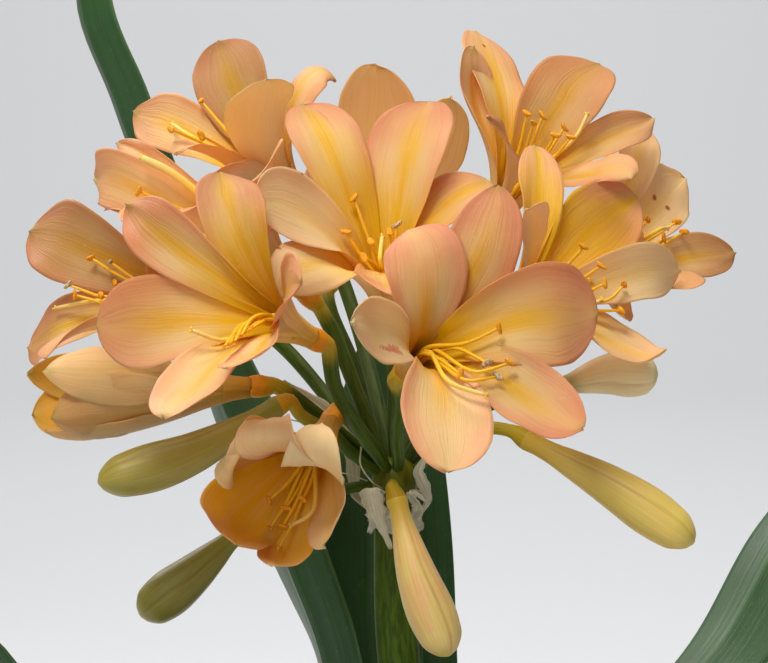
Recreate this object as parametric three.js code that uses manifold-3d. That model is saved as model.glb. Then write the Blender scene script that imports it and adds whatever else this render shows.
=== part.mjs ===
// A clivia in full flower, standing in a plain tapered pot.
//
// Millimetres, +Z up. The origin is the centre of the pot's foot, and the front of the flower head
// faces -Y. Every leaf, flower and bud is one body; the plant rests in the soil and the soil in the pot.
import * as THREE from "three";
import { mergeVertices } from "three/addons/utils/BufferGeometryUtils.js";
import Module from "manifold-3d";

const wasm = await Module();
wasm.setup();

// ---------------------------------------------------------------- driving dimensions
const POT = {
  height: 168, // foot to rim
  footRadius: 70,
  rimRadius: 101,
  bandHeight: 24, // the thicker band under the rim
  bandStep: 3.2, // how far the band stands proud of the wall
  wall: 5,
  floor: 6,
  holeRadius: 6, // drainage holes, four of them, off the centre
  holeCircle: 38,
  sides: 32,
};
const SOIL_TOP = 146; // level of the potting mix at the wall
const SOIL_CROWN = 152; // where it is heaped against the plant
const GAP = 0.3; // between pieces that touch
const CROWN_TOP = 196;
const SCAPE = { top: 424, baseWidth: 17, width: 12.4, thick: 9.4 };
const HEAD = { centre: [2, 0, 430], radius: 7.5 }; // the swollen top the flower stalks grow from
const TEPAL_THICK = 0.9;
const LEAF_THICK = 2.4;

// Width of a tepal along its length, as a share of its widest.
const AT = [0, 0.15, 0.3, 0.45, 0.6, 0.7, 0.8, 0.88, 0.94, 0.98, 1];
const INNER = [0.15, 0.17, 0.36, 0.71, 0.94, 1, 0.95, 0.8, 0.58, 0.33, 0];
const OUTER = [0.2, 0.22, 0.42, 0.76, 0.97, 1, 0.9, 0.71, 0.47, 0.24, 0];

// The leaves stand in two ranks; the fan they make is turned this far from the front, in degrees.
const FAN_TURN = 40;
const LEAF_DIP = 0.26; // how deep the channel down a leaf is, as a share of its half width
const LEAF_ROWS = [0, 0.1, 0.2, 0.32, 0.44, 0.56, 0.68, 0.8, 0.91, 1];
const SCAPE_TURN = 0.12; // radians
// Height, half length and half width of the crown.
const CROWN = [
  [136, 26, 13],
  [150, 32, 16],
  [165, 21.57, 14.6],
  [180, 11.13, 13],
  [196, 0.9, 11.5],
];
const OVARY = 7; // length of the ovary under a flower
const COLLAR = [2.1, -0.4, 414.3, 421]; // centre, foot and top of the bract collar

// ---------------------------------------------------------------- what grows where
const SCAPE_PATH = [[16.96, -17.1, 140], [16.7, -16.79, 172], [14.97, -15.51, 250], [12.08, -12.06, 302], [7.1, -6.44, 346], [2.6, -1.6, 384], [2, 0, 424]];

// path: the midline; half: half width along it; turn: which way the blade is wide, in degrees.
const LEAVES = {
  leaf_01: {
    path: [[22.98, 19.28, 157.5], [28.34, 23.78, 200], [53.62, 45.0, 248], [99.59, 83.56, 282], [180.02, 151.06, 290], [248.96, 208.91, 205]],
    half: [[0, 0.12, 0.35, 0.7, 0.9, 1], [10.5, 12.0, 16.740000000000002, 18, 12.959999999999999, 2.2]],
    turn: [[0, 1], [130.0, 136.0]],
  },
  leaf_02: {
    path: [[19.15, 16.07, 164.69], [23.75, 19.93, 216], [45.96, 38.57, 270], [91.93, 77.13, 312], [172.36, 144.63, 342], [241.3, 202.48, 278]],
    half: [[0, 0.12, 0.35, 0.7, 0.9, 1], [10.5, 12.0, 17.205000000000002, 18.5, 13.32, 2.2]],
    turn: [[0, 1], [130.0, 125.0]],
  },
  leaf_03: {
    path: [[15.32, 12.86, 171.88], [19.15, 16.07, 230], [36.77, 30.85, 287], [70.48, 59.14, 327], [109.54, 91.92, 361], [134.82, 113.13, 397], [174.66, 146.56, 428], [222.15, 186.41, 412]],
    half: [[0, 0.12, 0.35, 0.7, 0.9, 1], [10.5, 12.0, 16.275000000000002, 17.5, 12.6, 2.2]],
    turn: [[0, 1], [130.0, 133.0]],
  },
  leaf_04: {
    path: [[11.49, 9.64, 179.06], [10.3, 12.4, 230], [8.5, 26, 290], [5, 58, 377], [3.5, 78, 440], [2.6, 90, 472]],
    half: [[0, 0.12, 0.35, 0.7, 0.9, 1], [10.5, 12.0, 15.066, 16.2, 11.664, 2.2]],
    turn: [[0, 0.12, 0.5, 1], [130.0, 136.0, 178.0, 182.0]],
  },
  leaf_05: {
    path: [[6.89, 5.79, 187.69], [4.2, 8.2, 232], [0, 19, 280], [-4.6, 47, 377], [-4.6, 64, 436], [-4.6, 74, 468]],
    half: [[0, 0.12, 0.35, 0.7, 0.9, 1], [10.5, 12.0, 14.136, 15.2, 10.943999999999999, 2.2]],
    turn: [[0, 0.12, 0.5, 1], [130.0, 136.0, 178.0, 182.0]],
  },
  leaf_06: {
    path: [[2.3, 1.93, 196.31], [-4, 4.5, 250], [-9, 8, 310], [-16.08, 16.0, 372.16], [-26.61, 33.0, 397.79], [-39.38, 60.0, 423.72], [-50.72, 84.0, 445.14], [-61.75, 101.0, 471.27], [-73.42, 110.0, 504.58], [-85.22, 115.0, 536.76], [-97.15, 121.0, 569.04], [-94, 127, 612]],
    half: [[0, 0.12, 0.35, 0.7, 0.9, 1], [10.5, 12, 16, 17, 13.5, 2.2]],
    turn: [[0, 0.3, 1], [130.0, 116.0, 121.0]],
  },
  leaf_07: {
    path: [[-22.98, -19.28, 157.5], [-29.11, -24.43, 200], [-53.62, -45.0, 244], [-98.05, -82.28, 276], [-176.19, -147.84, 285], [-243.6, -204.41, 200]],
    half: [[0, 0.12, 0.35, 0.7, 0.9, 1], [10.5, 12.0, 16.740000000000002, 18, 12.959999999999999, 2.2]],
    turn: [[0, 1], [130.0, 124.0]],
  },
  leaf_08: {
    path: [[-17.62, -14.78, 167.56], [-22.22, -18.64, 218], [-42.13, -35.35, 275], [-84.26, -70.71, 318], [-157.04, -131.77, 342], [-225.98, -189.62, 278]],
    half: [[0, 0.12, 0.35, 0.7, 0.9, 1], [10.5, 12.0, 17.205000000000002, 18.5, 13.32, 2.2]],
    turn: [[0, 1], [130.0, 135.0]],
  },
  leaf_09: {
    path: [[-12.26, -10.28, 177.62], [-15.32, -12.86, 232], [-30.64, -25.71, 292], [-64.35, -53.99, 344], [-104.95, -88.06, 390], [-114.91, -96.42, 404], [-164.7, -138.2, 447], [-214.49, -179.98, 440]],
    half: [[0, 0.12, 0.35, 0.7, 0.9, 1], [10.5, 12.0, 15.81, 17, 12.24, 2.2]],
    turn: [[0, 1], [130.0, 134.0]],
  },
  leaf_10: {
    path: [[-7.66, -6.43, 186.25], [-9.58, -8.03, 236], [-16.09, -13.5, 290], [-29.88, -25.07, 333], [-45.96, -38.57, 350]],
    half: [[0, 0.12, 0.35, 0.7, 0.9, 1], [10.5, 12.0, 13.485000000000001, 14.5, 10.44, 2.2]],
    turn: [[0, 1], [130.0, 130.0]],
  },
  leaf_11: {
    path: [[-3.06, -2.57, 194.88], [-4.21, -3.54, 240], [-7.66, -6.43, 292], [-22.24, -10.83, 338], [-44.48, -21.66, 363], [-66.97, -35.31, 367]],
    half: [[0, 0.12, 0.35, 0.7, 0.9, 1], [10.5, 12.0, 13.950000000000001, 15, 10.799999999999999, 2.2]],
    turn: [[0, 1], [130.0, 122.0]],
  },
};

// Each tepal: [inner ring, azimuth, length, half width, lean at 1/4, 3/5, 17/20 and the tip,
// sideways bend, twist, cupping at 7/10 and at the tip]. Angles in degrees.
const FLOWERS = {
  flower_01: {
    origin: [4.78, -45.14, 466.91],
    axis: [0.3995, -0.7962, 0.4543],
    tepals: [
      [0, 58.85, 65.95, 9.65, 18.45, 64.87, 101.22, 103.09, 3.39, -29.84, 0.45, 0.25],
      [1, 4.86, 65.49, 14.73, 18.1, 71.35, 110.28, 87.78, -1.45, 28.09, 0.45, 0.25],
      [0, -46.18, 64.18, 11.34, 22.03, 70.78, 58.39, 19.9, -18.45, 5.4, 0.45, 0.25],
      [1, -110.19, 61.81, 13.28, 21.42, 70.16, 70.51, 79.18, 2.18, 7.52, 0.45, 0.25],
      [0, -181.6, 62.23, 9.4, 22.77, 56.8, 36.96, 65.54, 12.5, -20.3, 0.45, 0.25],
      [1, -254, 52.2, 11.3, 17, 52, 112, 160, -22, -32, 0.2, -0.2],
    ],
  },
  flower_02: {
    origin: [-21.42, -42.44, 476.23],
    axis: [-0.6476, -0.6414, 0.4114],
    tepals: [
      [1, 102.89, 63.45, 9.7, 22.6, 72.73, 109.34, 98.81, 44.64, 62.78, 0.45, 0.25],
      [0, 16.18, 48.51, 10.8, 20.82, 45.67, 53.59, 85.18, -16.91, 0.0, 0.45, 0.25],
      [1, -29.94, 57.41, 8.34, 25.4, 55.67, 32.56, 42.61, -37.18, -13.19, 0.45, 0.25],
      [0, -97.42, 64.78, 11.28, 25.33, 59.42, 42.45, 51.27, 41.51, -25.84, 0.45, 0.25],
      [1, -150.64, 63.9, 13.35, 21.55, 62.98, 79.31, 72.46, -20.51, -26.47, 0.45, 0.25],
      [0, -209.1, 73.56, 8.94, 20.4, 55.76, 104.85, 93.86, 8.14, 5.93, 0.45, 0.25],
    ],
  },
  flower_03: {
    origin: [0.9, -3.65, 474.87],
    axis: [-0.1266, -0.322, 0.9382],
    tepals: [
      [1, 58.71, 73.03, 13.16, 20.94, 41.99, 67.83, 90.91, 9.52, 0.48, 0.45, 0.25],
      [0, 12.51, 61.69, 8.47, 17.79, 66.64, 97.62, 110.02, 45.77, 33.84, 0.45, 0.25],
      [1, -79.51, 59.09, 12.09, 25.96, 86.5, 71.12, 91.54, -12.21, -18.66, 0.45, 0.25],
      [0, -139.74, 61.96, 9.24, 27.49, 64.49, 90.22, 155.34, 19.35, -67.12, -0.3, -0.8],
      [1, -182.22, 66.68, 12.36, 19.78, 41.46, 55.88, 81.37, 59.7, -77.22, 0.45, 0.25],
      [0, -240.87, 82.74, 10.43, 20.58, 41.61, 86.79, 100.41, -17.85, -0.48, 0.45, 0.25],
    ],
  },
  flower_04: {
    origin: [-23.95, 63.56, 501.28],
    axis: [-0.5801, -0.3318, 0.7439],
    tepals: [
      [1, 138.02, 70.74, 12.34, 16.48, 49.45, 73.59, 66.16, 9.57, 16.12, 0.45, 0.25],
      [0, 76.35, 57.77, 10.06, 18.82, 46.63, 95.95, 213.84, 1.63, 10.94, -0.3, -0.8],
      [1, 8.48, 66.14, 11.63, 15.62, 33.41, 59.19, 44.13, 0.46, -45.39, 0.45, 0.25],
      [0, -60.8, 62.77, 6.1, 17.33, 22.37, 42.61, 95.81, 5.8, -34.04, 0.45, 0.25],
      [1, -78.09, 57.32, 14.0, 16.97, 53.04, 58.28, 71.17, 33.41, -0.0, 0.45, 0.25],
      [0, -160.76, 78.18, 9.68, 19.15, 53.63, 91.17, 77.21, -27.19, -24.91, 0.45, 0.25],
    ],
  },
  flower_05: {
    origin: [-25.06, 19.75, 483.14],
    axis: [-0.643, -0.3497, 0.6814],
    tepals: [
      [0, 207.04, 93.91, 9.26, 15.64, 42.38, 115.43, 93.26, -39.21, -53.19, 0.45, 0.25],
      [1, 171, 84.4, 3.4, 16, 39, 85, 95, 5, -16.46, 0.45, 0.25],
      [0, 196, 70, 10.0, 15, 34, 74, 96, 10, 20, 0.4, 0.3],
      [1, 35.25, 66.16, 14.0, 17.99, 45.16, 61.7, 80.28, -50.01, 0.0, 0.45, 0.25],
      [0, -6.66, 65.39, 10.77, 21.18, 74.63, 67.66, 74.09, -19.5, -0.45, 0.45, 0.25],
      [1, -63, 72, 12.5, 10, 18, 60, 86, 12, -31, 0.45, 0.25],
    ],
  },
  flower_06: {
    origin: [-46.49, 53.52, 471.49],
    axis: [-0.9325, -0.1684, 0.3196],
    tepals: [
      [1, 150.04, 80.99, 13.09, 14.23, 26.39, 72.07, 55.73, 43.09, 10.2, 0.45, 0.25],
      [0, 53.23, 59.68, 10.8, 20.67, 67.49, 74.77, 87.09, -47.71, -0.0, 0.45, 0.25],
      [1, 9.03, 54.36, 14.0, 25.26, 81.33, 73.79, 89.71, -14.08, 0.0, 0.45, 0.25],
      [0, -62.55, 72.61, 6.99, 20.74, 31.57, 62.96, 94.07, 40.75, -38.08, 0.45, 0.25],
      [1, -121.64, 79.46, 10.71, 17.93, 45.39, 83.18, 71.44, -35.21, -5.68, 0.45, 0.25],
      [0, -188.08, 66.04, 10.66, 17.22, 72.09, 93.98, 102.04, -7.53, -7.97, 0.45, 0.25],
    ],
  },
  flower_07: {
    origin: [-39.64, -4.6, 457.71],
    axis: [-0.989, -0.1466, -0.017],
    tepals: [
      [1, 97, 58, 12.6, 17, 14, -5, -24, 0, 0, 0.9, 0.8],
      [0, 36, 61.5, 11.0, 17, 16, 7, -16, 0, 0, 0.9, 0.8],
      [1, -25, 59.5, 12.6, 17, 15, 5, -8, 0, 0, 0.9, 0.8],
      [0, -84, 61.5, 10.5, 18, 15, -4, -28, 0, 0, 0.9, 0.8],
      [1, -146, 64, 12.6, 16, 16, 6, 0, 0, 0, 0.9, 0.7],
      [0, 160, 65, 10.5, 16, 14, 4, -10, 0, 0, 0.9, 0.7],
    ],
  },
  flower_08: {
    origin: [-16.39, -20.28, 449.2],
    axis: [-0.2625, -0.8598, -0.438],
    tepals: [
      [0, 144, 53, 11, 27, 60, -60, 190, 0, 15, 0.45, 0.25],
      [1, 94.87, 57.69, 11.42, 22.26, 20.94, 73.31, 249.04, -0.97, -9.65, 0.45, 0.25],
      [0, 45.57, 60.01, 9.34, 20.0, 16.55, 88.13, 213.2, 40.0, 4.62, 0.45, 0.25],
      [1, -26.66, 51.03, 8.96, 17.8, 20.38, 0.11, 18.4, -12.06, -15.53, 0.45, 0.25],
      [0, -99.52, 60.94, 8.13, 16.38, 34.24, -35.5, -29.47, -9.09, 13.1, 0.45, 0.25],
      [1, -159, 60.8, 12.9, 22.42, 39.88, -37.75, -23.51, 9.04, 25.06, 0.45, 0.25],
    ],
  },
  flower_09: {
    origin: [29.12, 6.51, 470.36],
    axis: [0.6677, -0.4105, 0.621],
    tepals: [
      [0, 81.32, 68.82, 7.53, 23.03, 65.65, 87.14, 112.94, -41.7, -31.34, 0.45, 0.25],
      [1, 33.78, 68.03, 12.69, 19.88, 62.42, 66.97, 62.08, -28.6, 7.13, 0.45, 0.25],
      [0, -21.9, 71.8, 8.88, 19.4, 53.81, 95.64, 92.0, 19.99, 40.71, 0.45, 0.25],
      [1, -76.9, 57.75, 13.56, 19.99, 73.0, 56.22, -11.94, 2.55, -7.23, 0.45, 0.25],
      [0, -143.38, 56.25, 10.8, 22.9, 66.87, 64.31, 90.61, -3.46, -0.0, 0.45, 0.25],
      [1, -215.65, 61.63, 7.72, 17.41, 44.22, 42.98, 77.11, 23.88, -73.58, 0.45, 0.25],
    ],
  },
  flower_10: {
    origin: [30.39, 47.8, 497.19],
    axis: [0.4252, -0.2384, 0.8731],
    tepals: [
      [0, 76.3, 75.47, 10.86, 21.89, 59.4, 76.96, 100.12, -29.09, 2.51, 0.12, 0.05],
      [1, 23.85, 71.99, 12.7, 14.97, 34.07, 68.66, 83.68, -20.13, -3.96, 0.45, 0.25],
      [0, -35.79, 75.82, 6.73, 20.43, 58.5, 84.09, 81.06, 44.58, 36.37, 0.45, 0.25],
      [1, -86.07, 55.8, 9.6, 18, 49, 48, 112, -15, 38.54, 0.12, 0.08],
      [0, -170.48, 59.65, 3.83, 18.25, 51.12, 62.92, 79.63, -23.93, -44.67, 0.45, 0.25],
      [1, -252.9, 59.85, 10.7, 22.13, 61.53, 30.84, 48.57, -47.25, 15.34, 0.55, 0.4],
    ],
  },
  flower_11: {
    origin: [52.45, 65.04, 472.81],
    axis: [0.656, -0.3371, 0.6753],
    tepals: [
      [0, 66.55, 81.6, 7.52, 19.25, 52.59, 97.47, 97.29, -53.99, -9.83, 0.45, 0.25],
      [1, 22.36, 72.75, 10.2, 15.3, 57.2, 95.85, 58.97, -12.31, 19.18, 0.45, 0.25],
      [0, -36.55, 68.72, 7.89, 19.74, 58.82, 80.27, 89.93, 31.69, 23.57, 0.45, 0.25],
      [1, -112.25, 58.37, 13.7, 17.12, 36.83, 69.48, 100.86, -40.12, 28.83, 0.45, 0.25],
      [0, -154.34, 54.79, 10.13, 22.6, 86.09, 69.56, 63.6, 9.07, -13.53, 0.45, 0.25],
      [1, -214.05, 59.54, 14.01, 15.44, 29.8, 58.82, 80.24, 36.27, 0.11, 0.45, 0.25],
    ],
  },
  flower_12: {
    origin: [-16.14, 71.47, 484.01],
    axis: [0.3822, 0.5149, 0.7673],
    tepals: [
      [1, 109, 69, 14.4, 14, 44, 56, 66, -6, 0, 0.3, 0.3],
      [0, 169.4, 71.3, 9.8, 26, 63, 49.5, 89.5, -55, 0, 0.3, 0.3],
      [1, 244.14, 72.6, 14.0, 14.66, 27.47, 69.82, 89.67, 58.15, -0.0, 0.45, 0.25],
      [0, 285.39, 65.06, 10.8, 20.15, 64.92, 65.1, 73.1, 12.72, 0.0, 0.45, 0.25],
      [1, 342.39, 68.99, 14.0, 18.28, 59.72, 87.51, 95.95, -28.06, -0.0, 0.45, 0.25],
      [0, 379.02, 69.94, 10.8, 16.32, 27.47, 47.88, 69.94, -57.77, -0.0, 0.45, 0.25],
    ],
  },
};
const FRONT_TO_BACK = ["flower_08", "flower_01", "flower_02", "flower_03", "flower_09", "flower_07", "flower_05", "flower_06", "flower_10", "flower_04", "flower_11", "flower_12"];

// Filaments and style from the hub to the anthers.
const STAMENS = {
  flower_01: {
    hub: [[6.62, -48.8, 469.0], [7.33, -50.23, 469.82]],
    filaments: [
      [[6.82, -49.16, 470.39], [10.61, -56.54, 474.91], [20.94, -63.12, 476.82], [29.74, -65.14, 481.09]],
      [[6.1, -49.78, 469.94], [10.26, -57.27, 473.96], [13.38, -61.82, 472.65], [16.34, -64.7, 471.85]],
      [[7.93, -49.41, 468.97], [12.25, -56.78, 472.94], [18.01, -61.56, 475.29], [26.41, -69.42, 472.12]],
      [[7.21, -50.03, 468.52], [11.04, -57.77, 472.44], [21.02, -75.81, 468.15], [29.12, -72.57, 468.87]],
      [[7.73, -48.98, 469.9], [11.81, -56.27, 474.27], [23.32, -74.38, 470.28], [32.52, -70.46, 472.24]],
      [[6.3, -50.21, 469.0], [9.54, -57.99, 473.28], [12.95, -63.15, 472.93], [19.14, -73.76, 469.58]],
    ],
    style: [[7.02, -49.6, 469.45], [10.8, -57.05, 473.83], [16.47, -76.93, 467.69], [25.5, -81.9, 465.06]],
  },
  flower_02: {
    hub: [[-24.4, -45.39, 478.12], [-25.57, -46.55, 478.86]],
    filaments: [
      [[-25.56, -46.11, 477.62], [-31.75, -52.07, 482.36], [-39.77, -66.61, 481.03], [-43.34, -81.99, 477.74]],
      [[-25.84, -45.38, 478.32], [-31.26, -52.68, 482.08], [-39.84, -65.11, 481.66], [-41.91, -78.33, 478.28]],
      [[-25.33, -45.31, 479.24], [-30.93, -52.97, 482.01], [-38.07, -64.54, 482.39], [-40.7, -76.23, 478.72]],
      [[-24.77, -46.77, 477.83], [-31.25, -52.2, 482.8], [-36.38, -63.29, 483.69], [-39.15, -72.5, 479.89]],
      [[-24.54, -45.97, 479.45], [-31.92, -52.71, 480.91], [-35.31, -61.73, 482.25], [-37.99, -69.59, 480.63]],
      [[-24.26, -46.7, 478.75], [-32.42, -51.79, 481.88], [-34.37, -60.96, 482.16], [-36.64, -67.47, 481.27]],
    ],
    style: [[-25.05, -46.04, 478.54], [-30.81, -52.23, 483.23], [-44.1, -61.24, 477.41], [-52.79, -65.25, 480.4]],
  },
  flower_03: {
    hub: [[0.31, -5.13, 479.19], [0.09, -5.71, 480.88]],
    filaments: [
      [[0.17, -4.46, 480.46], [-1.04, -6.87, 489.49], [-5.99, -6.85, 501.78], [-9.76, -6.12, 512.41]],
      [[-0.7, -5.93, 479.84], [-2.43, -9.24, 488.49], [-7.8, -11.68, 496.32], [-11.98, -13.15, 503.16]],
      [[-0.73, -4.93, 480.18], [-1.99, -7.94, 489.07], [-3.87, -9.5, 494.98], [-4.87, -10.68, 500.12]],
      [[1.08, -4.97, 480.41], [0.06, -7.91, 489.31], [0.42, -9.07, 496.66], [0.55, -9.79, 502.92]],
      [[1.1, -5.97, 480.07], [0.48, -9.31, 488.86], [1.52, -9.77, 497.47], [2.55, -9.67, 504.91]],
      [[0.21, -6.44, 479.79], [-0.82, -9.73, 488.74], [-4.1, -18.84, 494.52], [-6.77, -29.49, 497.09]],
    ],
    style: [[0.19, -5.45, 480.13], [-0.98, -7.76, 489.55], [-2.26, -30.84, 496.49], [-1.73, -9.12, 501.43]],
  },
  flower_04: {
    hub: [[-26.62, 62.04, 504.7], [-27.66, 61.44, 506.04]],
    filaments: [
      [[-27.57, 62.68, 505.59], [-32.77, 59.18, 512.86], [-46.86, 59.89, 526.09], [-57.55, 64.09, 538.01]],
      [[-28.05, 62.03, 504.92], [-32.99, 60.1, 513.1], [-50.13, 44.32, 523.17], [-64.33, 27.39, 530.82]],
      [[-27.68, 61.06, 504.78], [-33.0, 60.37, 513.1], [-45.96, 45.36, 522.2], [-55.43, 27.83, 528.95]],
      [[-26.83, 60.73, 505.3], [-32.07, 57.05, 512.21], [-40.25, 48.73, 520.79], [-45.59, 42.73, 528.88]],
      [[-26.34, 61.38, 505.97], [-31.41, 58.11, 513.18], [-37.99, 51.77, 523.9], [-42.14, 47.38, 533.65]],
      [[-26.71, 62.36, 506.11], [-32.03, 59.46, 513.35], [-39.7, 56.3, 524.58], [-44.78, 54.32, 534.68]],
    ],
    style: [[-27.2, 61.71, 505.44], [-31.82, 60.81, 513.25], [-56.26, 37.91, 526.73], [-66.71, 66.41, 530.83]],
  },
  flower_05: {
    hub: [[-28.01, 18.14, 486.28], [-29.17, 17.51, 487.5]],
    filaments: [
      [[-29.46, 18.01, 486.31], [-34.35, 15.59, 494.34], [-54.73, 3.29, 506.23], [-71.23, -8.03, 514.47]],
      [[-28.99, 17.07, 486.27], [-34.65, 14.54, 493.51], [-44.44, 9.4, 499.68], [-52.39, 2.0, 505.15]],
      [[-28.19, 16.85, 486.92], [-34.09, 13.41, 493.4], [-42.84, 5.05, 501.36], [-48.52, -1.53, 508.78]],
      [[-27.86, 17.58, 487.6], [-33.41, 14.16, 494.41], [-41.23, 7.93, 504.34], [-46.15, 3.63, 513.66]],
      [[-28.33, 18.52, 487.64], [-34.21, 15.38, 494.33], [-43.42, 12.3, 504.53], [-49.5, 10.34, 513.95]],
      [[-29.13, 18.73, 487.0], [-35.12, 15.18, 493.43], [-47.15, 13.29, 501.51], [-55.22, 11.87, 509.34]],
    ],
    style: [[-28.66, 17.79, 486.96], [-34.7, 14.51, 493.36], [-63.02, 10.79, 518.67], [-71.85, 12.27, 522.97]],
  },
  flower_06: {
    hub: [[-50.78, 52.75, 472.96], [-52.45, 52.45, 473.54]],
    filaments: [
      [[-51.52, 53.15, 474.15], [-60.24, 51.78, 477.42], [-78.76, 53.63, 483.07], [-91.13, 55.54, 490.16]],
      [[-52.09, 53.05, 472.42], [-61.09, 51.75, 474.89], [-83.18, 52.33, 477.16], [-98.06, 53.38, 482.03]],
      [[-51.9, 52.01, 472.42], [-60.76, 50.19, 475.08], [-81.71, 50.91, 475.63], [-95.83, 52.14, 479.06]],
      [[-51.52, 51.55, 473.29], [-60.17, 49.33, 476.29], [-76.67, 50.31, 476.62], [-87.81, 51.55, 479.12]],
      [[-51.89, 53.62, 473.28], [-60.73, 52.03, 476.32], [-74.43, 52.49, 478.77], [-83.59, 52.72, 482.7]],
      [[-51.33, 52.12, 474.15], [-59.86, 50.25, 477.68], [-75.1, 52.16, 482.7], [-85.19, 54.16, 489.04]],
    ],
    style: [[-51.71, 52.58, 473.28], [-60.47, 51.0, 476.29], [-86.53, 50.79, 477.65], [-102.9, 63.49, 473.96]],
  },
  flower_07: {
    hub: [[-44.19, -5.28, 457.63], [-45.97, -5.54, 457.6]],
    filaments: [
      [[-45.28, -4.8, 458.45], [-54.64, -5.82, 458.78], [-70.75, -7.68, 457.57], [-81.5, -8.86, 459.55]],
      [[-45.33, -4.39, 457.48], [-54.7, -5.33, 457.26], [-70.86, -6.7, 455.25], [-81.64, -7.62, 456.6]],
      [[-45.22, -5.02, 456.65], [-54.54, -6.19, 455.98], [-70.6, -8.2, 453.23], [-81.31, -9.52, 454.05]],
      [[-45.07, -6.05, 456.77], [-54.3, -7.81, 456.09], [-70.24, -10.68, 453.54], [-80.85, -12.66, 454.44]],
      [[-45.02, -6.46, 457.74], [-54.23, -8.47, 457.66], [-70.13, -11.66, 455.86], [-80.72, -13.9, 457.38]],
      [[-45.13, -5.83, 458.58], [-54.4, -7.45, 458.97], [-70.39, -10.16, 457.88], [-81.04, -12.01, 459.94]],
    ],
    style: [[-45.18, -5.43, 457.61], [-54.47, -6.8, 457.45], [-69.31, -9.0, 457.2], [-85.13, -11.35, 456.92]],
  },
  flower_08: {
    hub: [[-17.59, -24.23, 447.19], [-18.07, -25.78, 446.4]],
    filaments: [
      [[-18.39, -25.37, 447.61], [-21.18, -33.63, 444.03], [-27.97, -40.15, 435.16], [-33.04, -43.89, 430.94]],
      [[-18.34, -24.56, 445.99], [-21.1, -32.31, 441.4], [-25.33, -39.19, 432.86], [-28.35, -43.38, 428.62]],
      [[-16.84, -25.35, 446.65], [-19.29, -33.45, 442.31], [-21.6, -40.44, 435.01], [-23.59, -44.74, 431.36]],
      [[-18.87, -24.84, 446.85], [-21.96, -32.76, 442.79], [-28.2, -41.67, 430.09], [-32.68, -46.92, 423.6]],
      [[-17.38, -25.63, 447.51], [-19.76, -33.9, 443.58], [-25.13, -41.81, 430.9], [-29.11, -46.21, 424.04]],
      [[-17.33, -24.82, 445.89], [-19.46, -32.73, 441.24], [-25.72, -43.63, 426.27], [-30.1, -50.16, 418.57]],
    ],
    style: [[-17.86, -25.09, 446.75], [-20.32, -33.18, 442.63], [-21.04, -47.78, 428.22], [-26.59, -46.95, 424.45]],
  },
  flower_09: {
    hub: [[32.19, 4.62, 473.22], [33.39, 3.88, 474.33]],
    filaments: [
      [[33.48, 5.04, 473.71], [39.9, 1.55, 479.72], [62.96, -3.6, 482.67], [68.4, 1.35, 486.71]],
      [[33.57, 4.21, 473.07], [39.56, -0.34, 479.37], [61.22, -3.88, 479.74], [67.19, -2.96, 479.69]],
      [[32.23, 3.37, 473.96], [38.52, -0.53, 479.86], [49.66, -10.04, 484.17], [57.5, -16.45, 489.08]],
      [[32.95, 3.38, 473.19], [39.28, -0.99, 478.63], [52.65, -6.76, 483.12], [61.99, -10.5, 488.19]],
      [[32.77, 5.03, 474.48], [38.99, 1.68, 480.71], [52.16, -2.31, 486.59], [61.34, -4.61, 492.78]],
      [[32.14, 4.2, 474.6], [38.68, 0.29, 480.26], [48.86, -2.94, 489.71], [56.22, -4.66, 498.25]],
    ],
    style: [[32.86, 4.21, 473.84], [39.13, 0.35, 479.67], [58.18, -4.76, 481.48], [61.37, -4.34, 482.88]],
  },
  flower_10: {
    hub: [[32.35, 46.71, 501.21], [33.12, 46.28, 502.78]],
    filaments: [
      [[31.86, 46.64, 502.57], [35.37, 44.48, 511.04], [39.43, 41.17, 523.84], [41.82, 38.98, 535.03]],
      [[32.09, 45.68, 502.2], [35.67, 42.97, 510.48], [40.47, 36.71, 522.11], [43.42, 32.15, 532.39]],
      [[33.0, 45.51, 501.71], [37.1, 42.83, 509.75], [44.72, 35.9, 519.82], [49.93, 30.91, 528.88]],
      [[33.69, 46.29, 501.59], [38.25, 43.95, 509.49], [47.93, 39.55, 519.26], [54.84, 36.51, 528.01]],
      [[33.46, 47.25, 501.96], [37.76, 45.32, 510.13], [46.88, 44.0, 520.98], [53.25, 43.34, 530.66]],
      [[32.55, 47.42, 502.45], [36.5, 45.45, 510.79], [42.63, 44.81, 523.27], [46.74, 44.58, 534.17]],
    ],
    style: [[32.78, 46.47, 502.08], [36.77, 44.23, 510.29], [56.43, 42.15, 527.54], [60.17, 44.69, 534.37]],
  },
  flower_11: {
    hub: [[55.47, 63.49, 475.91], [56.65, 62.88, 477.13]],
    filaments: [
      [[56.13, 64.09, 477.05], [61.86, 60.25, 484.19], [77.14, 61.16, 493.09], [89.59, 66.21, 500.53]],
      [[56.82, 63.88, 476.28], [62.33, 59.13, 482.79], [79.08, 61.13, 490.37], [91.89, 66.35, 497.42]],
      [[55.43, 62.42, 476.9], [61.28, 58.88, 483.39], [72.24, 50.35, 489.2], [79.73, 44.25, 495.16]],
      [[56.11, 62.21, 476.13], [62.27, 58.46, 482.19], [75.46, 53.06, 487.42], [84.66, 49.45, 492.96]],
      [[56.81, 62.94, 475.82], [63.39, 59.63, 481.69], [75.99, 57.3, 489.02], [84.74, 56.18, 496.26]],
      [[55.44, 63.37, 477.36], [61.55, 60.11, 483.74], [72.31, 58.46, 493.17], [79.87, 57.72, 501.75]],
    ],
    style: [[56.12, 63.15, 476.59], [62.26, 62.15, 483.09], [79.92, 35.76, 499.33], [86.64, 62.95, 498.86]],
  },
  flower_12: {
    hub: [[-14.39, 73.83, 487.54], [-13.7, 74.76, 488.92]],
    filaments: [
      [[-13.68, 73.45, 488.75], [-9.94, 77.97, 496.16], [-2.77, 83.29, 507.01], [2.17, 86.64, 516.83]],
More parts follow.
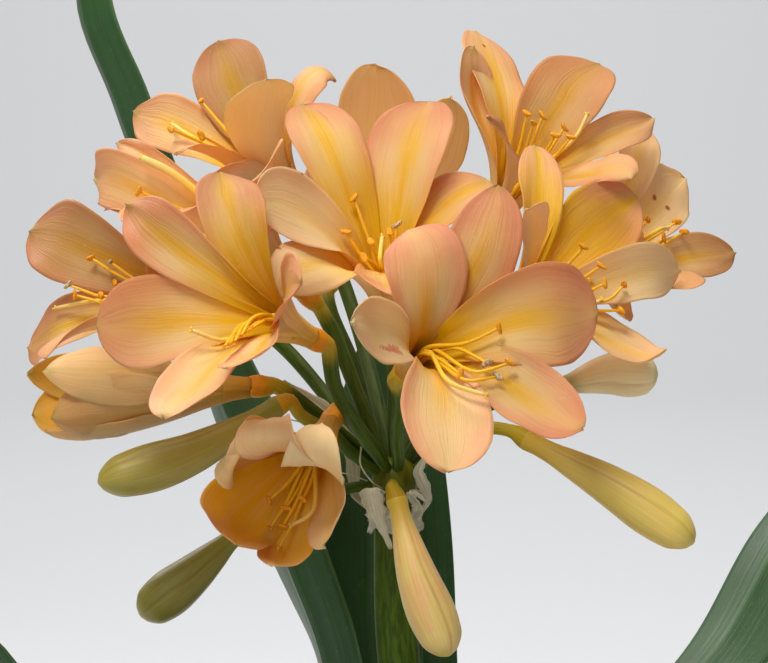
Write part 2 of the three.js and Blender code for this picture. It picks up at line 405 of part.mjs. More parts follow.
      [[-13.05, 73.97, 488.09], [-8.93, 78.6, 495.19], [0.18, 85.7, 503.93], [6.69, 90.33, 512.11]],
      [[-13.37, 74.86, 487.65], [-9.6, 79.8, 494.72], [-2.18, 89.04, 502.88], [4.3, 96.63, 509.07]],
      [[-14.33, 75.25, 487.87], [-10.87, 80.41, 495.01], [-5.55, 90.58, 503.81], [-2.4, 99.33, 510.63]],
      [[-14.96, 74.73, 488.53], [-11.95, 79.81, 495.88], [-8.7, 89.25, 505.98], [-6.93, 95.77, 515.24]],
      [[-14.64, 73.83, 488.97], [-11.25, 78.53, 496.44], [-7.21, 85.06, 508.04], [-4.64, 89.37, 518.4]],
    ],
    style: [[-14.0, 74.35, 488.31], [-10.41, 79.19, 495.52], [-4.68, 86.91, 507.03], [2.97, 97.21, 519.38]],
  },
};

const STALKS = {
  flower_01: [[2.9, -6.28, 435.35], [2.97, -9.9, 438.48], [2.81, -13.93, 442.04], [2.63, -18.25, 445.98], [2.78, -22.71, 450.31], [3.25, -27.17, 454.79], [3.28, -31.55, 458.67], [2.58, -35.74, 461.52], [1.98, -39.56, 463.73]],
  flower_02: [[-0.99, -5.89, 435.03], [-3.26, -9.62, 438.88], [-6.05, -13.65, 443.31], [-8.83, -17.89, 448.1], [-11.14, -22.25, 452.78], [-13.42, -26.63, 457.11], [-15.28, -30.78, 462.03], [-16.14, -34.55, 467.9], [-16.89, -37.95, 473.35]],
  flower_03: [[1.95, -0.3, 438.29], [1.95, -0.38, 441.58], [1.97, -0.42, 445.26], [1.99, -0.45, 449.23], [2.01, -0.5, 453.34], [2.02, -0.59, 457.44], [1.98, -0.75, 461.39], [1.91, -1.01, 465.05], [1.78, -1.39, 468.3]],
  flower_04: [[0.63, 5.28, 436.26], [-1.13, 12.06, 442.93], [-3.04, 20.19, 450.04], [-5.14, 29.18, 457.52], [-7.48, 38.42, 465.23], [-10.09, 47.3, 473.06], [-13.0, 55.22, 480.89], [-16.26, 61.57, 488.59], [-19.89, 65.89, 496.07]],
  flower_05: [[-1.73, 2.26, 437.06], [-3.86, 4.32, 441.62], [-6.05, 7.0, 446.69], [-8.31, 10.08, 452.12], [-10.62, 13.29, 457.74], [-13.01, 16.36, 463.35], [-15.46, 19.04, 468.78], [-17.97, 21.05, 473.83], [-20.56, 22.2, 478.37]],
  flower_06: [[-2.74, 5.36, 434.2], [-6.75, 10.85, 438.09], [-10.9, 17.37, 442.42], [-15.23, 24.54, 447.07], [-19.74, 31.93, 451.87], [-24.45, 39.08, 456.65], [-29.38, 45.54, 461.25], [-34.55, 50.86, 465.49], [-39.96, 54.7, 469.26]],
  flower_07: [[-4.49, 0.17, 435.17], [-7.51, -0.04, 437.73], [-10.73, -0.39, 440.61], [-13.88, -0.88, 443.43], [-16.89, -1.49, 446.02], [-20.34, -2.1, 448.91], [-24.58, -2.63, 452.39], [-28.9, -3.11, 455.6], [-32.71, -3.58, 457.83]],
  flower_08: [[-2.1, -2.55, 436.75], [-3.43, -3.55, 438.71], [-4.94, -4.7, 440.92], [-6.58, -6.02, 443.27], [-8.3, -7.46, 445.61], [-10.01, -9.03, 447.82], [-11.67, -10.69, 449.75], [-13.2, -12.44, 451.27], [-14.55, -14.26, 452.27]],
  flower_09: [[6.27, 1.4, 436.98], [8.21, 2.28, 440.19], [10.34, 3.45, 443.79], [12.63, 4.79, 447.66], [15.01, 6.16, 451.66], [17.44, 7.44, 455.63], [19.86, 8.48, 459.44], [22.21, 9.16, 462.94], [24.44, 9.38, 466.01]],
  flower_10: [[4.55, 4.86, 436.23], [6.97, 9.96, 442.15], [9.61, 15.99, 448.62], [12.42, 22.61, 455.53], [15.36, 29.38, 462.71], [18.38, 35.87, 470.02], [21.43, 41.65, 477.28], [24.46, 46.3, 484.35], [27.42, 49.47, 491.08]],
  flower_11: [[6.41, 6.32, 433.08], [10.86, 13.41, 436.51], [15.61, 21.7, 440.26], [20.63, 30.74, 444.32], [25.86, 39.95, 448.66], [31.25, 48.77, 453.24], [36.75, 56.64, 458.03], [42.3, 63.0, 462.99], [47.86, 67.4, 468.08]],
  flower_12: [[0.34, 7.53, 433.08], [-1.71, 14.66, 437.02], [-4.01, 22.35, 441.35], [-6.13, 30.4, 446.25], [-8.48, 38.73, 453.01], [-11.76, 47.03, 461.14], [-15.33, 54.79, 468.06], [-17.84, 61.76, 473.49], [-18.82, 67.86, 478.64]],
};

const BUDS = {
  bud_1: {
    base: [-30.97, -12.0, 453.37],
    tip: [-82.07, -26.0, 432.94],
    bend: [0, -1, -3.0],
    stalk: [[-4.5, -3.51, 433.79], [-7.72, -4.71, 436.07], [-10.97, -5.83, 438.89], [-13.78, -6.8, 441.88], [-16.35, -7.66, 444.64], [-19.15, -8.48, 446.63], [-22.21, -9.29, 448.08], [-25.29, -10.19, 450.34], [-28.28, -11.26, 454.45]],
  },
  bud_2: {
    base: [-42.4, 2.0, 415.31],
    tip: [-72.25, -4.0, 390.37],
    bend: [0, 0, -1],
    stalk: [[-5.86, 1.56, 427.83], [-9.69, 2.95, 427.25], [-14.52, 3.44, 426.18], [-20.24, 3.49, 424.85], [-25.65, 3.43, 423.44], [-29.73, 3.2, 421.93], [-33.15, 2.87, 420.35], [-36.68, 2.63, 418.78], [-40.12, 2.46, 417.21]],
  },
  bud_3: {
    base: [2.27, -17.0, 427.21],
    tip: [17.17, -34.0, 384.88],
    bend: [-1.5, 0, 0],
    stalk: [[1.64, -8.29, 429.98], [1.6, -9.14, 430.01], [1.53, -10.09, 430.08], [1.46, -11.06, 430.16], [1.43, -11.94, 430.21], [1.44, -12.72, 430.2], [1.42, -13.64, 430.15], [1.36, -14.81, 430.06], [1.34, -15.94, 429.86]],
  },
  bud_4: {
    base: [39.29, -6.0, 442.99],
    tip: [87.12, -22.0, 415.05],
    bend: [0, 0, 1.5],
    stalk: [[9.21, -0.99, 433.99], [12.23, -1.2, 437.24], [15.52, -1.63, 438.95], [19.0, -2.16, 440.0], [22.51, -2.6, 441.65], [25.96, -2.96, 443.98], [29.55, -3.48, 445.47], [33.29, -4.28, 445.35], [36.8, -5.17, 444.44]],
  },
  bud_5: {
    base: [49.46, 12.0, 455.32],
    tip: [79.26, 10.0, 459.71],
    bend: [0, 0, 2],
    stalk: [[8.57, 2.9, 434.16], [11.55, 4.89, 437.18], [15.34, 6.85, 440.61], [20.63, 8.41, 444.39], [26.88, 9.77, 448.57], [32.73, 10.9, 451.9], [37.74, 11.51, 453.27], [42.25, 11.85, 453.9], [46.5, 12.2, 454.88]],
  },
};

const BRACTS = [
  { path: [[-2.6, -6.2, 420], [-4.2, -9.2, 425], [-4.6, -14.5, 429.71], [-3.16, -16.0, 423.0], [0.85, -15.0, 412.09]], half: [2.7, 3.3, 3.1, 1.7, 0.45], turn: 8 },
  { path: [[7.4, -5.4, 420], [8.8, -8.0, 423], [6.61, -11.5, 428.08], [8.32, -13.0, 427.74], [10.61, -14.0, 425.86]], half: [1.6, 1.8, 1.5, 1.0, 0.4], turn: -30 },
  { path: [[-4.6, 3.2, 420], [-9.6, 8.2, 424.5], [-12.03, 9.0, 440.89], [-18.48, 9.0, 449.18], [-30.78, 9.0, 457.76]], half: [2.0, 2.2, 2.3, 2.0, 0.5], turn: 30 },
  { path: [[8.6, -1.4, 420], [11.0, -2.6, 424], [8.35, -9.0, 434.1], [11.79, -10.0, 439.19], [15.81, -10.0, 443.55]], half: [1.7, 2.3, 2.5, 1.9, 0.45], turn: 60 },
];

// ---------------------------------------------------------------- solids
function solidOf(geometry) {
  const g = geometry.index ? geometry.toNonIndexed() : geometry.clone();
  g.deleteAttribute("normal");
  g.deleteAttribute("uv");
  const merged = mergeVertices(g, 1e-4);
  return new wasm.Manifold(
    new wasm.Mesh({
      numProp: 3,
      vertProperties: merged.attributes.position.array,
      triVerts: new Uint32Array(merged.index.array),
    }),
  );
}

function geometryOf(solid) {
  const m = solid.getMesh();
  const g = new THREE.BufferGeometry();
  g.setAttribute("position", new THREE.BufferAttribute(new Float32Array(m.vertProperties), 3));
  g.setIndex(new THREE.BufferAttribute(new Uint32Array(m.triVerts), 1));
  const flat = g.toNonIndexed();
  flat.computeVertexNormals();
  return flat;
}

const join = (solids) => solids.reduce((a, b) => a.add(b));

// A closed skin: a front grid and a back grid of the same size, joined round their rims.
function slab(front, back) {
  const n = front.length,
    m = front[0].length,
    points = [],
    faces = [];
  for (const grid of [front, back]) for (const row of grid) points.push(...row);
  const f = (i, j) => i * m + j,
    b = (i, j) => n * m + i * m + j;
  const quad = (p, q, r, s) => faces.push(p, q, r, p, r, s);
  for (let i = 0; i < n - 1; i++)
    for (let j = 0; j < m - 1; j++) {
      quad(f(i, j), f(i, j + 1), f(i + 1, j + 1), f(i + 1, j));
      quad(b(i, j), b(i + 1, j), b(i + 1, j + 1), b(i, j + 1));
    }
  for (let i = 0; i < n - 1; i++) {
    quad(f(i, 0), f(i + 1, 0), b(i + 1, 0), b(i, 0));
    quad(f(i, m - 1), b(i, m - 1), b(i + 1, m - 1), f(i + 1, m - 1));
  }
  for (let j = 0; j < m - 1; j++) {
    quad(f(0, j), b(0, j), b(0, j + 1), f(0, j + 1));
    quad(f(n - 1, j), f(n - 1, j + 1), b(n - 1, j + 1), b(n - 1, j));
  }
  return bodyFrom(points, faces);
}

function bodyFrom(points, faces) {
  const g = new THREE.BufferGeometry();
  g.setAttribute(
    "position",
    new THREE.BufferAttribute(new Float32Array(points.flatMap((p) => [p.x, p.y, p.z])), 3),
  );
  g.setIndex(faces);
  let s = solidOf(g);
  if (s.volume() < 0) {
    for (let i = 0; i < faces.length; i += 3) [faces[i + 1], faces[i + 2]] = [faces[i + 2], faces[i + 1]];
    g.setIndex(faces);
    s = solidOf(g);
  }
  return s;
}

// Rings of points joined side to side, with a fan over each end.
function loft(rings) {
  const k = rings[0].length,
    points = rings.flat(),
    faces = [];
  for (let i = 0; i < rings.length - 1; i++)
    for (let j = 0; j < k; j++) {
      const a = i * k + j,
        b = i * k + ((j + 1) % k),
        c = b + k,
        d = a + k;
      faces.push(a, b, c, a, c, d);
    }
  for (let j = 1; j < k - 1; j++) {
    faces.push(0, j + 1, j);
    const o = (rings.length - 1) * k;
    faces.push(o, o + j, o + j + 1);
  }
  return bodyFrom(points, faces);
}

// A round stem along a smooth curve. steps: [share of the length, radius].
function stem(points, steps, sides, flat = 1, turn = 0) {
  const curve = new THREE.CatmullRomCurve3(points.map((p) => new THREE.Vector3(...p)), false, "centripetal");
  curve.arcLengthDivisions = 200;
  let side = null;
  const rings = [];
  for (const [t, r] of steps) {
    const p = curve.getPointAt(t),
      along = curve.getTangentAt(t);
    if (!side) {
      side = new THREE.Vector3(0, 1, 0).cross(along);
      if (side.length() < 0.3) side = new THREE.Vector3(0, 0, 1).cross(along);
    }
    side = side.clone().addScaledVector(along, -side.dot(along)).normalize();
    const up = along.clone().cross(side);
    const ring = [];
    for (let j = 0; j < sides; j++) {
      const a = (2 * Math.PI * j) / sides + turn;
      ring.push(p.clone().addScaledVector(side, r * Math.cos(a)).addScaledVector(up, r * flat * Math.sin(a)));
    }
    rings.push(ring);
  }
  return loft(rings);
}

// Smooth interpolation that never overshoots, through the points (xs, ys).
function smooth(x, xs, ys) {
  const n = xs.length,
    h = [],
    d = [],
    m = [];
  for (let i = 0; i < n - 1; i++) {
    h.push(xs[i + 1] - xs[i]);
    d.push((ys[i + 1] - ys[i]) / h[i]);
  }
  for (let i = 0; i < n; i++) {
    if (i === 0) m.push(d[0]);
    else if (i === n - 1) m.push(d[n - 2]);
    else if (d[i - 1] * d[i] <= 0) m.push(0);
    else {
      const w1 = 2 * h[i] + h[i - 1],
        w2 = h[i] + 2 * h[i - 1];
      m.push((w1 + w2) / (w1 / d[i - 1] + w2 / d[i]));
    }
  }
  let i = 0;
  while (i < n - 2 && x > xs[i + 1]) i++;
  const t = (x - xs[i]) / h[i];
  return (
    (1 + 2 * t) * (1 - t) ** 2 * ys[i] +
    t * (1 - t) ** 2 * h[i] * m[i] +
    t * t * (3 - 2 * t) * ys[i + 1] +
    t * t * (t - 1) * h[i] * m[i + 1]
  );
}

function linear(x, xs, ys) {
  if (x <= xs[0]) return ys[0];
  for (let i = 0; i < xs.length - 1; i++)
    if (x <= xs[i + 1]) return ys[i] + ((ys[i + 1] - ys[i]) * (x - xs[i])) / (xs[i + 1] - xs[i]);
  return ys[ys.length - 1];
}

// ---------------------------------------------------------------- flowers
// The flower's own axes: along its axis, and two across it.
function flowerAxes(axis) {
  const a = new THREE.Vector3(...axis).normalize();
  let up = new THREE.Vector3(0, 0, 1);
  if (Math.abs(a.dot(up)) > 0.93) up = new THREE.Vector3(0, 1, 0);
  const e1 = up.clone().cross(a).normalize();
  const e2 = a.clone().cross(e1);
  return [a, e1, e2];
}

const rad = (d) => (d * Math.PI) / 180;

// A tepal's midrib, walked out from the ovary. t: [inner, azimuth, length, half width,
// lean at 1/4, 3/5, 17/20 and the tip, sideways bend, twist, cupping at 0.7 and at the tip].
function tepalRib(origin, axes, t) {
  const [a, e1, e2] = axes,
    N = 61;
  const phi = rad(t[1]);
  const R = e1.clone().multiplyScalar(Math.cos(phi)).addScaledVector(e2, Math.sin(phi));
  const B = a.clone().cross(R);
  const rib = [];
  let at = new THREE.Vector3(...origin).addScaledVector(R, t[0] ? 2 : 2.7),
    last = null;
  for (let i = 0; i < N; i++) {
    const s = i / (N - 1);
    const th = rad(linear(s, [0, 0.25, 0.6, 0.85, 1], [4, t[4], t[5], t[6], t[7]]));
    const be = rad(linear(s, [0, 0.2, 1], [0, 0, t[8]]));
    const ta = rad(linear(s, [0, 0.2, 1], [0, 0, t[9]]));
    const Rp = R.clone().multiplyScalar(Math.cos(be)).addScaledVector(B, Math.sin(be));
    const Bp = B.clone().multiplyScalar(Math.cos(be)).addScaledVector(R, -Math.sin(be));
    const T = a.clone().multiplyScalar(Math.cos(th)).addScaledVector(Rp, Math.sin(th));
    const Nn = a.clone().multiplyScalar(Math.sin(th)).addScaledVector(Rp, -Math.cos(th));
    const W = Bp.clone().multiplyScalar(Math.cos(ta)).addScaledVector(Nn, Math.sin(ta));
    const N2 = Nn.clone().multiplyScalar(Math.cos(ta)).addScaledVector(Bp, -Math.sin(ta));
    if (last) at = at.clone().addScaledVector(last.clone().add(T), (0.5 * t[2]) / (N - 1));
    rib.push({ p: at, W, N: N2 });
    last = T;
  }
  return rib;
}

function onRib(rib, s) {
  const x = Math.min(Math.max(s, 0), 1) * (rib.length - 1),
    i = Math.min(Math.floor(x), rib.length - 2),
    f = x - i;
  const mix = (k) => rib[i][k].clone().lerp(rib[i + 1][k], f);
  return { p: mix("p"), W: mix("W").normalize(), N: mix("N").normalize() };
}

function tepal(origin, axes, t, rows, cols, thick) {
  const rib = tepalRib(origin, axes, t);
  const grid = rows.map((s) => {
    const { p, W, N } = onRib(rib, s);
    const share = s >= 1 ? 0.06 : smooth(s, AT, t[0] ? INNER : OUTER);
    const hw = t[3] * share;
    let ka = linear(s, [0, 0.25, 0.45, 0.7, 1], [1.15, 1, 0.75, t[10], t[11]]);
    if (Math.abs(ka) < 1e-3) ka = 1e-3;
    return cols.map((v) =>
      p
        .clone()
        .addScaledVector(W, (hw * Math.sin(v * ka)) / ka)
        .addScaledVector(N, (hw * (1 - Math.cos(v * ka))) / ka),
    );
  });
  // thickness follows the sheet's own normals
  const n = grid.length,
    m = grid[0].length;
  const normals = grid.map((row, i) =>
    row.map((p, j) => {
      const u = grid[Math.min(i + 1, n - 1)][j].clone().sub(grid[Math.max(i - 1, 0)][j]);
      const w = row[Math.min(j + 1, m - 1)].clone().sub(row[Math.max(j - 1, 0)]);
      return u.cross(w).normalize();
    }),
  );
  const off = (d) => grid.map((row, i) => row.map((p, j) => p.clone().addScaledVector(normals[i][j], d)));
  return slab(off(thick / 2), off(-thick / 2));
}


// ---------------------------------------------------------------- assembly
const clivia = new THREE.Group();
const solids = {};

function add(name, solid, colour, roughness) {
  const parts = solid
    .decompose()
    .filter((s) => s.volume() > 0)
    .sort((a, b) => b.volume() - a.volume());
  solids[name] = parts[0];
  const mesh = new THREE.Mesh(
    geometryOf(parts[0]),
    new THREE.MeshStandardMaterial({ color: colour, roughness, metalness: 0 }),
  );
  mesh.name = name;
  clivia.add(mesh);
}

// ---- pot and potting mix
const wallAt = (z) => POT.footRadius + ((POT.rimRadius - POT.bandStep - POT.footRadius) * z) / POT.height;
const turned = (profile) =>
  solidOf(new THREE.LatheGeometry(profile.map(([r, z]) => new THREE.Vector2(r, z)), POT.sides).rotateX(Math.PI / 2));
const upright = (solid) => (solid.volume() < 0 ? solid.mirror([0, 0, 1]).mirror([0, 0, 1]) : solid);

{
  const bandFoot = POT.height - POT.bandHeight;
  const outer = [
    [0, 0],
    [POT.footRadius - 2, 0],
    [POT.footRadius, 2],
    [wallAt(bandFoot), bandFoot],
    [wallAt(bandFoot) + POT.bandStep, bandFoot + 2],
    [POT.rimRadius, POT.height - 2],
    [POT.rimRadius - 1.5, POT.height],
    [POT.rimRadius - POT.bandStep - POT.wall + 1.5, POT.height],
    [POT.rimRadius - POT.bandStep - POT.wall, POT.height - 2],
    [wallAt(POT.floor) - POT.wall, POT.floor],
    [0, POT.floor],
  ];
  let pot = turned(outer);
  for (let i = 0; i < 4; i++) {
    const a = (Math.PI / 2) * i + Math.PI / 4;
    const hole = new THREE.CylinderGeometry(POT.holeRadius, POT.holeRadius, POT.floor * 3, 12).rotateX(Math.PI / 2);
    hole.translate(POT.holeCircle * Math.cos(a), POT.holeCircle * Math.sin(a), POT.floor / 2);
    pot = pot.subtract(solidOf(hole));
  }
  add("pot", pot, 0x8b8f8a, 0.6);
}

// ---- crown: the short stem that the leaves sit on, long across the leaf fan
const FAN = (FAN_TURN * Math.PI) / 180;
const fan = (u, v, z) => [u * Math.cos(FAN) - v * Math.sin(FAN), u * Math.sin(FAN) + v * Math.cos(FAN), z];
function oval(z, a, b, sides, grow = 0) {
  const ring = [];
  for (let j = 0; j < sides; j++) {
    const q = (2 * Math.PI * j) / sides;
    ring.push(new THREE.Vector3(...fan((a + grow) * Math.cos(q), (b + grow) * Math.sin(q), z)));
  }
  return ring;
}
const crownRings = (grow) =>
  CROWN.map(([z, a, b], i) => oval(i === 0 ? z - grow : z, a, b, 18, grow));
const crown = loft(crownRings(0));
add("crown", crown, 0xb9b98a, 0.7);

// ---- scape: the flattened flower stem and the swollen head at its top
const scapeBody = (grow) => {
  const curve = new THREE.CatmullRomCurve3(SCAPE_PATH.map((p) => new THREE.Vector3(...p)), false, "centripetal");
  const rings = [];
  const N = 8;
  for (let i = 0; i <= N; i++) {
    const t = i / N,
      p = curve.getPointAt(t),
      along = curve.getTangentAt(t);
    const side = new THREE.Vector3(Math.cos(SCAPE_TURN), Math.sin(SCAPE_TURN), 0);
    side.addScaledVector(along, -side.dot(along)).normalize();
    const up = along.clone().cross(side);
    const w = THREE.MathUtils.lerp(SCAPE.baseWidth, SCAPE.width, Math.min(1, t * 1.4)) / 2 + grow;
    const k = THREE.MathUtils.lerp(SCAPE.baseWidth * 0.68, SCAPE.thick, Math.min(1, t * 1.4)) / 2 + grow;
    const ring = [];
    for (let j = 0; j < 10; j++) {
      const q = (2 * Math.PI * j) / 10;
      ring.push(p.clone().addScaledVector(side, w * Math.cos(q)).addScaledVector(up, k * Math.sin(q)));
    }
    rings.push(ring);
  }
  return rings;
};
{
  const head = new THREE.IcosahedronGeometry(HEAD.radius, 1).translate(...HEAD.centre);
  add("scape", loft(scapeBody(0)).add(solidOf(head)), 0x3c5a2c, 0.55);
}

// ---- potting mix, with the hollows that the crown and the scape stand in
{
  const inner = (z) => wallAt(z) - POT.wall - GAP * 1.3;
  let soil = turned([
    [0, POT.floor + GAP],
    [inner(POT.floor + GAP) - 0.2, POT.floor + GAP],
    [inner(SOIL_TOP), SOIL_TOP],
    [72, SOIL_TOP + 1.5],
    [44, SOIL_CROWN - 0.5],
    [0, SOIL_CROWN],
  ]);
  soil = soil.subtract(loft(crownRings(GAP * 1.2)));
  const foot = scapeBody(GAP * 1.2);
  foot[0] = foot[0].map((p) => p.clone().add(new THREE.Vector3(0, 0, -GAP * 1.2)));
  soil = soil.subtract(loft(foot));
  add("potting_mix", soil, 0x3a2c22, 0.95);
}

// ---- leaves
function leaf({ path, half, turn }) {
  const curve = new THREE.CatmullRomCurve3(path.map((p) => new THREE.Vector3(...p)), false, "centripetal");
  curve.arcLengthDivisions = 200;
  const rows = LEAF_ROWS,
    cols = [-1, 0, 1];
  const front = [],
    back = [];
  for (const s of rows) {
    const p = curve.getPointAt(s),
      along = curve.getTangentAt(s);
    const q = rad(linear(s, turn[0], turn[1]));
    const W = new THREE.Vector3(Math.cos(q), Math.sin(q), 0);
    W.addScaledVector(along, -W.dot(along)).normalize();
    const Nn = W.clone().cross(along);
    const hw = smooth(s, half[0], half[1]);
    const f = [],
      b = [];
    for (const v of cols) {
      const dip = LEAF_DIP * hw * (Math.abs(v) - 0.5);
      const at = p.clone().addScaledVector(W, hw * v).addScaledVector(Nn, dip);
      const th = (LEAF_THICK / 2) * (1 - 0.45 * Math.abs(v));
      f.push(at.clone().addScaledVector(Nn, th));
      b.push(at.clone().addScaledVector(Nn, -th));
    }
    front.push(f);
    back.push(b);
  }
  return slab(front, back);
}
for (const [name, data] of Object.entries(LEAVES)) add(name, leaf(data), 0x1f4a30, 0.45);

// ---- flowers, front to back; where one presses on another it gives way to it
const ROWS = [0.03, 0.22, 0.44, 0.68, 0.9, 1];
const COLS = [-1, 0, 1];
function perianth(f, thick) {
  const axes = flowerAxes(f.axis);
  const o = new THREE.Vector3(...f.origin);
  const ring = (h, r) => {
    const list = [];
    for (let j = 0; j < 8; j++) {
      const q = (2 * Math.PI * j) / 8;
      list.push(
        o.clone().addScaledVector(axes[0], h).addScaledVector(axes[1], r * Math.cos(q)).addScaledVector(axes[2], r * Math.sin(q)),
      );
    }
    return list;
  };
  const plug = loft([ring(0, 2.7), ring(3.8, 3.4)]);
  return join([plug, ...f.tepals.map((t) => tepal(f.origin, axes, t, ROWS, COLS, thick))]);
}
const placed = [];
for (const name of FRONT_TO_BACK) {
  const f = FLOWERS[name];
  let body = perianth(f, TEPAL_THICK);
  for (const other of placed) {
    const shared = body.intersect(other.body);
    if (shared.volume() > 0.001) body = body.subtract(other.fat).subtract(other.body);
  }
  placed.push({ name, body, fat: perianth(f, TEPAL_THICK + 2 * GAP) });
}
placed.sort((a, b) => a.name.localeCompare(b.name));
for (const { name, body } of placed) add(name, body, 0xf3a871, 0.5);

// ---- stamens and style, on a small hub inside each flower
for (const [name, s] of Object.entries(STAMENS)) {
  const dir = new THREE.Vector3(...s.hub[1]).sub(new THREE.Vector3(...s.hub[0]));
  const hub = stem([s.hub[0], s.hub[1]], [[0, 1.5], [1, 1.6]], 5);
  const threads = s.filaments.map((p) =>
    stem(p, [[0, 0.42], [0.45, 0.5], [0.9, 0.6], [0.96, 0.95], [1, 0.5]], 3),
  );
  threads.push(stem(s.style, [[0, 0.5], [0.4, 0.55], [0.75, 0.55], [1, 0.6]], 3));
  add(`${name}_stamens`, join([hub, ...threads]), 0xf2b52e, 0.6);
}

// Steps along a path: shares of it for the stalk, and distances back from its end for what it carries.
function shares(path, lead, leadRadius, back, backRadius) {
  const curve = new THREE.CatmullRomCurve3(path.map((p) => new THREE.Vector3(...p)), false, "centripetal");
  curve.arcLengthDivisions = 200;
  const length = curve.getLength(),
    stop = 1 - back[0] / length;
  return [
    ...lead.map((t, i) => [t * stop, leadRadius[i]]),
    ...back.map((d, i) => [1 - d / length, backRadius[i]]),
  ];
}

// ---- flower stalks, each ending in the ovary
for (const [name, path] of Object.entries(STALKS)) {
  const f = FLOWERS[name];
  const a = new THREE.Vector3(...f.axis),
    o = new THREE.Vector3(...f.origin);
  const at = (d) => o.clone().addScaledVector(a, -d);
  const ovary = [OVARY * 0.55, 0.35].map((d) => at(d).toArray());
  const whole = [...path, ...ovary];
  add(`${name}_stalk`, stem(whole, shares(whole, [0.001, 0.16, 0.34, 0.52, 0.7, 0.85], [1.6, 1.95, 2.2, 2.25, 2.3, 2.3], [OVARY + 1, OVARY * 0.75, OVARY * 0.4, OVARY * 0.12, 0.001], [2.3, 3, 3.35, 3.2, 2.5]), 6), 0x6f8a34, 0.5);
}

// ---- unopened buds, each with its stalk
for (const [name, b] of Object.entries(BUDS)) {
  const base = new THREE.Vector3(...b.base),
    tip = new THREE.Vector3(...b.tip);
  const a = tip.clone().sub(base).normalize();
  const mid = base.clone().lerp(tip, 0.5).add(new THREE.Vector3(...b.bend));
  const whole = [...b.stalk, base.toArray(), mid.toArray(), tip.toArray()];
  const body = base.distanceTo(mid) + mid.distanceTo(tip);
  const profile = [[1.06, 1.95], [0.99, 2.9], [0.88, 2.9], [0.72, 4.1], [0.5, 5.9], [0.28, 6.9], [0.12, 6.2], [0.03, 3.4], [0.0001, 1.2]];
  add(name, stem(whole, shares(whole, [0.001, 0.3, 0.6], [1.9, 1.9, 1.9], profile.map(([d]) => d * body), profile.map(([, r]) => r)), 7), 0xc9bf5a, 0.5);
}

// ---- the dry bracts under the head: a collar and the strips hanging from it
{
  const collar = (grow) => {
    const list = [];
    for (let j = 0; j < 12; j++) {
      const q = (2 * Math.PI * j) / 12;
      list.push([Math.cos(q) * (SCAPE.width / 2 + grow), Math.sin(q) * (SCAPE.thick / 2 + grow)]);
    }
    return list;
  };
  const [cx, cy, z0, z1] = COLLAR;
  const ring = (grow, z) => collar(grow).map(([x, y]) => new THREE.Vector3(cx + x, cy + y, z));
  const rings = [ring(0.7, z0), ring(1.6, z0), ring(2.0, (z0 + z1) / 2), ring(1.9, z1), ring(0.9, z1)];
  const band = (() => {
    const k = 12,
      points = rings.flat(),
      faces = [];
    for (let i = 0; i < rings.length; i++)
      for (let j = 0; j < k; j++) {
        const i2 = (i + 1) % rings.length,
          j2 = (j + 1) % k;
        faces.push(i * k + j, i * k + j2, i2 * k + j2, i * k + j, i2 * k + j2, i2 * k + j);
      }
    return bodyFrom(points, faces);
  })();
  const strips = BRACTS.map(({ path, half, turn }) => {
    const curve = new THREE.CatmullRomCurve3(path.map((p) => new THREE.Vector3(...p)), false, "centripetal");
    const front = [],
      back = [];
    for (let i = 0; i <= 4; i++) {
      const s = i / 4,
        p = curve.getPointAt(s),
        along = curve.getTangentAt(s);
      const q = rad(turn);
      const W = new THREE.Vector3(Math.cos(q), Math.sin(q), 0);
      if (Math.abs(W.dot(along)) > 0.9) W.set(0, 0, 1);
      W.addScaledVector(along, -W.dot(along)).normalize();
      const Nn = W.clone().cross(along);
      const hw = linear(s, [0, 0.25, 0.5, 0.75, 1], half);
      front.push([-1, 0, 1].map((v) => p.clone().addScaledVector(W, hw * v).addScaledVector(Nn, 0.35 + 0.5 * Math.abs(v))));
      back.push([-1, 0, 1].map((v) => p.clone().addScaledVector(W, hw * v).addScaledVector(Nn, -0.35 + 0.5 * Math.abs(v))));
    }
    return slab(front, back);
  });
  add("spathe_bracts", join([band, ...strips]), 0xcfcabb, 0.85);
}

export default clivia;
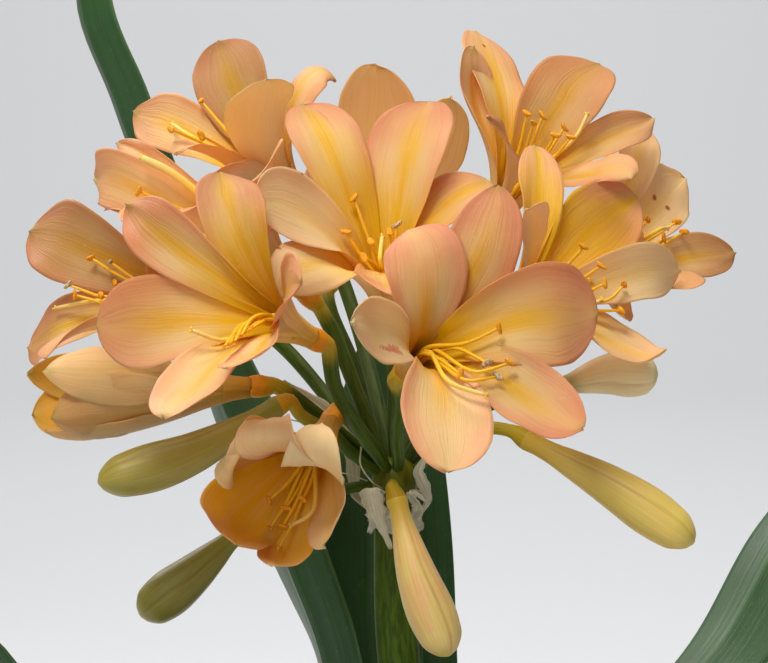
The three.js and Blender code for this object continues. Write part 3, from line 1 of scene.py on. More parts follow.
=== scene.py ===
import bpy
import numpy as np
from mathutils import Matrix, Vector


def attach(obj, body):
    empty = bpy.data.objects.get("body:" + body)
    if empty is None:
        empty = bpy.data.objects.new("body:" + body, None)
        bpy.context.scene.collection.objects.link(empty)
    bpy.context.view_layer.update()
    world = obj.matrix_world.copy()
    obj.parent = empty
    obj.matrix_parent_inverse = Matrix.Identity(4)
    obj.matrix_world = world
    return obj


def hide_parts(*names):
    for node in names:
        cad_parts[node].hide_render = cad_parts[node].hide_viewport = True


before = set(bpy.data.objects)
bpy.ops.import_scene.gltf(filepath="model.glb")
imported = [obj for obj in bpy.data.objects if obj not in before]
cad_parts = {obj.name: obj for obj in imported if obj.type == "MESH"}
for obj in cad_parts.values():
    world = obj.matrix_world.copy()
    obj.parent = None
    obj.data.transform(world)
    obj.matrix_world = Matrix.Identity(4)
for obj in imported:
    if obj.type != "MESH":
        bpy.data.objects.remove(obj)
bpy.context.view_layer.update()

# tepal: inner, azimuth, length, half width, four leans, sideways bend, twist, cupping at 0.7 and the tip
FLOWERS = {
    "F1": {"origin": [4.78, -45.14, 466.91], "axis": [0.3995, -0.7962, 0.4543], "tepals": [[0, 58.85, 65.95, 9.65, 18.45, 64.87, 101.22, 103.09, 3.39, -29.84, 0.45, 0.25], [1, 4.86, 65.49, 14.73, 18.1, 71.35, 110.28, 87.78, -1.45, 28.09, 0.45, 0.25], [0, -46.18, 64.18, 11.34, 22.03, 70.78, 58.39, 19.9, -18.45, 5.4, 0.45, 0.25], [1, -110.19, 61.81, 13.28, 21.42, 70.16, 70.51, 79.18, 2.18, 7.52, 0.45, 0.25], [0, -181.6, 62.23, 9.4, 22.77, 56.8, 36.96, 65.54, 12.5, -20.3, 0.45, 0.25], [1, -254, 52.2, 11.3, 17, 52, 112, 160, -22, -32, 0.2, -0.2]], "names": ["a", "b", "c", "d", "e", "f"]},
    "F2": {"origin": [-21.42, -42.44, 476.23], "axis": [-0.6476, -0.6414, 0.4114], "tepals": [[1, 102.89, 63.45, 9.7, 22.6, 72.73, 109.34, 98.81, 44.64, 62.78, 0.45, 0.25], [0, 16.18, 48.51, 10.8, 20.82, 45.67, 53.59, 85.18, -16.91, 0.0, 0.45, 0.25], [1, -29.94, 57.41, 8.34, 25.4, 55.67, 32.56, 42.61, -37.18, -13.19, 0.45, 0.25], [0, -97.42, 64.78, 11.28, 25.33, 59.42, 42.45, 51.27, 41.51, -25.84, 0.45, 0.25], [1, -150.64, 63.9, 13.35, 21.55, 62.98, 79.31, 72.46, -20.51, -26.47, 0.45, 0.25], [0, -209.1, 73.56, 8.94, 20.4, 55.76, 104.85, 93.86, 8.14, 5.93, 0.45, 0.25]], "names": ["a", "f", "e", "d", "c", "b"]},
    "F3": {"origin": [0.9, -3.65, 474.87], "axis": [-0.1266, -0.322, 0.9382], "tepals": [[1, 58.71, 73.03, 13.16, 20.94, 41.99, 67.83, 90.91, 9.52, 0.48, 0.45, 0.25], [0, 12.51, 61.69, 8.47, 17.79, 66.64, 97.62, 110.02, 45.77, 33.84, 0.45, 0.25], [1, -79.51, 59.09, 12.09, 25.96, 86.5, 71.12, 91.54, -12.21, -18.66, 0.45, 0.25], [0, -139.74, 61.96, 9.24, 27.49, 64.49, 90.22, 155.34, 19.35, -67.12, -0.3, -0.8], [1, -182.22, 66.68, 12.36, 19.78, 41.46, 55.88, 81.37, 59.7, -77.22, 0.45, 0.25], [0, -240.87, 82.74, 10.43, 20.58, 41.61, 86.79, 100.41, -17.85, -0.48, 0.45, 0.25]], "names": ["b", "c", "f", "e", "d", "a"]},
    "F4": {"origin": [-23.95, 63.56, 501.28], "axis": [-0.5801, -0.3318, 0.7439], "tepals": [[1, 138.02, 70.74, 12.34, 16.48, 49.45, 73.59, 66.16, 9.57, 16.12, 0.45, 0.25], [0, 76.35, 57.77, 10.06, 18.82, 46.63, 95.95, 213.84, 1.63, 10.94, -0.3, -0.8], [1, 8.48, 66.14, 11.63, 15.62, 33.41, 59.19, 44.13, 0.46, -45.39, 0.45, 0.25], [0, -60.8, 62.77, 6.1, 17.33, 22.37, 42.61, 95.81, 5.8, -34.04, 0.45, 0.25], [1, -78.09, 57.32, 14.0, 16.97, 53.04, 58.28, 71.17, 33.41, -0.0, 0.45, 0.25], [0, -160.76, 78.18, 9.68, 19.15, 53.63, 91.17, 77.21, -27.19, -24.91, 0.45, 0.25]], "names": ["a", "e", "c", "d", "f", "b"]},
    "F5": {"origin": [-25.06, 19.75, 483.14], "axis": [-0.643, -0.3497, 0.6814], "tepals": [[0, 207.04, 93.91, 9.26, 15.64, 42.38, 115.43, 93.26, -39.21, -53.19, 0.45, 0.25], [1, 171, 84.4, 3.4, 16, 39, 85, 95, 5, -16.46, 0.45, 0.25], [0, 196, 70, 10.0, 15, 34, 74, 96, 10, 20, 0.4, 0.3], [1, 35.25, 66.16, 14.0, 17.99, 45.16, 61.7, 80.28, -50.01, 0.0, 0.45, 0.25], [0, -6.66, 65.39, 10.77, 21.18, 74.63, 67.66, 74.09, -19.5, -0.45, 0.45, 0.25], [1, -63, 72, 12.5, 10, 18, 60, 86, 12, -31, 0.45, 0.25]], "names": ["a", "b", "g", "h", "i", "e"]},
    "F6": {"origin": [-46.49, 53.52, 471.49], "axis": [-0.9325, -0.1684, 0.3196], "tepals": [[1, 150.04, 80.99, 13.09, 14.23, 26.39, 72.07, 55.73, 43.09, 10.2, 0.45, 0.25], [0, 53.23, 59.68, 10.8, 20.67, 67.49, 74.77, 87.09, -47.71, -0.0, 0.45, 0.25], [1, 9.03, 54.36, 14.0, 25.26, 81.33, 73.79, 89.71, -14.08, 0.0, 0.45, 0.25], [0, -62.55, 72.61, 6.99, 20.74, 31.57, 62.96, 94.07, 40.75, -38.08, 0.45, 0.25], [1, -121.64, 79.46, 10.71, 17.93, 45.39, 83.18, 71.44, -35.21, -5.68, 0.45, 0.25], [0, -188.08, 66.04, 10.66, 17.22, 72.09, 93.98, 102.04, -7.53, -7.97, 0.45, 0.25]], "names": ["a", "x", "y", "c", "b", "d"]},
    "F7": {"origin": [-39.64, -4.6, 457.71], "axis": [-0.989, -0.1466, -0.017], "tepals": [[1, 97, 58, 12.6, 17, 14, -5, -24, 0, 0, 0.9, 0.8], [0, 36, 61.5, 11.0, 17, 16, 7, -16, 0, 0, 0.9, 0.8], [1, -25, 59.5, 12.6, 17, 15, 5, -8, 0, 0, 0.9, 0.8], [0, -84, 61.5, 10.5, 18, 15, -4, -28, 0, 0, 0.9, 0.8], [1, -146, 64, 12.6, 16, 16, 6, 0, 0, 0, 0.9, 0.7], [0, 160, 65, 10.5, 16, 14, 4, -10, 0, 0, 0.9, 0.7]], "names": ["x", "a", "c", "d", "e", "b"]},
    "F8": {"origin": [-16.39, -20.28, 449.2], "axis": [-0.2625, -0.8598, -0.438], "tepals": [[0, 144, 53, 11, 27, 60, -60, 190, 0, 15, 0.45, 0.25], [1, 94.87, 57.69, 11.42, 22.26, 20.94, 73.31, 249.04, -0.97, -9.65, 0.45, 0.25], [0, 45.57, 60.01, 9.34, 20.0, 16.55, 88.13, 213.2, 40.0, 4.62, 0.45, 0.25], [1, -26.66, 51.03, 8.96, 17.8, 20.38, 0.11, 18.4, -12.06, -15.53, 0.45, 0.25], [0, -99.52, 60.94, 8.13, 16.38, 34.24, -35.5, -29.47, -9.09, 13.1, 0.45, 0.25], [1, -159, 60.8, 12.9, 22.42, 39.88, -37.75, -23.51, 9.04, 25.06, 0.45, 0.25]], "names": ["a", "b", "c", "f", "e", "d"]},
    "F9": {"origin": [29.12, 6.51, 470.36], "axis": [0.6677, -0.4105, 0.621], "tepals": [[0, 81.32, 68.82, 7.53, 23.03, 65.65, 87.14, 112.94, -41.7, -31.34, 0.45, 0.25], [1, 33.78, 68.03, 12.69, 19.88, 62.42, 66.97, 62.08, -28.6, 7.13, 0.45, 0.25], [0, -21.9, 71.8, 8.88, 19.4, 53.81, 95.64, 92.0, 19.99, 40.71, 0.45, 0.25], [1, -76.9, 57.75, 13.56, 19.99, 73.0, 56.22, -11.94, 2.55, -7.23, 0.45, 0.25], [0, -143.38, 56.25, 10.8, 22.9, 66.87, 64.31, 90.61, -3.46, -0.0, 0.45, 0.25], [1, -215.65, 61.63, 7.72, 17.41, 44.22, 42.98, 77.11, 23.88, -73.58, 0.45, 0.25]], "names": ["c", "a", "b", "e", "f", "d"]},
    "F10": {"origin": [30.39, 47.8, 497.19], "axis": [0.4252, -0.2384, 0.8731], "tepals": [[0, 76.3, 75.47, 10.86, 21.89, 59.4, 76.96, 100.12, -29.09, 2.51, 0.12, 0.05], [1, 23.85, 71.99, 12.7, 14.97, 34.07, 68.66, 83.68, -20.13, -3.96, 0.45, 0.25], [0, -35.79, 75.82, 6.73, 20.43, 58.5, 84.09, 81.06, 44.58, 36.37, 0.45, 0.25], [1, -86.07, 55.8, 9.6, 18, 49, 48, 112, -15, 38.54, 0.12, 0.08], [0, -170.48, 59.65, 3.83, 18.25, 51.12, 62.92, 79.63, -23.93, -44.67, 0.45, 0.25], [1, -252.9, 59.85, 10.7, 22.13, 61.53, 30.84, 48.57, -47.25, 15.34, 0.55, 0.4]], "names": ["a", "c", "e", "f", "d", "b"]},
    "F11": {"origin": [52.45, 65.04, 472.81], "axis": [0.656, -0.3371, 0.6753], "tepals": [[0, 66.55, 81.6, 7.52, 19.25, 52.59, 97.47, 97.29, -53.99, -9.83, 0.45, 0.25], [1, 22.36, 72.75, 10.2, 15.3, 57.2, 95.85, 58.97, -12.31, 19.18, 0.45, 0.25], [0, -36.55, 68.72, 7.89, 19.74, 58.82, 80.27, 89.93, 31.69, 23.57, 0.45, 0.25], [1, -112.25, 58.37, 13.7, 17.12, 36.83, 69.48, 100.86, -40.12, 28.83, 0.45, 0.25], [0, -154.34, 54.79, 10.13, 22.6, 86.09, 69.56, 63.6, 9.07, -13.53, 0.45, 0.25], [1, -214.05, 59.54, 14.01, 15.44, 29.8, 58.82, 80.24, 36.27, 0.11, 0.45, 0.25]], "names": ["c", "a", "b", "x", "y", "z"]},
    "F12": {"origin": [-16.14, 71.47, 484.01], "axis": [0.3822, 0.5149, 0.7673], "tepals": [[1, 109, 69, 14.4, 14, 44, 56, 66, -6, 0, 0.3, 0.3], [0, 169.4, 71.3, 9.8, 26, 63, 49.5, 89.5, -55, 0, 0.3, 0.3], [1, 244.14, 72.6, 14.0, 14.66, 27.47, 69.82, 89.67, 58.15, -0.0, 0.45, 0.25], [0, 285.39, 65.06, 10.8, 20.15, 64.92, 65.1, 73.1, 12.72, 0.0, 0.45, 0.25], [1, 342.39, 68.99, 14.0, 18.28, 59.72, 87.51, 95.95, -28.06, -0.0, 0.45, 0.25], [0, 379.02, 69.94, 10.8, 16.32, 27.47, 47.88, 69.94, -57.77, -0.0, 0.45, 0.25]], "names": ["a", "b", "x", "y", "z", "w"]},
}
# hub, six filaments and the style of each flower
STAMENS = {
    "F1": {"hub": [[6.62, -48.8, 469.0], [7.33, -50.23, 469.82]], "filaments": [[[6.82, -49.16, 470.39], [10.61, -56.54, 474.91], [20.94, -63.12, 476.82], [29.74, -65.14, 481.09]], [[6.1, -49.78, 469.94], [10.26, -57.27, 473.96], [13.38, -61.82, 472.65], [16.34, -64.7, 471.85]], [[7.93, -49.41, 468.97], [12.25, -56.78, 472.94], [18.01, -61.56, 475.29], [26.41, -69.42, 472.12]], [[7.21, -50.03, 468.52], [11.04, -57.77, 472.44], [21.02, -75.81, 468.15], [29.12, -72.57, 468.87]], [[7.73, -48.98, 469.9], [11.81, -56.27, 474.27], [23.32, -74.38, 470.28], [32.52, -70.46, 472.24]], [[6.3, -50.21, 469.0], [9.54, -57.99, 473.28], [12.95, -63.15, 472.93], [19.14, -73.76, 469.58]]], "style": [[7.02, -49.6, 469.45], [10.8, -57.05, 473.83], [16.47, -76.93, 467.69], [25.5, -81.9, 465.06]]},
    "F2": {"hub": [[-24.4, -45.39, 478.12], [-25.57, -46.55, 478.86]], "filaments": [[[-25.56, -46.11, 477.62], [-31.75, -52.07, 482.36], [-39.77, -66.61, 481.03], [-43.34, -81.99, 477.74]], [[-25.84, -45.38, 478.32], [-31.26, -52.68, 482.08], [-39.84, -65.11, 481.66], [-41.91, -78.33, 478.28]], [[-25.33, -45.31, 479.24], [-30.93, -52.97, 482.01], [-38.07, -64.54, 482.39], [-40.7, -76.23, 478.72]], [[-24.77, -46.77, 477.83], [-31.25, -52.2, 482.8], [-36.38, -63.29, 483.69], [-39.15, -72.5, 479.89]], [[-24.54, -45.97, 479.45], [-31.92, -52.71, 480.91], [-35.31, -61.73, 482.25], [-37.99, -69.59, 480.63]], [[-24.26, -46.7, 478.75], [-32.42, -51.79, 481.88], [-34.37, -60.96, 482.16], [-36.64, -67.47, 481.27]]], "style": [[-25.05, -46.04, 478.54], [-30.81, -52.23, 483.23], [-44.1, -61.24, 477.41], [-52.79, -65.25, 480.4]]},
    "F3": {"hub": [[0.31, -5.13, 479.19], [0.09, -5.71, 480.88]], "filaments": [[[0.17, -4.46, 480.46], [-1.04, -6.87, 489.49], [-5.99, -6.85, 501.78], [-9.76, -6.12, 512.41]], [[-0.7, -5.93, 479.84], [-2.43, -9.24, 488.49], [-7.8, -11.68, 496.32], [-11.98, -13.15, 503.16]], [[-0.73, -4.93, 480.18], [-1.99, -7.94, 489.07], [-3.87, -9.5, 494.98], [-4.87, -10.68, 500.12]], [[1.08, -4.97, 480.41], [0.06, -7.91, 489.31], [0.42, -9.07, 496.66], [0.55, -9.79, 502.92]], [[1.1, -5.97, 480.07], [0.48, -9.31, 488.86], [1.52, -9.77, 497.47], [2.55, -9.67, 504.91]], [[0.21, -6.44, 479.79], [-0.82, -9.73, 488.74], [-4.1, -18.84, 494.52], [-6.77, -29.49, 497.09]]], "style": [[0.19, -5.45, 480.13], [-0.98, -7.76, 489.55], [-2.26, -30.84, 496.49], [-1.73, -9.12, 501.43]]},
    "F4": {"hub": [[-26.62, 62.04, 504.7], [-27.66, 61.44, 506.04]], "filaments": [[[-27.57, 62.68, 505.59], [-32.77, 59.18, 512.86], [-46.86, 59.89, 526.09], [-57.55, 64.09, 538.01]], [[-28.05, 62.03, 504.92], [-32.99, 60.1, 513.1], [-50.13, 44.32, 523.17], [-64.33, 27.39, 530.82]], [[-27.68, 61.06, 504.78], [-33.0, 60.37, 513.1], [-45.96, 45.36, 522.2], [-55.43, 27.83, 528.95]], [[-26.83, 60.73, 505.3], [-32.07, 57.05, 512.21], [-40.25, 48.73, 520.79], [-45.59, 42.73, 528.88]], [[-26.34, 61.38, 505.97], [-31.41, 58.11, 513.18], [-37.99, 51.77, 523.9], [-42.14, 47.38, 533.65]], [[-26.71, 62.36, 506.11], [-32.03, 59.46, 513.35], [-39.7, 56.3, 524.58], [-44.78, 54.32, 534.68]]], "style": [[-27.2, 61.71, 505.44], [-31.82, 60.81, 513.25], [-56.26, 37.91, 526.73], [-66.71, 66.41, 530.83]]},
    "F5": {"hub": [[-28.01, 18.14, 486.28], [-29.17, 17.51, 487.5]], "filaments": [[[-29.46, 18.01, 486.31], [-34.35, 15.59, 494.34], [-54.73, 3.29, 506.23], [-71.23, -8.03, 514.47]], [[-28.99, 17.07, 486.27], [-34.65, 14.54, 493.51], [-44.44, 9.4, 499.68], [-52.39, 2.0, 505.15]], [[-28.19, 16.85, 486.92], [-34.09, 13.41, 493.4], [-42.84, 5.05, 501.36], [-48.52, -1.53, 508.78]], [[-27.86, 17.58, 487.6], [-33.41, 14.16, 494.41], [-41.23, 7.93, 504.34], [-46.15, 3.63, 513.66]], [[-28.33, 18.52, 487.64], [-34.21, 15.38, 494.33], [-43.42, 12.3, 504.53], [-49.5, 10.34, 513.95]], [[-29.13, 18.73, 487.0], [-35.12, 15.18, 493.43], [-47.15, 13.29, 501.51], [-55.22, 11.87, 509.34]]], "style": [[-28.66, 17.79, 486.96], [-34.7, 14.51, 493.36], [-63.02, 10.79, 518.67], [-71.85, 12.27, 522.97]]},
    "F6": {"hub": [[-50.78, 52.75, 472.96], [-52.45, 52.45, 473.54]], "filaments": [[[-51.52, 53.15, 474.15], [-60.24, 51.78, 477.42], [-78.76, 53.63, 483.07], [-91.13, 55.54, 490.16]], [[-52.09, 53.05, 472.42], [-61.09, 51.75, 474.89], [-83.18, 52.33, 477.16], [-98.06, 53.38, 482.03]], [[-51.9, 52.01, 472.42], [-60.76, 50.19, 475.08], [-81.71, 50.91, 475.63], [-95.83, 52.14, 479.06]], [[-51.52, 51.55, 473.29], [-60.17, 49.33, 476.29], [-76.67, 50.31, 476.62], [-87.81, 51.55, 479.12]], [[-51.89, 53.62, 473.28], [-60.73, 52.03, 476.32], [-74.43, 52.49, 478.77], [-83.59, 52.72, 482.7]], [[-51.33, 52.12, 474.15], [-59.86, 50.25, 477.68], [-75.1, 52.16, 482.7], [-85.19, 54.16, 489.04]]], "style": [[-51.71, 52.58, 473.28], [-60.47, 51.0, 476.29], [-86.53, 50.79, 477.65], [-102.9, 63.49, 473.96]]},
    "F7": {"hub": [[-44.19, -5.28, 457.63], [-45.97, -5.54, 457.6]], "filaments": [[[-45.28, -4.8, 458.45], [-54.64, -5.82, 458.78], [-70.75, -7.68, 457.57], [-81.5, -8.86, 459.55]], [[-45.33, -4.39, 457.48], [-54.7, -5.33, 457.26], [-70.86, -6.7, 455.25], [-81.64, -7.62, 456.6]], [[-45.22, -5.02, 456.65], [-54.54, -6.19, 455.98], [-70.6, -8.2, 453.23], [-81.31, -9.52, 454.05]], [[-45.07, -6.05, 456.77], [-54.3, -7.81, 456.09], [-70.24, -10.68, 453.54], [-80.85, -12.66, 454.44]], [[-45.02, -6.46, 457.74], [-54.23, -8.47, 457.66], [-70.13, -11.66, 455.86], [-80.72, -13.9, 457.38]], [[-45.13, -5.83, 458.58], [-54.4, -7.45, 458.97], [-70.39, -10.16, 457.88], [-81.04, -12.01, 459.94]]], "style": [[-45.18, -5.43, 457.61], [-54.47, -6.8, 457.45], [-69.31, -9.0, 457.2], [-85.13, -11.35, 456.92]]},
    "F8": {"hub": [[-17.59, -24.23, 447.19], [-18.07, -25.78, 446.4]], "filaments": [[[-18.39, -25.37, 447.61], [-21.18, -33.63, 444.03], [-27.97, -40.15, 435.16], [-33.04, -43.89, 430.94]], [[-18.34, -24.56, 445.99], [-21.1, -32.31, 441.4], [-25.33, -39.19, 432.86], [-28.35, -43.38, 428.62]], [[-16.84, -25.35, 446.65], [-19.29, -33.45, 442.31], [-21.6, -40.44, 435.01], [-23.59, -44.74, 431.36]], [[-18.87, -24.84, 446.85], [-21.96, -32.76, 442.79], [-28.2, -41.67, 430.09], [-32.68, -46.92, 423.6]], [[-17.38, -25.63, 447.51], [-19.76, -33.9, 443.58], [-25.13, -41.81, 430.9], [-29.11, -46.21, 424.04]], [[-17.33, -24.82, 445.89], [-19.46, -32.73, 441.24], [-25.72, -43.63, 426.27], [-30.1, -50.16, 418.57]]], "style": [[-17.86, -25.09, 446.75], [-20.32, -33.18, 442.63], [-21.04, -47.78, 428.22], [-26.59, -46.95, 424.45]]},
    "F9": {"hub": [[32.19, 4.62, 473.22], [33.39, 3.88, 474.33]], "filaments": [[[33.48, 5.04, 473.71], [39.9, 1.55, 479.72], [62.96, -3.6, 482.67], [68.4, 1.35, 486.71]], [[33.57, 4.21, 473.07], [39.56, -0.34, 479.37], [61.22, -3.88, 479.74], [67.19, -2.96, 479.69]], [[32.23, 3.37, 473.96], [38.52, -0.53, 479.86], [49.66, -10.04, 484.17], [57.5, -16.45, 489.08]], [[32.95, 3.38, 473.19], [39.28, -0.99, 478.63], [52.65, -6.76, 483.12], [61.99, -10.5, 488.19]], [[32.77, 5.03, 474.48], [38.99, 1.68, 480.71], [52.16, -2.31, 486.59], [61.34, -4.61, 492.78]], [[32.14, 4.2, 474.6], [38.68, 0.29, 480.26], [48.86, -2.94, 489.71], [56.22, -4.66, 498.25]]], "style": [[32.86, 4.21, 473.84], [39.13, 0.35, 479.67], [58.18, -4.76, 481.48], [61.37, -4.34, 482.88]]},
    "F10": {"hub": [[32.35, 46.71, 501.21], [33.12, 46.28, 502.78]], "filaments": [[[31.86, 46.64, 502.57], [35.37, 44.48, 511.04], [39.43, 41.17, 523.84], [41.82, 38.98, 535.03]], [[32.09, 45.68, 502.2], [35.67, 42.97, 510.48], [40.47, 36.71, 522.11], [43.42, 32.15, 532.39]], [[33.0, 45.51, 501.71], [37.1, 42.83, 509.75], [44.72, 35.9, 519.82], [49.93, 30.91, 528.88]], [[33.69, 46.29, 501.59], [38.25, 43.95, 509.49], [47.93, 39.55, 519.26], [54.84, 36.51, 528.01]], [[33.46, 47.25, 501.96], [37.76, 45.32, 510.13], [46.88, 44.0, 520.98], [53.25, 43.34, 530.66]], [[32.55, 47.42, 502.45], [36.5, 45.45, 510.79], [42.63, 44.81, 523.27], [46.74, 44.58, 534.17]]], "style": [[32.78, 46.47, 502.08], [36.77, 44.23, 510.29], [56.43, 42.15, 527.54], [60.17, 44.69, 534.37]]},
    "F11": {"hub": [[55.47, 63.49, 475.91], [56.65, 62.88, 477.13]], "filaments": [[[56.13, 64.09, 477.05], [61.86, 60.25, 484.19], [77.14, 61.16, 493.09], [89.59, 66.21, 500.53]], [[56.82, 63.88, 476.28], [62.33, 59.13, 482.79], [79.08, 61.13, 490.37], [91.89, 66.35, 497.42]], [[55.43, 62.42, 476.9], [61.28, 58.88, 483.39], [72.24, 50.35, 489.2], [79.73, 44.25, 495.16]], [[56.11, 62.21, 476.13], [62.27, 58.46, 482.19], [75.46, 53.06, 487.42], [84.66, 49.45, 492.96]], [[56.81, 62.94, 475.82], [63.39, 59.63, 481.69], [75.99, 57.3, 489.02], [84.74, 56.18, 496.26]], [[55.44, 63.37, 477.36], [61.55, 60.11, 483.74], [72.31, 58.46, 493.17], [79.87, 57.72, 501.75]]], "style": [[56.12, 63.15, 476.59], [62.26, 62.15, 483.09], [79.92, 35.76, 499.33], [86.64, 62.95, 498.86]]},
    "F12": {"hub": [[-14.39, 73.83, 487.54], [-13.7, 74.76, 488.92]], "filaments": [[[-13.68, 73.45, 488.75], [-9.94, 77.97, 496.16], [-2.77, 83.29, 507.01], [2.17, 86.64, 516.83]], [[-13.05, 73.97, 488.09], [-8.93, 78.6, 495.19], [0.18, 85.7, 503.93], [6.69, 90.33, 512.11]], [[-13.37, 74.86, 487.65], [-9.6, 79.8, 494.72], [-2.18, 89.04, 502.88], [4.3, 96.63, 509.07]], [[-14.33, 75.25, 487.87], [-10.87, 80.41, 495.01], [-5.55, 90.58, 503.81], [-2.4, 99.33, 510.63]], [[-14.96, 74.73, 488.53], [-11.95, 79.81, 495.88], [-8.7, 89.25, 505.98], [-6.93, 95.77, 515.24]], [[-14.64, 73.83, 488.97], [-11.25, 78.53, 496.44], [-7.21, 85.06, 508.04], [-4.64, 89.37, 518.4]]], "style": [[-14.0, 74.35, 488.31], [-10.41, 79.19, 495.52], [-4.68, 86.91, 507.03], [2.97, 97.21, 519.38]]},
}
# centre line of each stalk, from the head of the stem
STALKS = {
    "F1": [[2.9, -6.28, 435.35], [2.97, -9.9, 438.48], [2.81, -13.93, 442.04], [2.63, -18.25, 445.98], [2.78, -22.71, 450.31], [3.25, -27.17, 454.79], [3.28, -31.55, 458.67], [2.58, -35.74, 461.52], [1.98, -39.56, 463.73]],
    "F2": [[-0.99, -5.89, 435.03], [-3.26, -9.62, 438.88], [-6.05, -13.65, 443.31], [-8.83, -17.89, 448.1], [-11.14, -22.25, 452.78], [-13.42, -26.63, 457.11], [-15.28, -30.78, 462.03], [-16.14, -34.55, 467.9], [-16.89, -37.95, 473.35]],
    "F3": [[1.95, -0.3, 438.29], [1.95, -0.38, 441.58], [1.97, -0.42, 445.26], [1.99, -0.45, 449.23], [2.01, -0.5, 453.34], [2.02, -0.59, 457.44], [1.98, -0.75, 461.39], [1.91, -1.01, 465.05], [1.78, -1.39, 468.3]],
    "F4": [[0.63, 5.28, 436.26], [-1.13, 12.06, 442.93], [-3.04, 20.19, 450.04], [-5.14, 29.18, 457.52], [-7.48, 38.42, 465.23], [-10.09, 47.3, 473.06], [-13.0, 55.22, 480.89], [-16.26, 61.57, 488.59], [-19.89, 65.89, 496.07]],
    "F5": [[-1.73, 2.26, 437.06], [-3.86, 4.32, 441.62], [-6.05, 7.0, 446.69], [-8.31, 10.08, 452.12], [-10.62, 13.29, 457.74], [-13.01, 16.36, 463.35], [-15.46, 19.04, 468.78], [-17.97, 21.05, 473.83], [-20.56, 22.2, 478.37]],
    "F6": [[-2.74, 5.36, 434.2], [-6.75, 10.85, 438.09], [-10.9, 17.37, 442.42], [-15.23, 24.54, 447.07], [-19.74, 31.93, 451.87], [-24.45, 39.08, 456.65], [-29.38, 45.54, 461.25], [-34.55, 50.86, 465.49], [-39.96, 54.7, 469.26]],
    "F7": [[-4.49, 0.17, 435.17], [-7.51, -0.04, 437.73], [-10.73, -0.39, 440.61], [-13.88, -0.88, 443.43], [-16.89, -1.49, 446.02], [-20.34, -2.1, 448.91], [-24.58, -2.63, 452.39], [-28.9, -3.11, 455.6], [-32.71, -3.58, 457.83]],
    "F8": [[-2.1, -2.55, 436.75], [-3.43, -3.55, 438.71], [-4.94, -4.7, 440.92], [-6.58, -6.02, 443.27], [-8.3, -7.46, 445.61], [-10.01, -9.03, 447.82], [-11.67, -10.69, 449.75], [-13.2, -12.44, 451.27], [-14.55, -14.26, 452.27]],
    "F9": [[6.27, 1.4, 436.98], [8.21, 2.28, 440.19], [10.34, 3.45, 443.79], [12.63, 4.79, 447.66], [15.01, 6.16, 451.66], [17.44, 7.44, 455.63], [19.86, 8.48, 459.44], [22.21, 9.16, 462.94], [24.44, 9.38, 466.01]],
    "F10": [[4.55, 4.86, 436.23], [6.97, 9.96, 442.15], [9.61, 15.99, 448.62], [12.42, 22.61, 455.53], [15.36, 29.38, 462.71], [18.38, 35.87, 470.02], [21.43, 41.65, 477.28], [24.46, 46.3, 484.35], [27.42, 49.47, 491.08]],
    "F11": [[6.41, 6.32, 433.08], [10.86, 13.41, 436.51], [15.61, 21.7, 440.26], [20.63, 30.74, 444.32], [25.86, 39.95, 448.66], [31.25, 48.77, 453.24], [36.75, 56.64, 458.03], [42.3, 63.0, 462.99], [47.86, 67.4, 468.08]],
    "F12": [[0.34, 7.53, 433.08], [-1.71, 14.66, 437.02], [-4.01, 22.35, 441.35], [-6.13, 30.4, 446.25], [-8.48, 38.73, 453.01], [-11.76, 47.03, 461.14], [-15.33, 54.79, 468.06], [-17.84, 61.76, 473.49], [-18.82, 67.86, 478.64]],
    "B1": [[-4.5, -3.51, 433.79], [-7.72, -4.71, 436.07], [-10.97, -5.83, 438.89], [-13.78, -6.8, 441.88], [-16.35, -7.66, 444.64], [-19.15, -8.48, 446.63], [-22.21, -9.29, 448.08], [-25.29, -10.19, 450.34], [-28.28, -11.26, 454.45]],
    "B2": [[-5.86, 1.56, 427.83], [-9.69, 2.95, 427.25], [-14.52, 3.44, 426.18], [-20.24, 3.49, 424.85], [-25.65, 3.43, 423.44], [-29.73, 3.2, 421.93], [-33.15, 2.87, 420.35], [-36.68, 2.63, 418.78], [-40.12, 2.46, 417.21]],
    "B3": [[1.64, -8.29, 429.98], [1.6, -9.14, 430.01], [1.53, -10.09, 430.08], [1.46, -11.06, 430.16], [1.43, -11.94, 430.21], [1.44, -12.72, 430.2], [1.42, -13.64, 430.15], [1.36, -14.81, 430.06], [1.34, -15.94, 429.86]],
    "B4": [[9.21, -0.99, 433.99], [12.23, -1.2, 437.24], [15.52, -1.63, 438.95], [19.0, -2.16, 440.0], [22.51, -2.6, 441.65], [25.96, -2.96, 443.98], [29.55, -3.48, 445.47], [33.29, -4.28, 445.35], [36.8, -5.17, 444.44]],
    "B5": [[8.57, 2.9, 434.16], [11.55, 4.89, 437.18], [15.34, 6.85, 440.61], [20.63, 8.41, 444.39], [26.88, 9.77, 448.57], [32.73, 10.9, 451.9], [37.74, 11.51, 453.27], [42.25, 11.85, 453.9], [46.5, 12.2, 454.88]],
}
# closed buds
BUDS = {
    "B1": {"base": [-30.97, -12.0, 453.37], "tip": [-82.07, -26.0, 432.94]},
    "B2": {"base": [-42.4, 2.0, 415.31], "tip": [-72.25, -4.0, 390.37]},
    "B3": {"base": [2.27, -17.0, 427.21], "tip": [17.17, -34.0, 384.88]},
    "B4": {"base": [39.29, -6.0, 442.99], "tip": [87.12, -22.0, 415.05]},
    "B5": {"base": [49.46, 12.0, 455.32], "tip": [79.26, 10.0, 459.71]},
}
BEND = {"B1": [0, -1, -3.0], "B2": [0, 0, -1], "B3": [-1.5, 0, 0], "B4": [0, 0, 1.5], "B5": [0, 0, 2]}
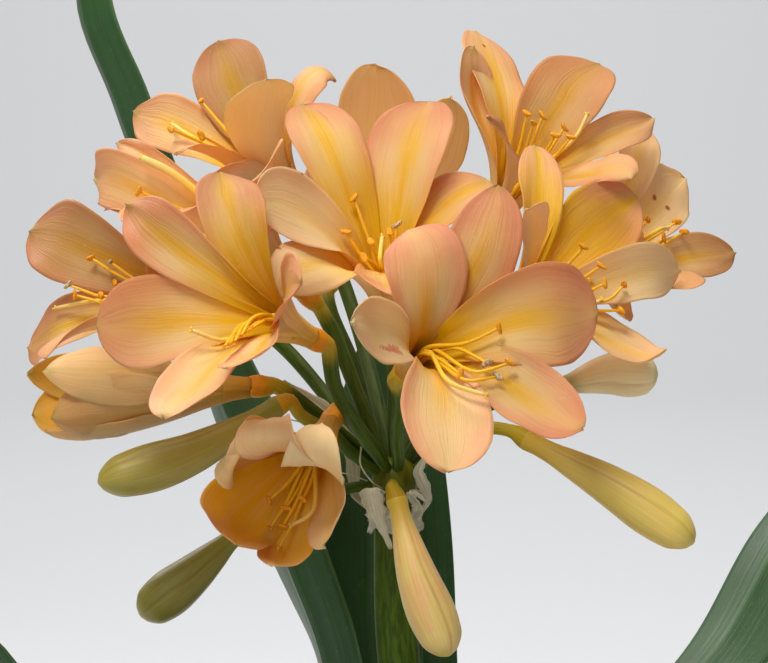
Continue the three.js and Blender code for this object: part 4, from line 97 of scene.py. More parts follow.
# centre line, half widths and turn of each leaf
LEAVES = {
    "leaf_01": {"path": [[22.98, 19.28, 157.5], [28.34, 23.78, 200], [53.62, 45.0, 248], [99.59, 83.56, 282], [180.02, 151.06, 290], [248.96, 208.91, 205]], "half": [[0, 0.12, 0.35, 0.7, 0.9, 1], [10.5, 12.0, 16.740000000000002, 18, 12.959999999999999, 2.2]], "turn": [[0, 1], [130.0, 136.0]]},
    "leaf_02": {"path": [[19.15, 16.07, 164.69], [23.75, 19.93, 216], [45.96, 38.57, 270], [91.93, 77.13, 312], [172.36, 144.63, 342], [241.3, 202.48, 278]], "half": [[0, 0.12, 0.35, 0.7, 0.9, 1], [10.5, 12.0, 17.205000000000002, 18.5, 13.32, 2.2]], "turn": [[0, 1], [130.0, 125.0]]},
    "leaf_03": {"path": [[15.32, 12.86, 171.88], [19.15, 16.07, 230], [36.77, 30.85, 287], [70.48, 59.14, 327], [109.54, 91.92, 361], [134.82, 113.13, 397], [174.66, 146.56, 428], [222.15, 186.41, 412]], "half": [[0, 0.12, 0.35, 0.7, 0.9, 1], [10.5, 12.0, 16.275000000000002, 17.5, 12.6, 2.2]], "turn": [[0, 1], [130.0, 133.0]]},
    "leaf_04": {"path": [[11.49, 9.64, 179.06], [10.3, 12.4, 230], [8.5, 26, 290], [5, 58, 377], [3.5, 78, 440], [2.6, 90, 472]], "half": [[0, 0.12, 0.35, 0.7, 0.9, 1], [10.5, 12.0, 15.066, 16.2, 11.664, 2.2]], "turn": [[0, 0.12, 0.5, 1], [130.0, 136.0, 178.0, 182.0]]},
    "leaf_05": {"path": [[6.89, 5.79, 187.69], [4.2, 8.2, 232], [0, 19, 280], [-4.6, 47, 377], [-4.6, 64, 436], [-4.6, 74, 468]], "half": [[0, 0.12, 0.35, 0.7, 0.9, 1], [10.5, 12.0, 14.136, 15.2, 10.943999999999999, 2.2]], "turn": [[0, 0.12, 0.5, 1], [130.0, 136.0, 178.0, 182.0]]},
    "leaf_06": {"path": [[2.3, 1.93, 196.31], [-4, 4.5, 250], [-9, 8, 310], [-16.08, 16.0, 372.16], [-26.61, 33.0, 397.79], [-39.38, 60.0, 423.72], [-50.72, 84.0, 445.14], [-61.75, 101.0, 471.27], [-73.42, 110.0, 504.58], [-85.22, 115.0, 536.76], [-97.15, 121.0, 569.04], [-94, 127, 612]], "half": [[0, 0.12, 0.35, 0.7, 0.9, 1], [10.5, 12, 16, 17, 13.5, 2.2]], "turn": [[0, 0.3, 1], [130.0, 116.0, 121.0]]},
    "leaf_07": {"path": [[-22.98, -19.28, 157.5], [-29.11, -24.43, 200], [-53.62, -45.0, 244], [-98.05, -82.28, 276], [-176.19, -147.84, 285], [-243.6, -204.41, 200]], "half": [[0, 0.12, 0.35, 0.7, 0.9, 1], [10.5, 12.0, 16.740000000000002, 18, 12.959999999999999, 2.2]], "turn": [[0, 1], [130.0, 124.0]]},
    "leaf_08": {"path": [[-17.62, -14.78, 167.56], [-22.22, -18.64, 218], [-42.13, -35.35, 275], [-84.26, -70.71, 318], [-157.04, -131.77, 342], [-225.98, -189.62, 278]], "half": [[0, 0.12, 0.35, 0.7, 0.9, 1], [10.5, 12.0, 17.205000000000002, 18.5, 13.32, 2.2]], "turn": [[0, 1], [130.0, 135.0]]},
    "leaf_09": {"path": [[-12.26, -10.28, 177.62], [-15.32, -12.86, 232], [-30.64, -25.71, 292], [-64.35, -53.99, 344], [-104.95, -88.06, 390], [-114.91, -96.42, 404], [-164.7, -138.2, 447], [-214.49, -179.98, 440]], "half": [[0, 0.12, 0.35, 0.7, 0.9, 1], [10.5, 12.0, 15.81, 17, 12.24, 2.2]], "turn": [[0, 1], [130.0, 134.0]]},
    "leaf_10": {"path": [[-7.66, -6.43, 186.25], [-9.58, -8.03, 236], [-16.09, -13.5, 290], [-29.88, -25.07, 333], [-45.96, -38.57, 350]], "half": [[0, 0.12, 0.35, 0.7, 0.9, 1], [10.5, 12.0, 13.485000000000001, 14.5, 10.44, 2.2]], "turn": [[0, 1], [130.0, 130.0]]},
    "leaf_11": {"path": [[-3.06, -2.57, 194.88], [-4.21, -3.54, 240], [-7.66, -6.43, 292], [-22.24, -10.83, 338], [-44.48, -21.66, 363], [-66.97, -35.31, 367]], "half": [[0, 0.12, 0.35, 0.7, 0.9, 1], [10.5, 12.0, 13.950000000000001, 15, 10.799999999999999, 2.2]], "turn": [[0, 1], [130.0, 122.0]]},
}
SCAPE = [[16.96, -17.1, 140], [16.7, -16.79, 172], [14.97, -15.51, 250], [12.08, -12.06, 302], [7.1, -6.44, 346], [2.6, -1.6, 384], [2, 0, 424]]
BRACTS = [{"path": [[-2.6, -6.2, 420], [-4.2, -9.2, 425], [-4.6, -14.5, 429.71], [-3.16, -16.0, 423.0], [0.85, -15.0, 412.09]], "half": [2.7, 3.3, 3.1, 1.7, 0.45], "turn": 8}, {"path": [[7.4, -5.4, 420], [8.8, -8.0, 423], [6.61, -11.5, 428.08], [8.32, -13.0, 427.74], [10.61, -14.0, 425.86]], "half": [1.6, 1.8, 1.5, 1.0, 0.4], "turn": -30}, {"path": [[-4.6, 3.2, 420], [-9.6, 8.2, 424.5], [-12.03, 9.0, 440.89], [-18.48, 9.0, 449.18], [-30.78, 9.0, 457.76]], "half": [2.0, 2.2, 2.3, 2.0, 0.5], "turn": 30}, {"path": [[8.6, -1.4, 420], [11.0, -2.6, 424], [8.35, -9.0, 434.1], [11.79, -10.0, 439.19], [15.81, -10.0, 443.55]], "half": [1.7, 2.3, 2.5, 1.9, 0.45], "turn": 60}]

# ---------------------------------------------------------------- how each piece looks, 0 to 1
# the tone value paints shade into a petal below 0, and light into its outer half above 0
FLOWER_LOOKS = {
    "F1": dict(pink=0.85, reach=1.1, pale=0.18, green=0.1, wave=0.55, fold=0.09),
    "F2": dict(pink=0.8, reach=0.9, pale=0.35, green=0.15, wave=0.5),
    "F3": dict(pink=0.75, reach=1.08, pale=0.35, green=0.1),
    "F4": dict(pink=0.6, reach=0.9, pale=0.35, green=0.1),
    "F5": dict(pink=0.6, reach=0.75, pale=0.25, green=0.1),
    "F6": dict(pink=0.70, reach=0.95, pale=0.25, green=0.1, tone_and_painted_light=-0.2),
    "F7": dict(pink=0.15, reach=1.9, pale=0.55, green=0.6, tone_and_painted_light=-0.25),
    "F8": dict(pink=0.35, reach=1.6, pale=0.35, green=0.1),
    "F9": dict(pink=0.5, reach=1.35, pale=0.20, green=0.15),
    "F10": dict(pink=0.6, reach=0.95, pale=0.35, green=0.2),
    "F11": dict(pink=0.40, reach=0.9, pale=0.50, green=0.35),
    "F12": dict(pink=0.4, reach=1.2, pale=0.35, green=0.1),
}
TEPAL_LOOKS = {
    "1a": dict(tone_and_painted_light=-0.3, reach=0.8, pink=1.0, tuck=3.0),
    "1b": dict(tone_and_painted_light=-0.1, reach=0.88, pink=0.95),
    "1c": dict(tone_and_painted_light=-0.25, pale=0.4, reach=0.88, pink=1.0),
    "1d": dict(pale=0.7, pink=1.0, crease=0.14, reach=0.75, tone_and_painted_light=0.12),
    "1e": dict(pink=0.8, reach=0.45, pale=0.95, tone_and_painted_light=0.6),
    "1f": dict(fold=0.08, reach=0.66, pink=1.0, pale=0.35, wave=0.2, crease=0.5, tone_and_painted_light=-0.1),
    "2a": dict(reach=1.2, pink=0.9, tone_and_painted_light=-0.4),
    "2b": dict(green=0.6, tone_and_painted_light=-0.25, pink=0.9),
    "2c": dict(pink=0.8),
    "2d": dict(pale=0.7, tone_and_painted_light=0.15),
    "3a": dict(tone_and_painted_light=-0.15, pink=0.85),
    "3b": dict(reach=1.0, pink=0.9, tone_and_painted_light=-0.15),
    "3d": dict(pale=0.7, tone_and_painted_light=0.55, reach=0.95, pink=0.9),
    "3e": dict(pale=0.8, pink=0.4, tone_and_painted_light=0.25),
    "4a": dict(tone_and_painted_light=-0.8, reach=1.0),
    "4c": dict(tone_and_painted_light=0.9, pink=0.2, pale=0.9, reach=1.9),
    "4d": dict(tone_and_painted_light=0.3, pink=0.4),
    "6a": dict(tone_and_painted_light=-0.75, reach=0.8, pink=0.8),
    "8a": dict(pale=1.0, pink=0.1, tone_and_painted_light=0.45, reach=1.0),
    "8b": dict(pale=0.95, pink=0.4, reach=0.8, tone_and_painted_light=0.4),
    "8c": dict(pale=1.0, pink=0.1, reach=0.6, tone_and_painted_light=0.75),
    "8d": dict(tone_and_painted_light=0.0, reach=1.6),
    "8e": dict(tone_and_painted_light=0.1),
    "8f": dict(pale=0.9, tone_and_painted_light=0.3, reach=1.2),
    "9a": dict(reach=1.5, pink=0.9),
    "9b": dict(pale=0.9, tone_and_painted_light=0.5, reach=0.9, pink=0.3),
    "9d": dict(tone_and_painted_light=0.5, pink=0.6),
    "9e": dict(pale=0.7, tone_and_painted_light=0.2, reach=1.1),
    "10e": dict(tone_and_painted_light=0.2),
    "10b": dict(pale=0.7, green=0.5),
    "10c": dict(tone_and_painted_light=-0.35),
    "11a": dict(tone_and_painted_light=0.5, pale=0.8),
    "11c": dict(tone_and_painted_light=0.3),
    "11b": dict(pale=0.5, green=0.8, tone_and_painted_light=-0.4),
    "12a": dict(tone_and_painted_light=-0.15, reach=1.5),
    "12b": dict(pale=0.9, pink=0.05, green=0.6, tone_and_painted_light=-0.1),
}
GREY_ANTHERS = {
    "F1": [0, 1, 1, 1, 0, 0],
    "F3": [0, 0, 0, 0, 1, 0],
    "F6": [0, 1, 0, 0, 0, 1],
}
STYLE_WIDTH = {"F5": 1.9}
SMALL_ANTHERS = {"F2": 0.45}
ORANGE = {"F1": 0.15, "F3": 0.3}
BUD_LOOKS = {
    "B1": dict(pink=0.06, cream=0.12, olive=0.6, yellow=0.15, tie=0.9, orange=0.5),
    "B2": dict(pink=0.04, cream=0.08, olive=0.85, yellow=0.0, tie=0.7, orange=0.0),
    "B3": dict(pink=0.7, cream=0.52, olive=0.0, yellow=0.4, tie=0.5, orange=0.25),
    "B4": dict(pink=0.25, cream=0.45, olive=0.05, yellow=0.7, tie=1.0, orange=0.0),
    "B5": dict(pink=0.2, cream=1.0, olive=0.0, yellow=0.05, tie=1.0, orange=0.0),
}
# small red freckles: centre and radius in millimetres
RED_DOTS = [
    ([29.6, 68.4, 554.8], 0.75),
    ([19.5, 81.6, 538.2], 0.7),
    ([83.1, 73.7, 507.6], 1.0),
    ([87.6, 76.0, 504.2], 0.9),
    ([-24.6, -17.3, 520.2], 0.8),
    ([-30.5, -35.4, 499.8], 0.9),
]
# a few fine pink streaks low on one pale petal
PINK_STREAKS = [
    ([-2.5, -86.3, 478.2], 0.6),
    ([-1.7, -84.8, 477.9], 0.8),
    ([-0.9, -83.5, 477.4], 0.8),
    ([-0.1, -82.3, 477.1], 1.0),
    ([0.7, -80.8, 477.0], 1.0),
    ([1.5, -79.9, 476.5], 1.0),
    ([2.3, -78.7, 476.2], 1.0),
    ([3.1, -77.5, 475.7], 0.8),
    ([0.2, -80.6, 477.9], 0.6),
    ([1.3, -79.0, 477.5], 0.7),
    ([2.2, -77.3, 477.0], 0.7),
]
# loose dry threads at the head of the stem
THREADS = [
    ([[-38.5, 4.0, 450.7], [-28.6, 3.0, 447.2], [-20.4, 1.0, 445.2], [-11.0, -3.0, 437.2]], 0.22),
    ([[-7.7, -13.0, 441.5], [-7.9, -14.5, 436.5], [-4.6, -13.5, 431.4], [-1.6, -9.5, 428.8]], 0.26),
    ([[6.5, -6.0, 427.6], [8.6, -9.5, 428.2], [11.4, -11.5, 426.6]], 0.3),
    ([[-6.0, -3.0, 430.0], [-12.5, -5.0, 432.5], [-19.0, -5.0, 433.0]], 0.2),
]


MM = 0.001
rng0 = np.random.default_rng(11)


# ---------------------------------------------------------------- small maths
def unit(a):
    a = np.asarray(a, float)
    return a / (np.linalg.norm(a, axis=-1, keepdims=True) + 1e-12)


def sm(x, a, b):
    """Smooth step from 0 at a to 1 at b."""
    t = np.clip((np.asarray(x, float) - a) / (b - a), 0, 1)
    return t * t * (3 - 2 * t)


def pchip(x, xs, ys):
    xs, ys = np.asarray(xs, float), np.asarray(ys, float)
    h = np.diff(xs)
    d = np.diff(ys) / h
    m = np.zeros(len(xs))
    for i in range(1, len(xs) - 1):
        if d[i - 1] * d[i] > 0:
            w1, w2 = 2 * h[i] + h[i - 1], h[i] + 2 * h[i - 1]
            m[i] = (w1 + w2) / (w1 / d[i - 1] + w2 / d[i])
    m[0], m[-1] = d[0], d[-1]
    x = np.asarray(x, float)
    i = np.clip(np.searchsorted(xs, x, side="right") - 1, 0, len(xs) - 2)
    t = (x - xs[i]) / h[i]
    return (1 + 2 * t) * (1 - t) ** 2 * ys[i] + t * (1 - t) ** 2 * h[i] * m[i] + t * t * (3 - 2 * t) * ys[i + 1] + t * t * (t - 1) * h[i] * m[i + 1]


def curve(points, n, at=None):
    """Centripetal Catmull-Rom curve through the points, sampled evenly (or at shares `at`) by length."""
    P = [np.array(p, float) for p in points]
    l = len(P)
    Q = []
    for u in np.linspace(0, 1, 40 * (l - 1) + 1):
        p = (l - 1) * u
        i = min(int(p), l - 2)
        w = p - i
        p1, p2 = P[i], P[i + 1]
        p0 = P[i - 1] if i > 0 else 2 * P[0] - P[1]
        p3 = P[i + 2] if i + 2 < l else 2 * P[-1] - P[-2]
        d0 = max(np.dot(p0 - p1, p0 - p1) ** 0.25, 1e-4)
        d1 = max(np.dot(p1 - p2, p1 - p2) ** 0.25, 1e-4)
        d2 = max(np.dot(p2 - p3, p2 - p3) ** 0.25, 1e-4)
        t1 = ((p1 - p0) / d0 - (p2 - p0) / (d0 + d1) + (p2 - p1) / d1) * d1
        t2 = ((p2 - p1) / d1 - (p3 - p1) / (d1 + d2) + (p3 - p2) / d2) * d1
        Q.append(p1 + t1 * w + (-3 * p1 + 3 * p2 - 2 * t1 - t2) * w * w + (2 * p1 - 2 * p2 + t1 + t2) * w**3)
    Q = np.array(Q)
    L = np.r_[0, np.cumsum(np.linalg.norm(np.diff(Q, axis=0), axis=1))]
    s = np.linspace(0, 1, n) if at is None else np.asarray(at, float)
    return np.stack([np.interp(s * L[-1], L, Q[:, k]) for k in range(3)], -1), L[-1]


def waves(x, y, seed, count=5, f=(0.5, 2.0)):
    """A smooth random field made of a few sine waves, about -1 to 1."""
    r = np.random.default_rng(seed)
    out = 0
    for _ in range(count):
        fx, fy, p = r.uniform(*f), r.uniform(*f), r.uniform(0, 6.283)
        out = out + np.sin(6.283 * (fx * x * r.choice([-1, 1]) + fy * y) + p)
    return out / count**0.5 / 1.2


# ---------------------------------------------------------------- meshes
def quads(n, m, wrap=False, flip=False):
    i = np.arange(n - 1)[:, None]
    j = np.arange(m if wrap else m - 1)[None]
    j2 = (j + 1) % m
    a, b, c, d = i * m + j, i * m + j2, (i + 1) * m + j2, (i + 1) * m + j
    q = np.stack([a, b, c, d], -1).reshape(-1, 4)
    return q[:, ::-1] if flip else q


def make(name, parts, mats, smooth=True):
    """parts: dicts of v (n,3) in mm, f list of face arrays, a {attribute: (n,4)}, m material number."""
    V = np.concatenate([p["v"] for p in parts]) * MM
    loops, starts, totals, mi = [], [], [], []
    off = at = 0
    for p in parts:
        for f in p["f"]:
            if len(f) == 0:
                continue
            f = np.asarray(f)
            loops.append((f + off).ravel())
            k = f.shape[1]
            starts.append(at + np.arange(len(f)) * k)
            totals.append(np.full(len(f), k))
            mi.append(np.full(len(f), p.get("m", 0)))
            at += len(f) * k
        off += len(p["v"])
    loops, starts, totals, mi = (np.concatenate(x).astype(np.int32) for x in (loops, starts, totals, mi))
    me = bpy.data.meshes.new(name)
    me.vertices.add(len(V))
    me.vertices.foreach_set("co", V.astype(np.float32).ravel())
    me.loops.add(len(loops))
    me.loops.foreach_set("vertex_index", loops)
    me.polygons.add(len(starts))
    me.polygons.foreach_set("loop_start", starts)
    me.polygons.foreach_set("loop_total", totals)
    me.polygons.foreach_set("material_index", mi)
    me.polygons.foreach_set("use_smooth", np.full(len(starts), smooth))
    keys = sorted(set(k for p in parts for k in p.get("a", {})))
    for k in keys:
        at_ = me.attributes.new(k, "FLOAT_COLOR", "POINT")
        data = np.concatenate([np.broadcast_to(p.get("a", {}).get(k, np.zeros(4)), (len(p["v"]), 4)) for p in parts])
        at_.data.foreach_set("color", data.astype(np.float32).ravel())
    me.update(calc_edges=True)
    me.validate()
    ob = bpy.data.objects.new(name, me)
    bpy.context.scene.collection.objects.link(ob)
    for m in mats:
        me.materials.append(m)
    return ob


def place(ob, nodes):
    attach(ob, "root")
    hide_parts(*nodes)
    return ob


def shell(P, N, thick, attr_front, attr_back, m=0):
    """A closed thin body: grid P (n,m,3) thickened along N by thick (n,m)."""
    n, k = P.shape[:2]
    F = P + N * thick[..., None] / 2
    B = P - N * thick[..., None] / 2
    V = np.concatenate([F.reshape(-1, 3), B.reshape(-1, 3)])
    idx = np.arange(n * k).reshape(n, k)
    rim = np.concatenate([idx[0, :-1], idx[:-1, -1], idx[-1, :0:-1], idx[:0:-1, 0]])
    r2 = np.roll(rim, -1)
    o = n * k
    side = np.stack([rim, rim + o, r2 + o, r2], -1)
    # orientation: front faces look along +N
    q = quads(n, k)
    a, b, d = P.reshape(-1, 3)[q[:, 0]], P.reshape(-1, 3)[q[:, 1]], P.reshape(-1, 3)[q[:, 3]]
    s = np.sum(np.cross(b - a, d - a) * N.reshape(-1, 3)[q[:, 0]])
    if s < 0:
        front, back = q[:, ::-1], q + o
        side = side[:, ::-1]
    else:
        front, back = q, (q + o)[:, ::-1]
    att = {}
    for key in attr_front:
        att[key] = np.concatenate([attr_front[key].reshape(-1, 4), attr_back[key].reshape(-1, 4)])
    return dict(v=V, f=[front, back, side], a=att, m=m)


def normals(P):
    du = np.gradient(P, axis=0)
    dv = np.gradient(P, axis=1)
    return unit(np.cross(du, dv))


def frames(P):
    """Tangent, side and up along a polyline, with as little twist as possible."""
    T = unit(np.gradient(P, axis=0))
    s = np.cross([0, 1.0, 0], T[0])
    if np.linalg.norm(s) < 0.3:
        s = np.cross([0, 0, 1.0], T[0])
    S = [unit(s)]
    for t in T[1:]:
        s = S[-1] - t * np.dot(S[-1], t)
        S.append(unit(s))
    S = np.array(S)
    return T, S, np.cross(T, S)


def tube(P, R, m=16, att=None, mat=0, caps=True, turn=0.0):
    """A round body along P (n,3) with radius R (n,) or (n,m); rounded off by its own radii."""
    n = len(P)
    R = np.asarray(R, float)
    if R.ndim == 1:
        R = np.repeat(R[:, None], m, 1)
    T, S, U = frames(P)
    a = np.linspace(0, 2 * np.pi, m, endpoint=False) + turn
    V = P[:, None] + R[..., None] * (np.cos(a)[None, :, None] * S[:, None] + np.sin(a)[None, :, None] * U[:, None])
    V = V.reshape(-1, 3)
    f = [quads(n, m, wrap=True)]
    V = np.concatenate([V, P[:1], P[-1:]])
    j = np.arange(m)
    f.append(np.stack([np.full(m, n * m), (j + 1) % m, j], -1))
    f.append(np.stack([np.full(m, n * m + 1), (n - 1) * m + j, (n - 1) * m + (j + 1) % m], -1))
    t = np.repeat(np.linspace(0, 1, n), m)
    ang = np.tile(j / m, n)
    L = np.r_[0, np.cumsum(np.linalg.norm(np.diff(P, axis=0), axis=1))]
    tp = np.stack([t, ang, np.repeat(L, m) / 100, np.zeros(n * m)], -1)
    tp = np.concatenate([tp, [[0, 0, 0, 0]], [[1, 0, L[-1] / 100, 0]]])
    A = {"tp": tp}
    for k, v in (att or {}).items():
        v = np.asarray(v, float)
        A[k] = np.broadcast_to(v, (len(V), 4)) if v.ndim == 1 else np.concatenate([np.repeat(v, m, 0), v[:1], v[-1:]])
    return dict(v=V, f=f, a=A, m=mat)


# ---------------------------------------------------------------- shader nodes
def lin(r, g, b):
    f = lambda c: c / 12.92 if c <= 0.04045 else ((c + 0.055) / 1.055) ** 2.4
    return (f(r / 255), f(g / 255), f(b / 255), 1.0)


class Nodes:
    def __init__(self, name):
        self.mat = bpy.data.materials.new(name)
        self.mat.use_nodes = True
        self.t = self.mat.node_tree
        self.t.nodes.clear()

    def put(self, node, sock, value):
        s = node.inputs[sock]
        if isinstance(value, bpy.types.NodeSocket):
            self.t.links.new(value, s)
        elif value is not None:
            s.default_value = value

    def node(self, kind, **props):
        n = self.t.nodes.new(kind)
        for k, v in props.items():
            setattr(n, k, v)
        return n

    def attr(self, name):
        n = self.node("ShaderNodeAttribute", attribute_type="GEOMETRY", attribute_name=name)
        x = self.node("ShaderNodeSeparateXYZ")
        self.t.links.new(n.outputs["Vector"], x.inputs[0])
        return x.outputs[0], x.outputs[1], x.outputs[2], n.outputs["Alpha"]

    def m(self, op, a, b=None, c=None, clamp=False):
        n = self.node("ShaderNodeMath", operation=op, use_clamp=clamp)
        self.put(n, 0, a)
        if b is not None:
            self.put(n, 1, b)
        if c is not None:
            self.put(n, 2, c)
        return n.outputs[0]

    def step(self, x, a, b, lo=0.0, hi=1.0):
        """Smooth step of x from lo at a to hi at b."""
        if a > b:
            a, b, lo, hi = b, a, hi, lo
        n = self.node("ShaderNodeMapRange", interpolation_type="SMOOTHSTEP")
        self.put(n, "Value", x)
        for k, v in (("From Min", a), ("From Max", b), ("To Min", lo), ("To Max", hi)):
            n.inputs[k].default_value = v
        return n.outputs[0]

    def mul(self, *xs):
        out = xs[0]
        for x in xs[1:]:
            out = self.m("MULTIPLY", out, x)
        return out

    def mix(self, f, a, b, mode="MIX"):
        n = self.node("ShaderNodeMix", data_type="RGBA", blend_type=mode, clamp_factor=True)
        self.put(n, 0, f)
        self.put(n, 6, a)
        self.put(n, 7, b)
        return n.outputs[2]

    def vec(self, x, y, z):
        n = self.node("ShaderNodeCombineXYZ")
        for i, v in enumerate((x, y, z)):
            self.put(n, i, v)
        return n.outputs[0]

    def noise(self, vec, scale, detail=2.0, rough=0.5, dist=0.0):
        n = self.node("ShaderNodeTexNoise", noise_dimensions="3D")
        self.put(n, "Vector", vec)
        n.inputs["Scale"].default_value = scale
        n.inputs["Detail"].default_value = detail
        n.inputs["Roughness"].default_value = rough
        n.inputs["Distortion"].default_value = dist
        return n.outputs[0]

    def voronoi(self, vec, scale, feature="F1"):
        n = self.node("ShaderNodeTexVoronoi", feature=feature)
        self.put(n, "Vector", vec)
        n.inputs["Scale"].default_value = scale
        return n.outputs["Distance"]

    def place(self):
        return self.node("ShaderNodeTexCoord").outputs["Object"]

    def spot(self, at, r, soft=0.4):
        """1 inside a ball round a point of the row frame, in metres."""
        n = self.node("ShaderNodeVectorMath", operation="DISTANCE")
        self.put(n, 0, self.place())
        n.inputs[1].default_value = at
        return self.step(n.outputs["Value"], r * (1 - soft), r * (1 + soft), 1.0, 0.0)

    def bump(self, height, dist, strength=1.0, normal=None):
        n = self.node("ShaderNodeBump")
        self.put(n, "Strength", strength)
        n.inputs["Distance"].default_value = dist
        self.put(n, "Height", height)
        if normal is not None:
            self.put(n, "Normal", normal)
        return n.outputs[0]

    def finish(self, colour, rough, normal=None, spec=0.5, sheen=0.0, through=0.0, through_colour=None, coat=0.0, sss=0.0, sss_radius=(0.002, 0.0012, 0.0006), sss_scale=1.0):
        b = self.node("ShaderNodeBsdfPrincipled")
        self.put(b, "Base Color", colour)
        self.put(b, "Roughness", rough)
        b.inputs["Specular IOR Level"].default_value = spec
        if sheen:
            b.inputs["Sheen Weight"].default_value = sheen
            b.inputs["Sheen Roughness"].default_value = 0.5
        if coat:
            b.inputs["Coat Weight"].default_value = coat
            b.inputs["Coat Roughness"].default_value = 0.25
        if sss:
            b.inputs["Subsurface Weight"].default_value = sss
            b.inputs["Subsurface Radius"].default_value = sss_radius
            b.inputs["Subsurface Scale"].default_value = sss_scale
        if normal is not None:
            self.put(b, "Normal", normal)
        out = self.node("ShaderNodeOutputMaterial")
        if through:
            t = self.node("ShaderNodeBsdfTranslucent")
            self.put(t, "Color", through_colour if through_colour is not None else colour)
            if normal is not None:
                self.put(t, "Normal", normal)
            x = self.node("ShaderNodeMixShader")
            x.inputs[0].default_value = through
            self.t.links.new(b.outputs[0], x.inputs[1])
            self.t.links.new(t.outputs[0], x.inputs[2])
            self.t.links.new(x.outputs[0], out.inputs[0])
        else:
            self.t.links.new(b.outputs[0], out.inputs[0])
        return self.mat

# ---------------------------------------------------------------- colours of the tissues
def petal_material():
    """Tepals: peach, with a yellow band up the middle, pink edges and fine veins that run to the tip."""
    n = Nodes("tepal")
    s, vv, side, tone_and_painted_light = n.attr("tp")
    ux, uy, inner, seed = n.attr("tu")
    pink, reach, pale, green = n.attr("tq")
    a = n.m("ABSOLUTE", n.m("MULTIPLY_ADD", vv, 2.0, -1.0))
    blot = n.noise(n.vec(n.mul(ux, 9.0), n.mul(uy, 6.0), n.mul(seed, 37.0)), 1.0, 3.0, 0.55)
    big = n.noise(n.vec(n.mul(ux, 3.0), n.mul(uy, 2.2), n.m("ADD", n.mul(seed, 53.0), 7.0)), 1.0, 1.0)
    # veins converge towards the tip, so they follow the share of the width
    vx = n.m("MULTIPLY_ADD", vv, 34.0, n.mul(seed, 91.0))
    wob = n.mul(n.noise(n.vec(n.mul(vv, 3.0), n.mul(s, 6.0), n.mul(seed, 17.0)), 1.0, 1.0), 3.2)
    vein = n.noise(n.vec(n.m("ADD", vx, wob), n.mul(s, 1.6), n.mul(seed, 11.0)), 1.0, 2.0, 0.6)
    vein2 = n.noise(n.vec(n.mul(n.m("ADD", vx, wob), 2.6), n.mul(s, 3.0), n.mul(seed, 29.0)), 1.0, 1.0)
    veins = n.m("ADD", n.mul(n.m("SUBTRACT", vein, 0.5), 0.7), n.mul(n.m("SUBTRACT", vein2, 0.5), 0.5))

    # inner face
    body = n.mix(pale, lin(251, 198, 122), lin(255, 230, 170))
    edge = n.m("MULTIPLY_ADD", n.m("SUBTRACT", blot, 0.5), 0.5, n.m("ADD", n.mul(a, 0.5), n.mul(s, 0.55)))
    edge = n.m("MULTIPLY_ADD", n.m("SUBTRACT", big, 0.5), 0.5, edge)
    body = n.mix(n.mul(n.step(edge, 0.35, 1.05), pink), body, lin(245, 168, 126))
    cream = n.mul(n.step(s, 0.3, 0.42), n.step(s, 0.52, 0.80, 1.0, 0.0), n.step(a, 0.05, 0.3), n.step(a, 0.5, 0.9, 1.0, 0.0))
    body = n.mix(n.mul(cream, 0.7), body, lin(255, 234, 170))
    # golden from the throat out to about the middle, and on along the midrib
    far = n.m("DIVIDE", s, n.m("ADD", reach, 0.02))
    q = n.m("MULTIPLY_ADD", a, 0.10, far)
    q = n.m("MULTIPLY_ADD", veins, 0.22, q)
    q = n.m("MULTIPLY_ADD", n.m("SUBTRACT", blot, 0.5), 0.22, q)
    zone = n.step(q, 0.42, 0.74, 1.0, 0.0)
    rib_q = n.m("MULTIPLY_ADD", n.m("SUBTRACT", blot, 0.5), 0.3, n.m("MULTIPLY_ADD", veins, 0.25, a))
    ribz = n.mul(n.step(rib_q, 0.04, 0.42, 1.0, 0.0), n.step(far, 0.62, 1.05, 1.0, 0.0), 0.85)
    band = n.m("MAXIMUM", zone, ribz)
    bandc = n.mix(n.step(s, 0.22, 0.7), lin(255, 208, 4), lin(253, 204, 26))
    bandc = n.mix(n.mul(n.step(s, 0.12, 0.28, 1.0, 0.0), 0.6), bandc, lin(248, 196, 3))
    col = n.mix(band, body, bandc)
    # paler streaks either side of the midrib
    st = n.mul(n.step(a, 0.03, 0.13), n.step(a, 0.3, 0.62, 1.0, 0.0), n.step(s, 0.2, 0.4), n.step(s, 0.5, 0.86, 1.0, 0.0))
    st = n.mul(st, n.step(vein, 0.34, 0.62))
    col = n.mix(n.mul(st, n.m("MULTIPLY_ADD", pale, 0.5, 0.3)), col, lin(254, 226, 140))
    # deep throat
    col = n.mix(n.mul(n.step(s, 0.02, 0.16, 1.0, 0.0), 0.6), col, lin(240, 194, 10))
    # outer face
    out = n.mix(pale, lin(250, 200, 124), lin(255, 234, 172))
    out = n.mix(n.mul(n.step(edge, 0.4, 1.1), n.mul(pink, 0.75)), out, lin(243, 172, 124))
    rib = n.mul(n.step(a, 0.02, 0.3, 1.0, 0.0), n.step(s, 0.55, 0.98, 1.0, 0.0))
    out = n.mix(n.mul(rib, 0.55), out, lin(248, 212, 110))
    out = n.mix(n.mul(n.step(s, 0.06, 0.42, 1.0, 0.0), 0.75), out, lin(250, 200, 60))
    out = n.mix(n.mul(n.step(s, 0.0, 0.14, 1.0, 0.0), 0.7), out, lin(240, 172, 30))
    col = n.mix(n.step(side, 0.4, 0.6), out, col)
    # greenish tips, more on the outer tepals
    tip = n.mul(n.step(s, 0.93, 1.0), n.step(a, 0.3, 0.9, 1.0, 0.0), n.m("MULTIPLY_ADD", green, 0.85, 0.15))
    col = n.mix(n.mul(tip, 0.8), col, lin(214, 196, 96))
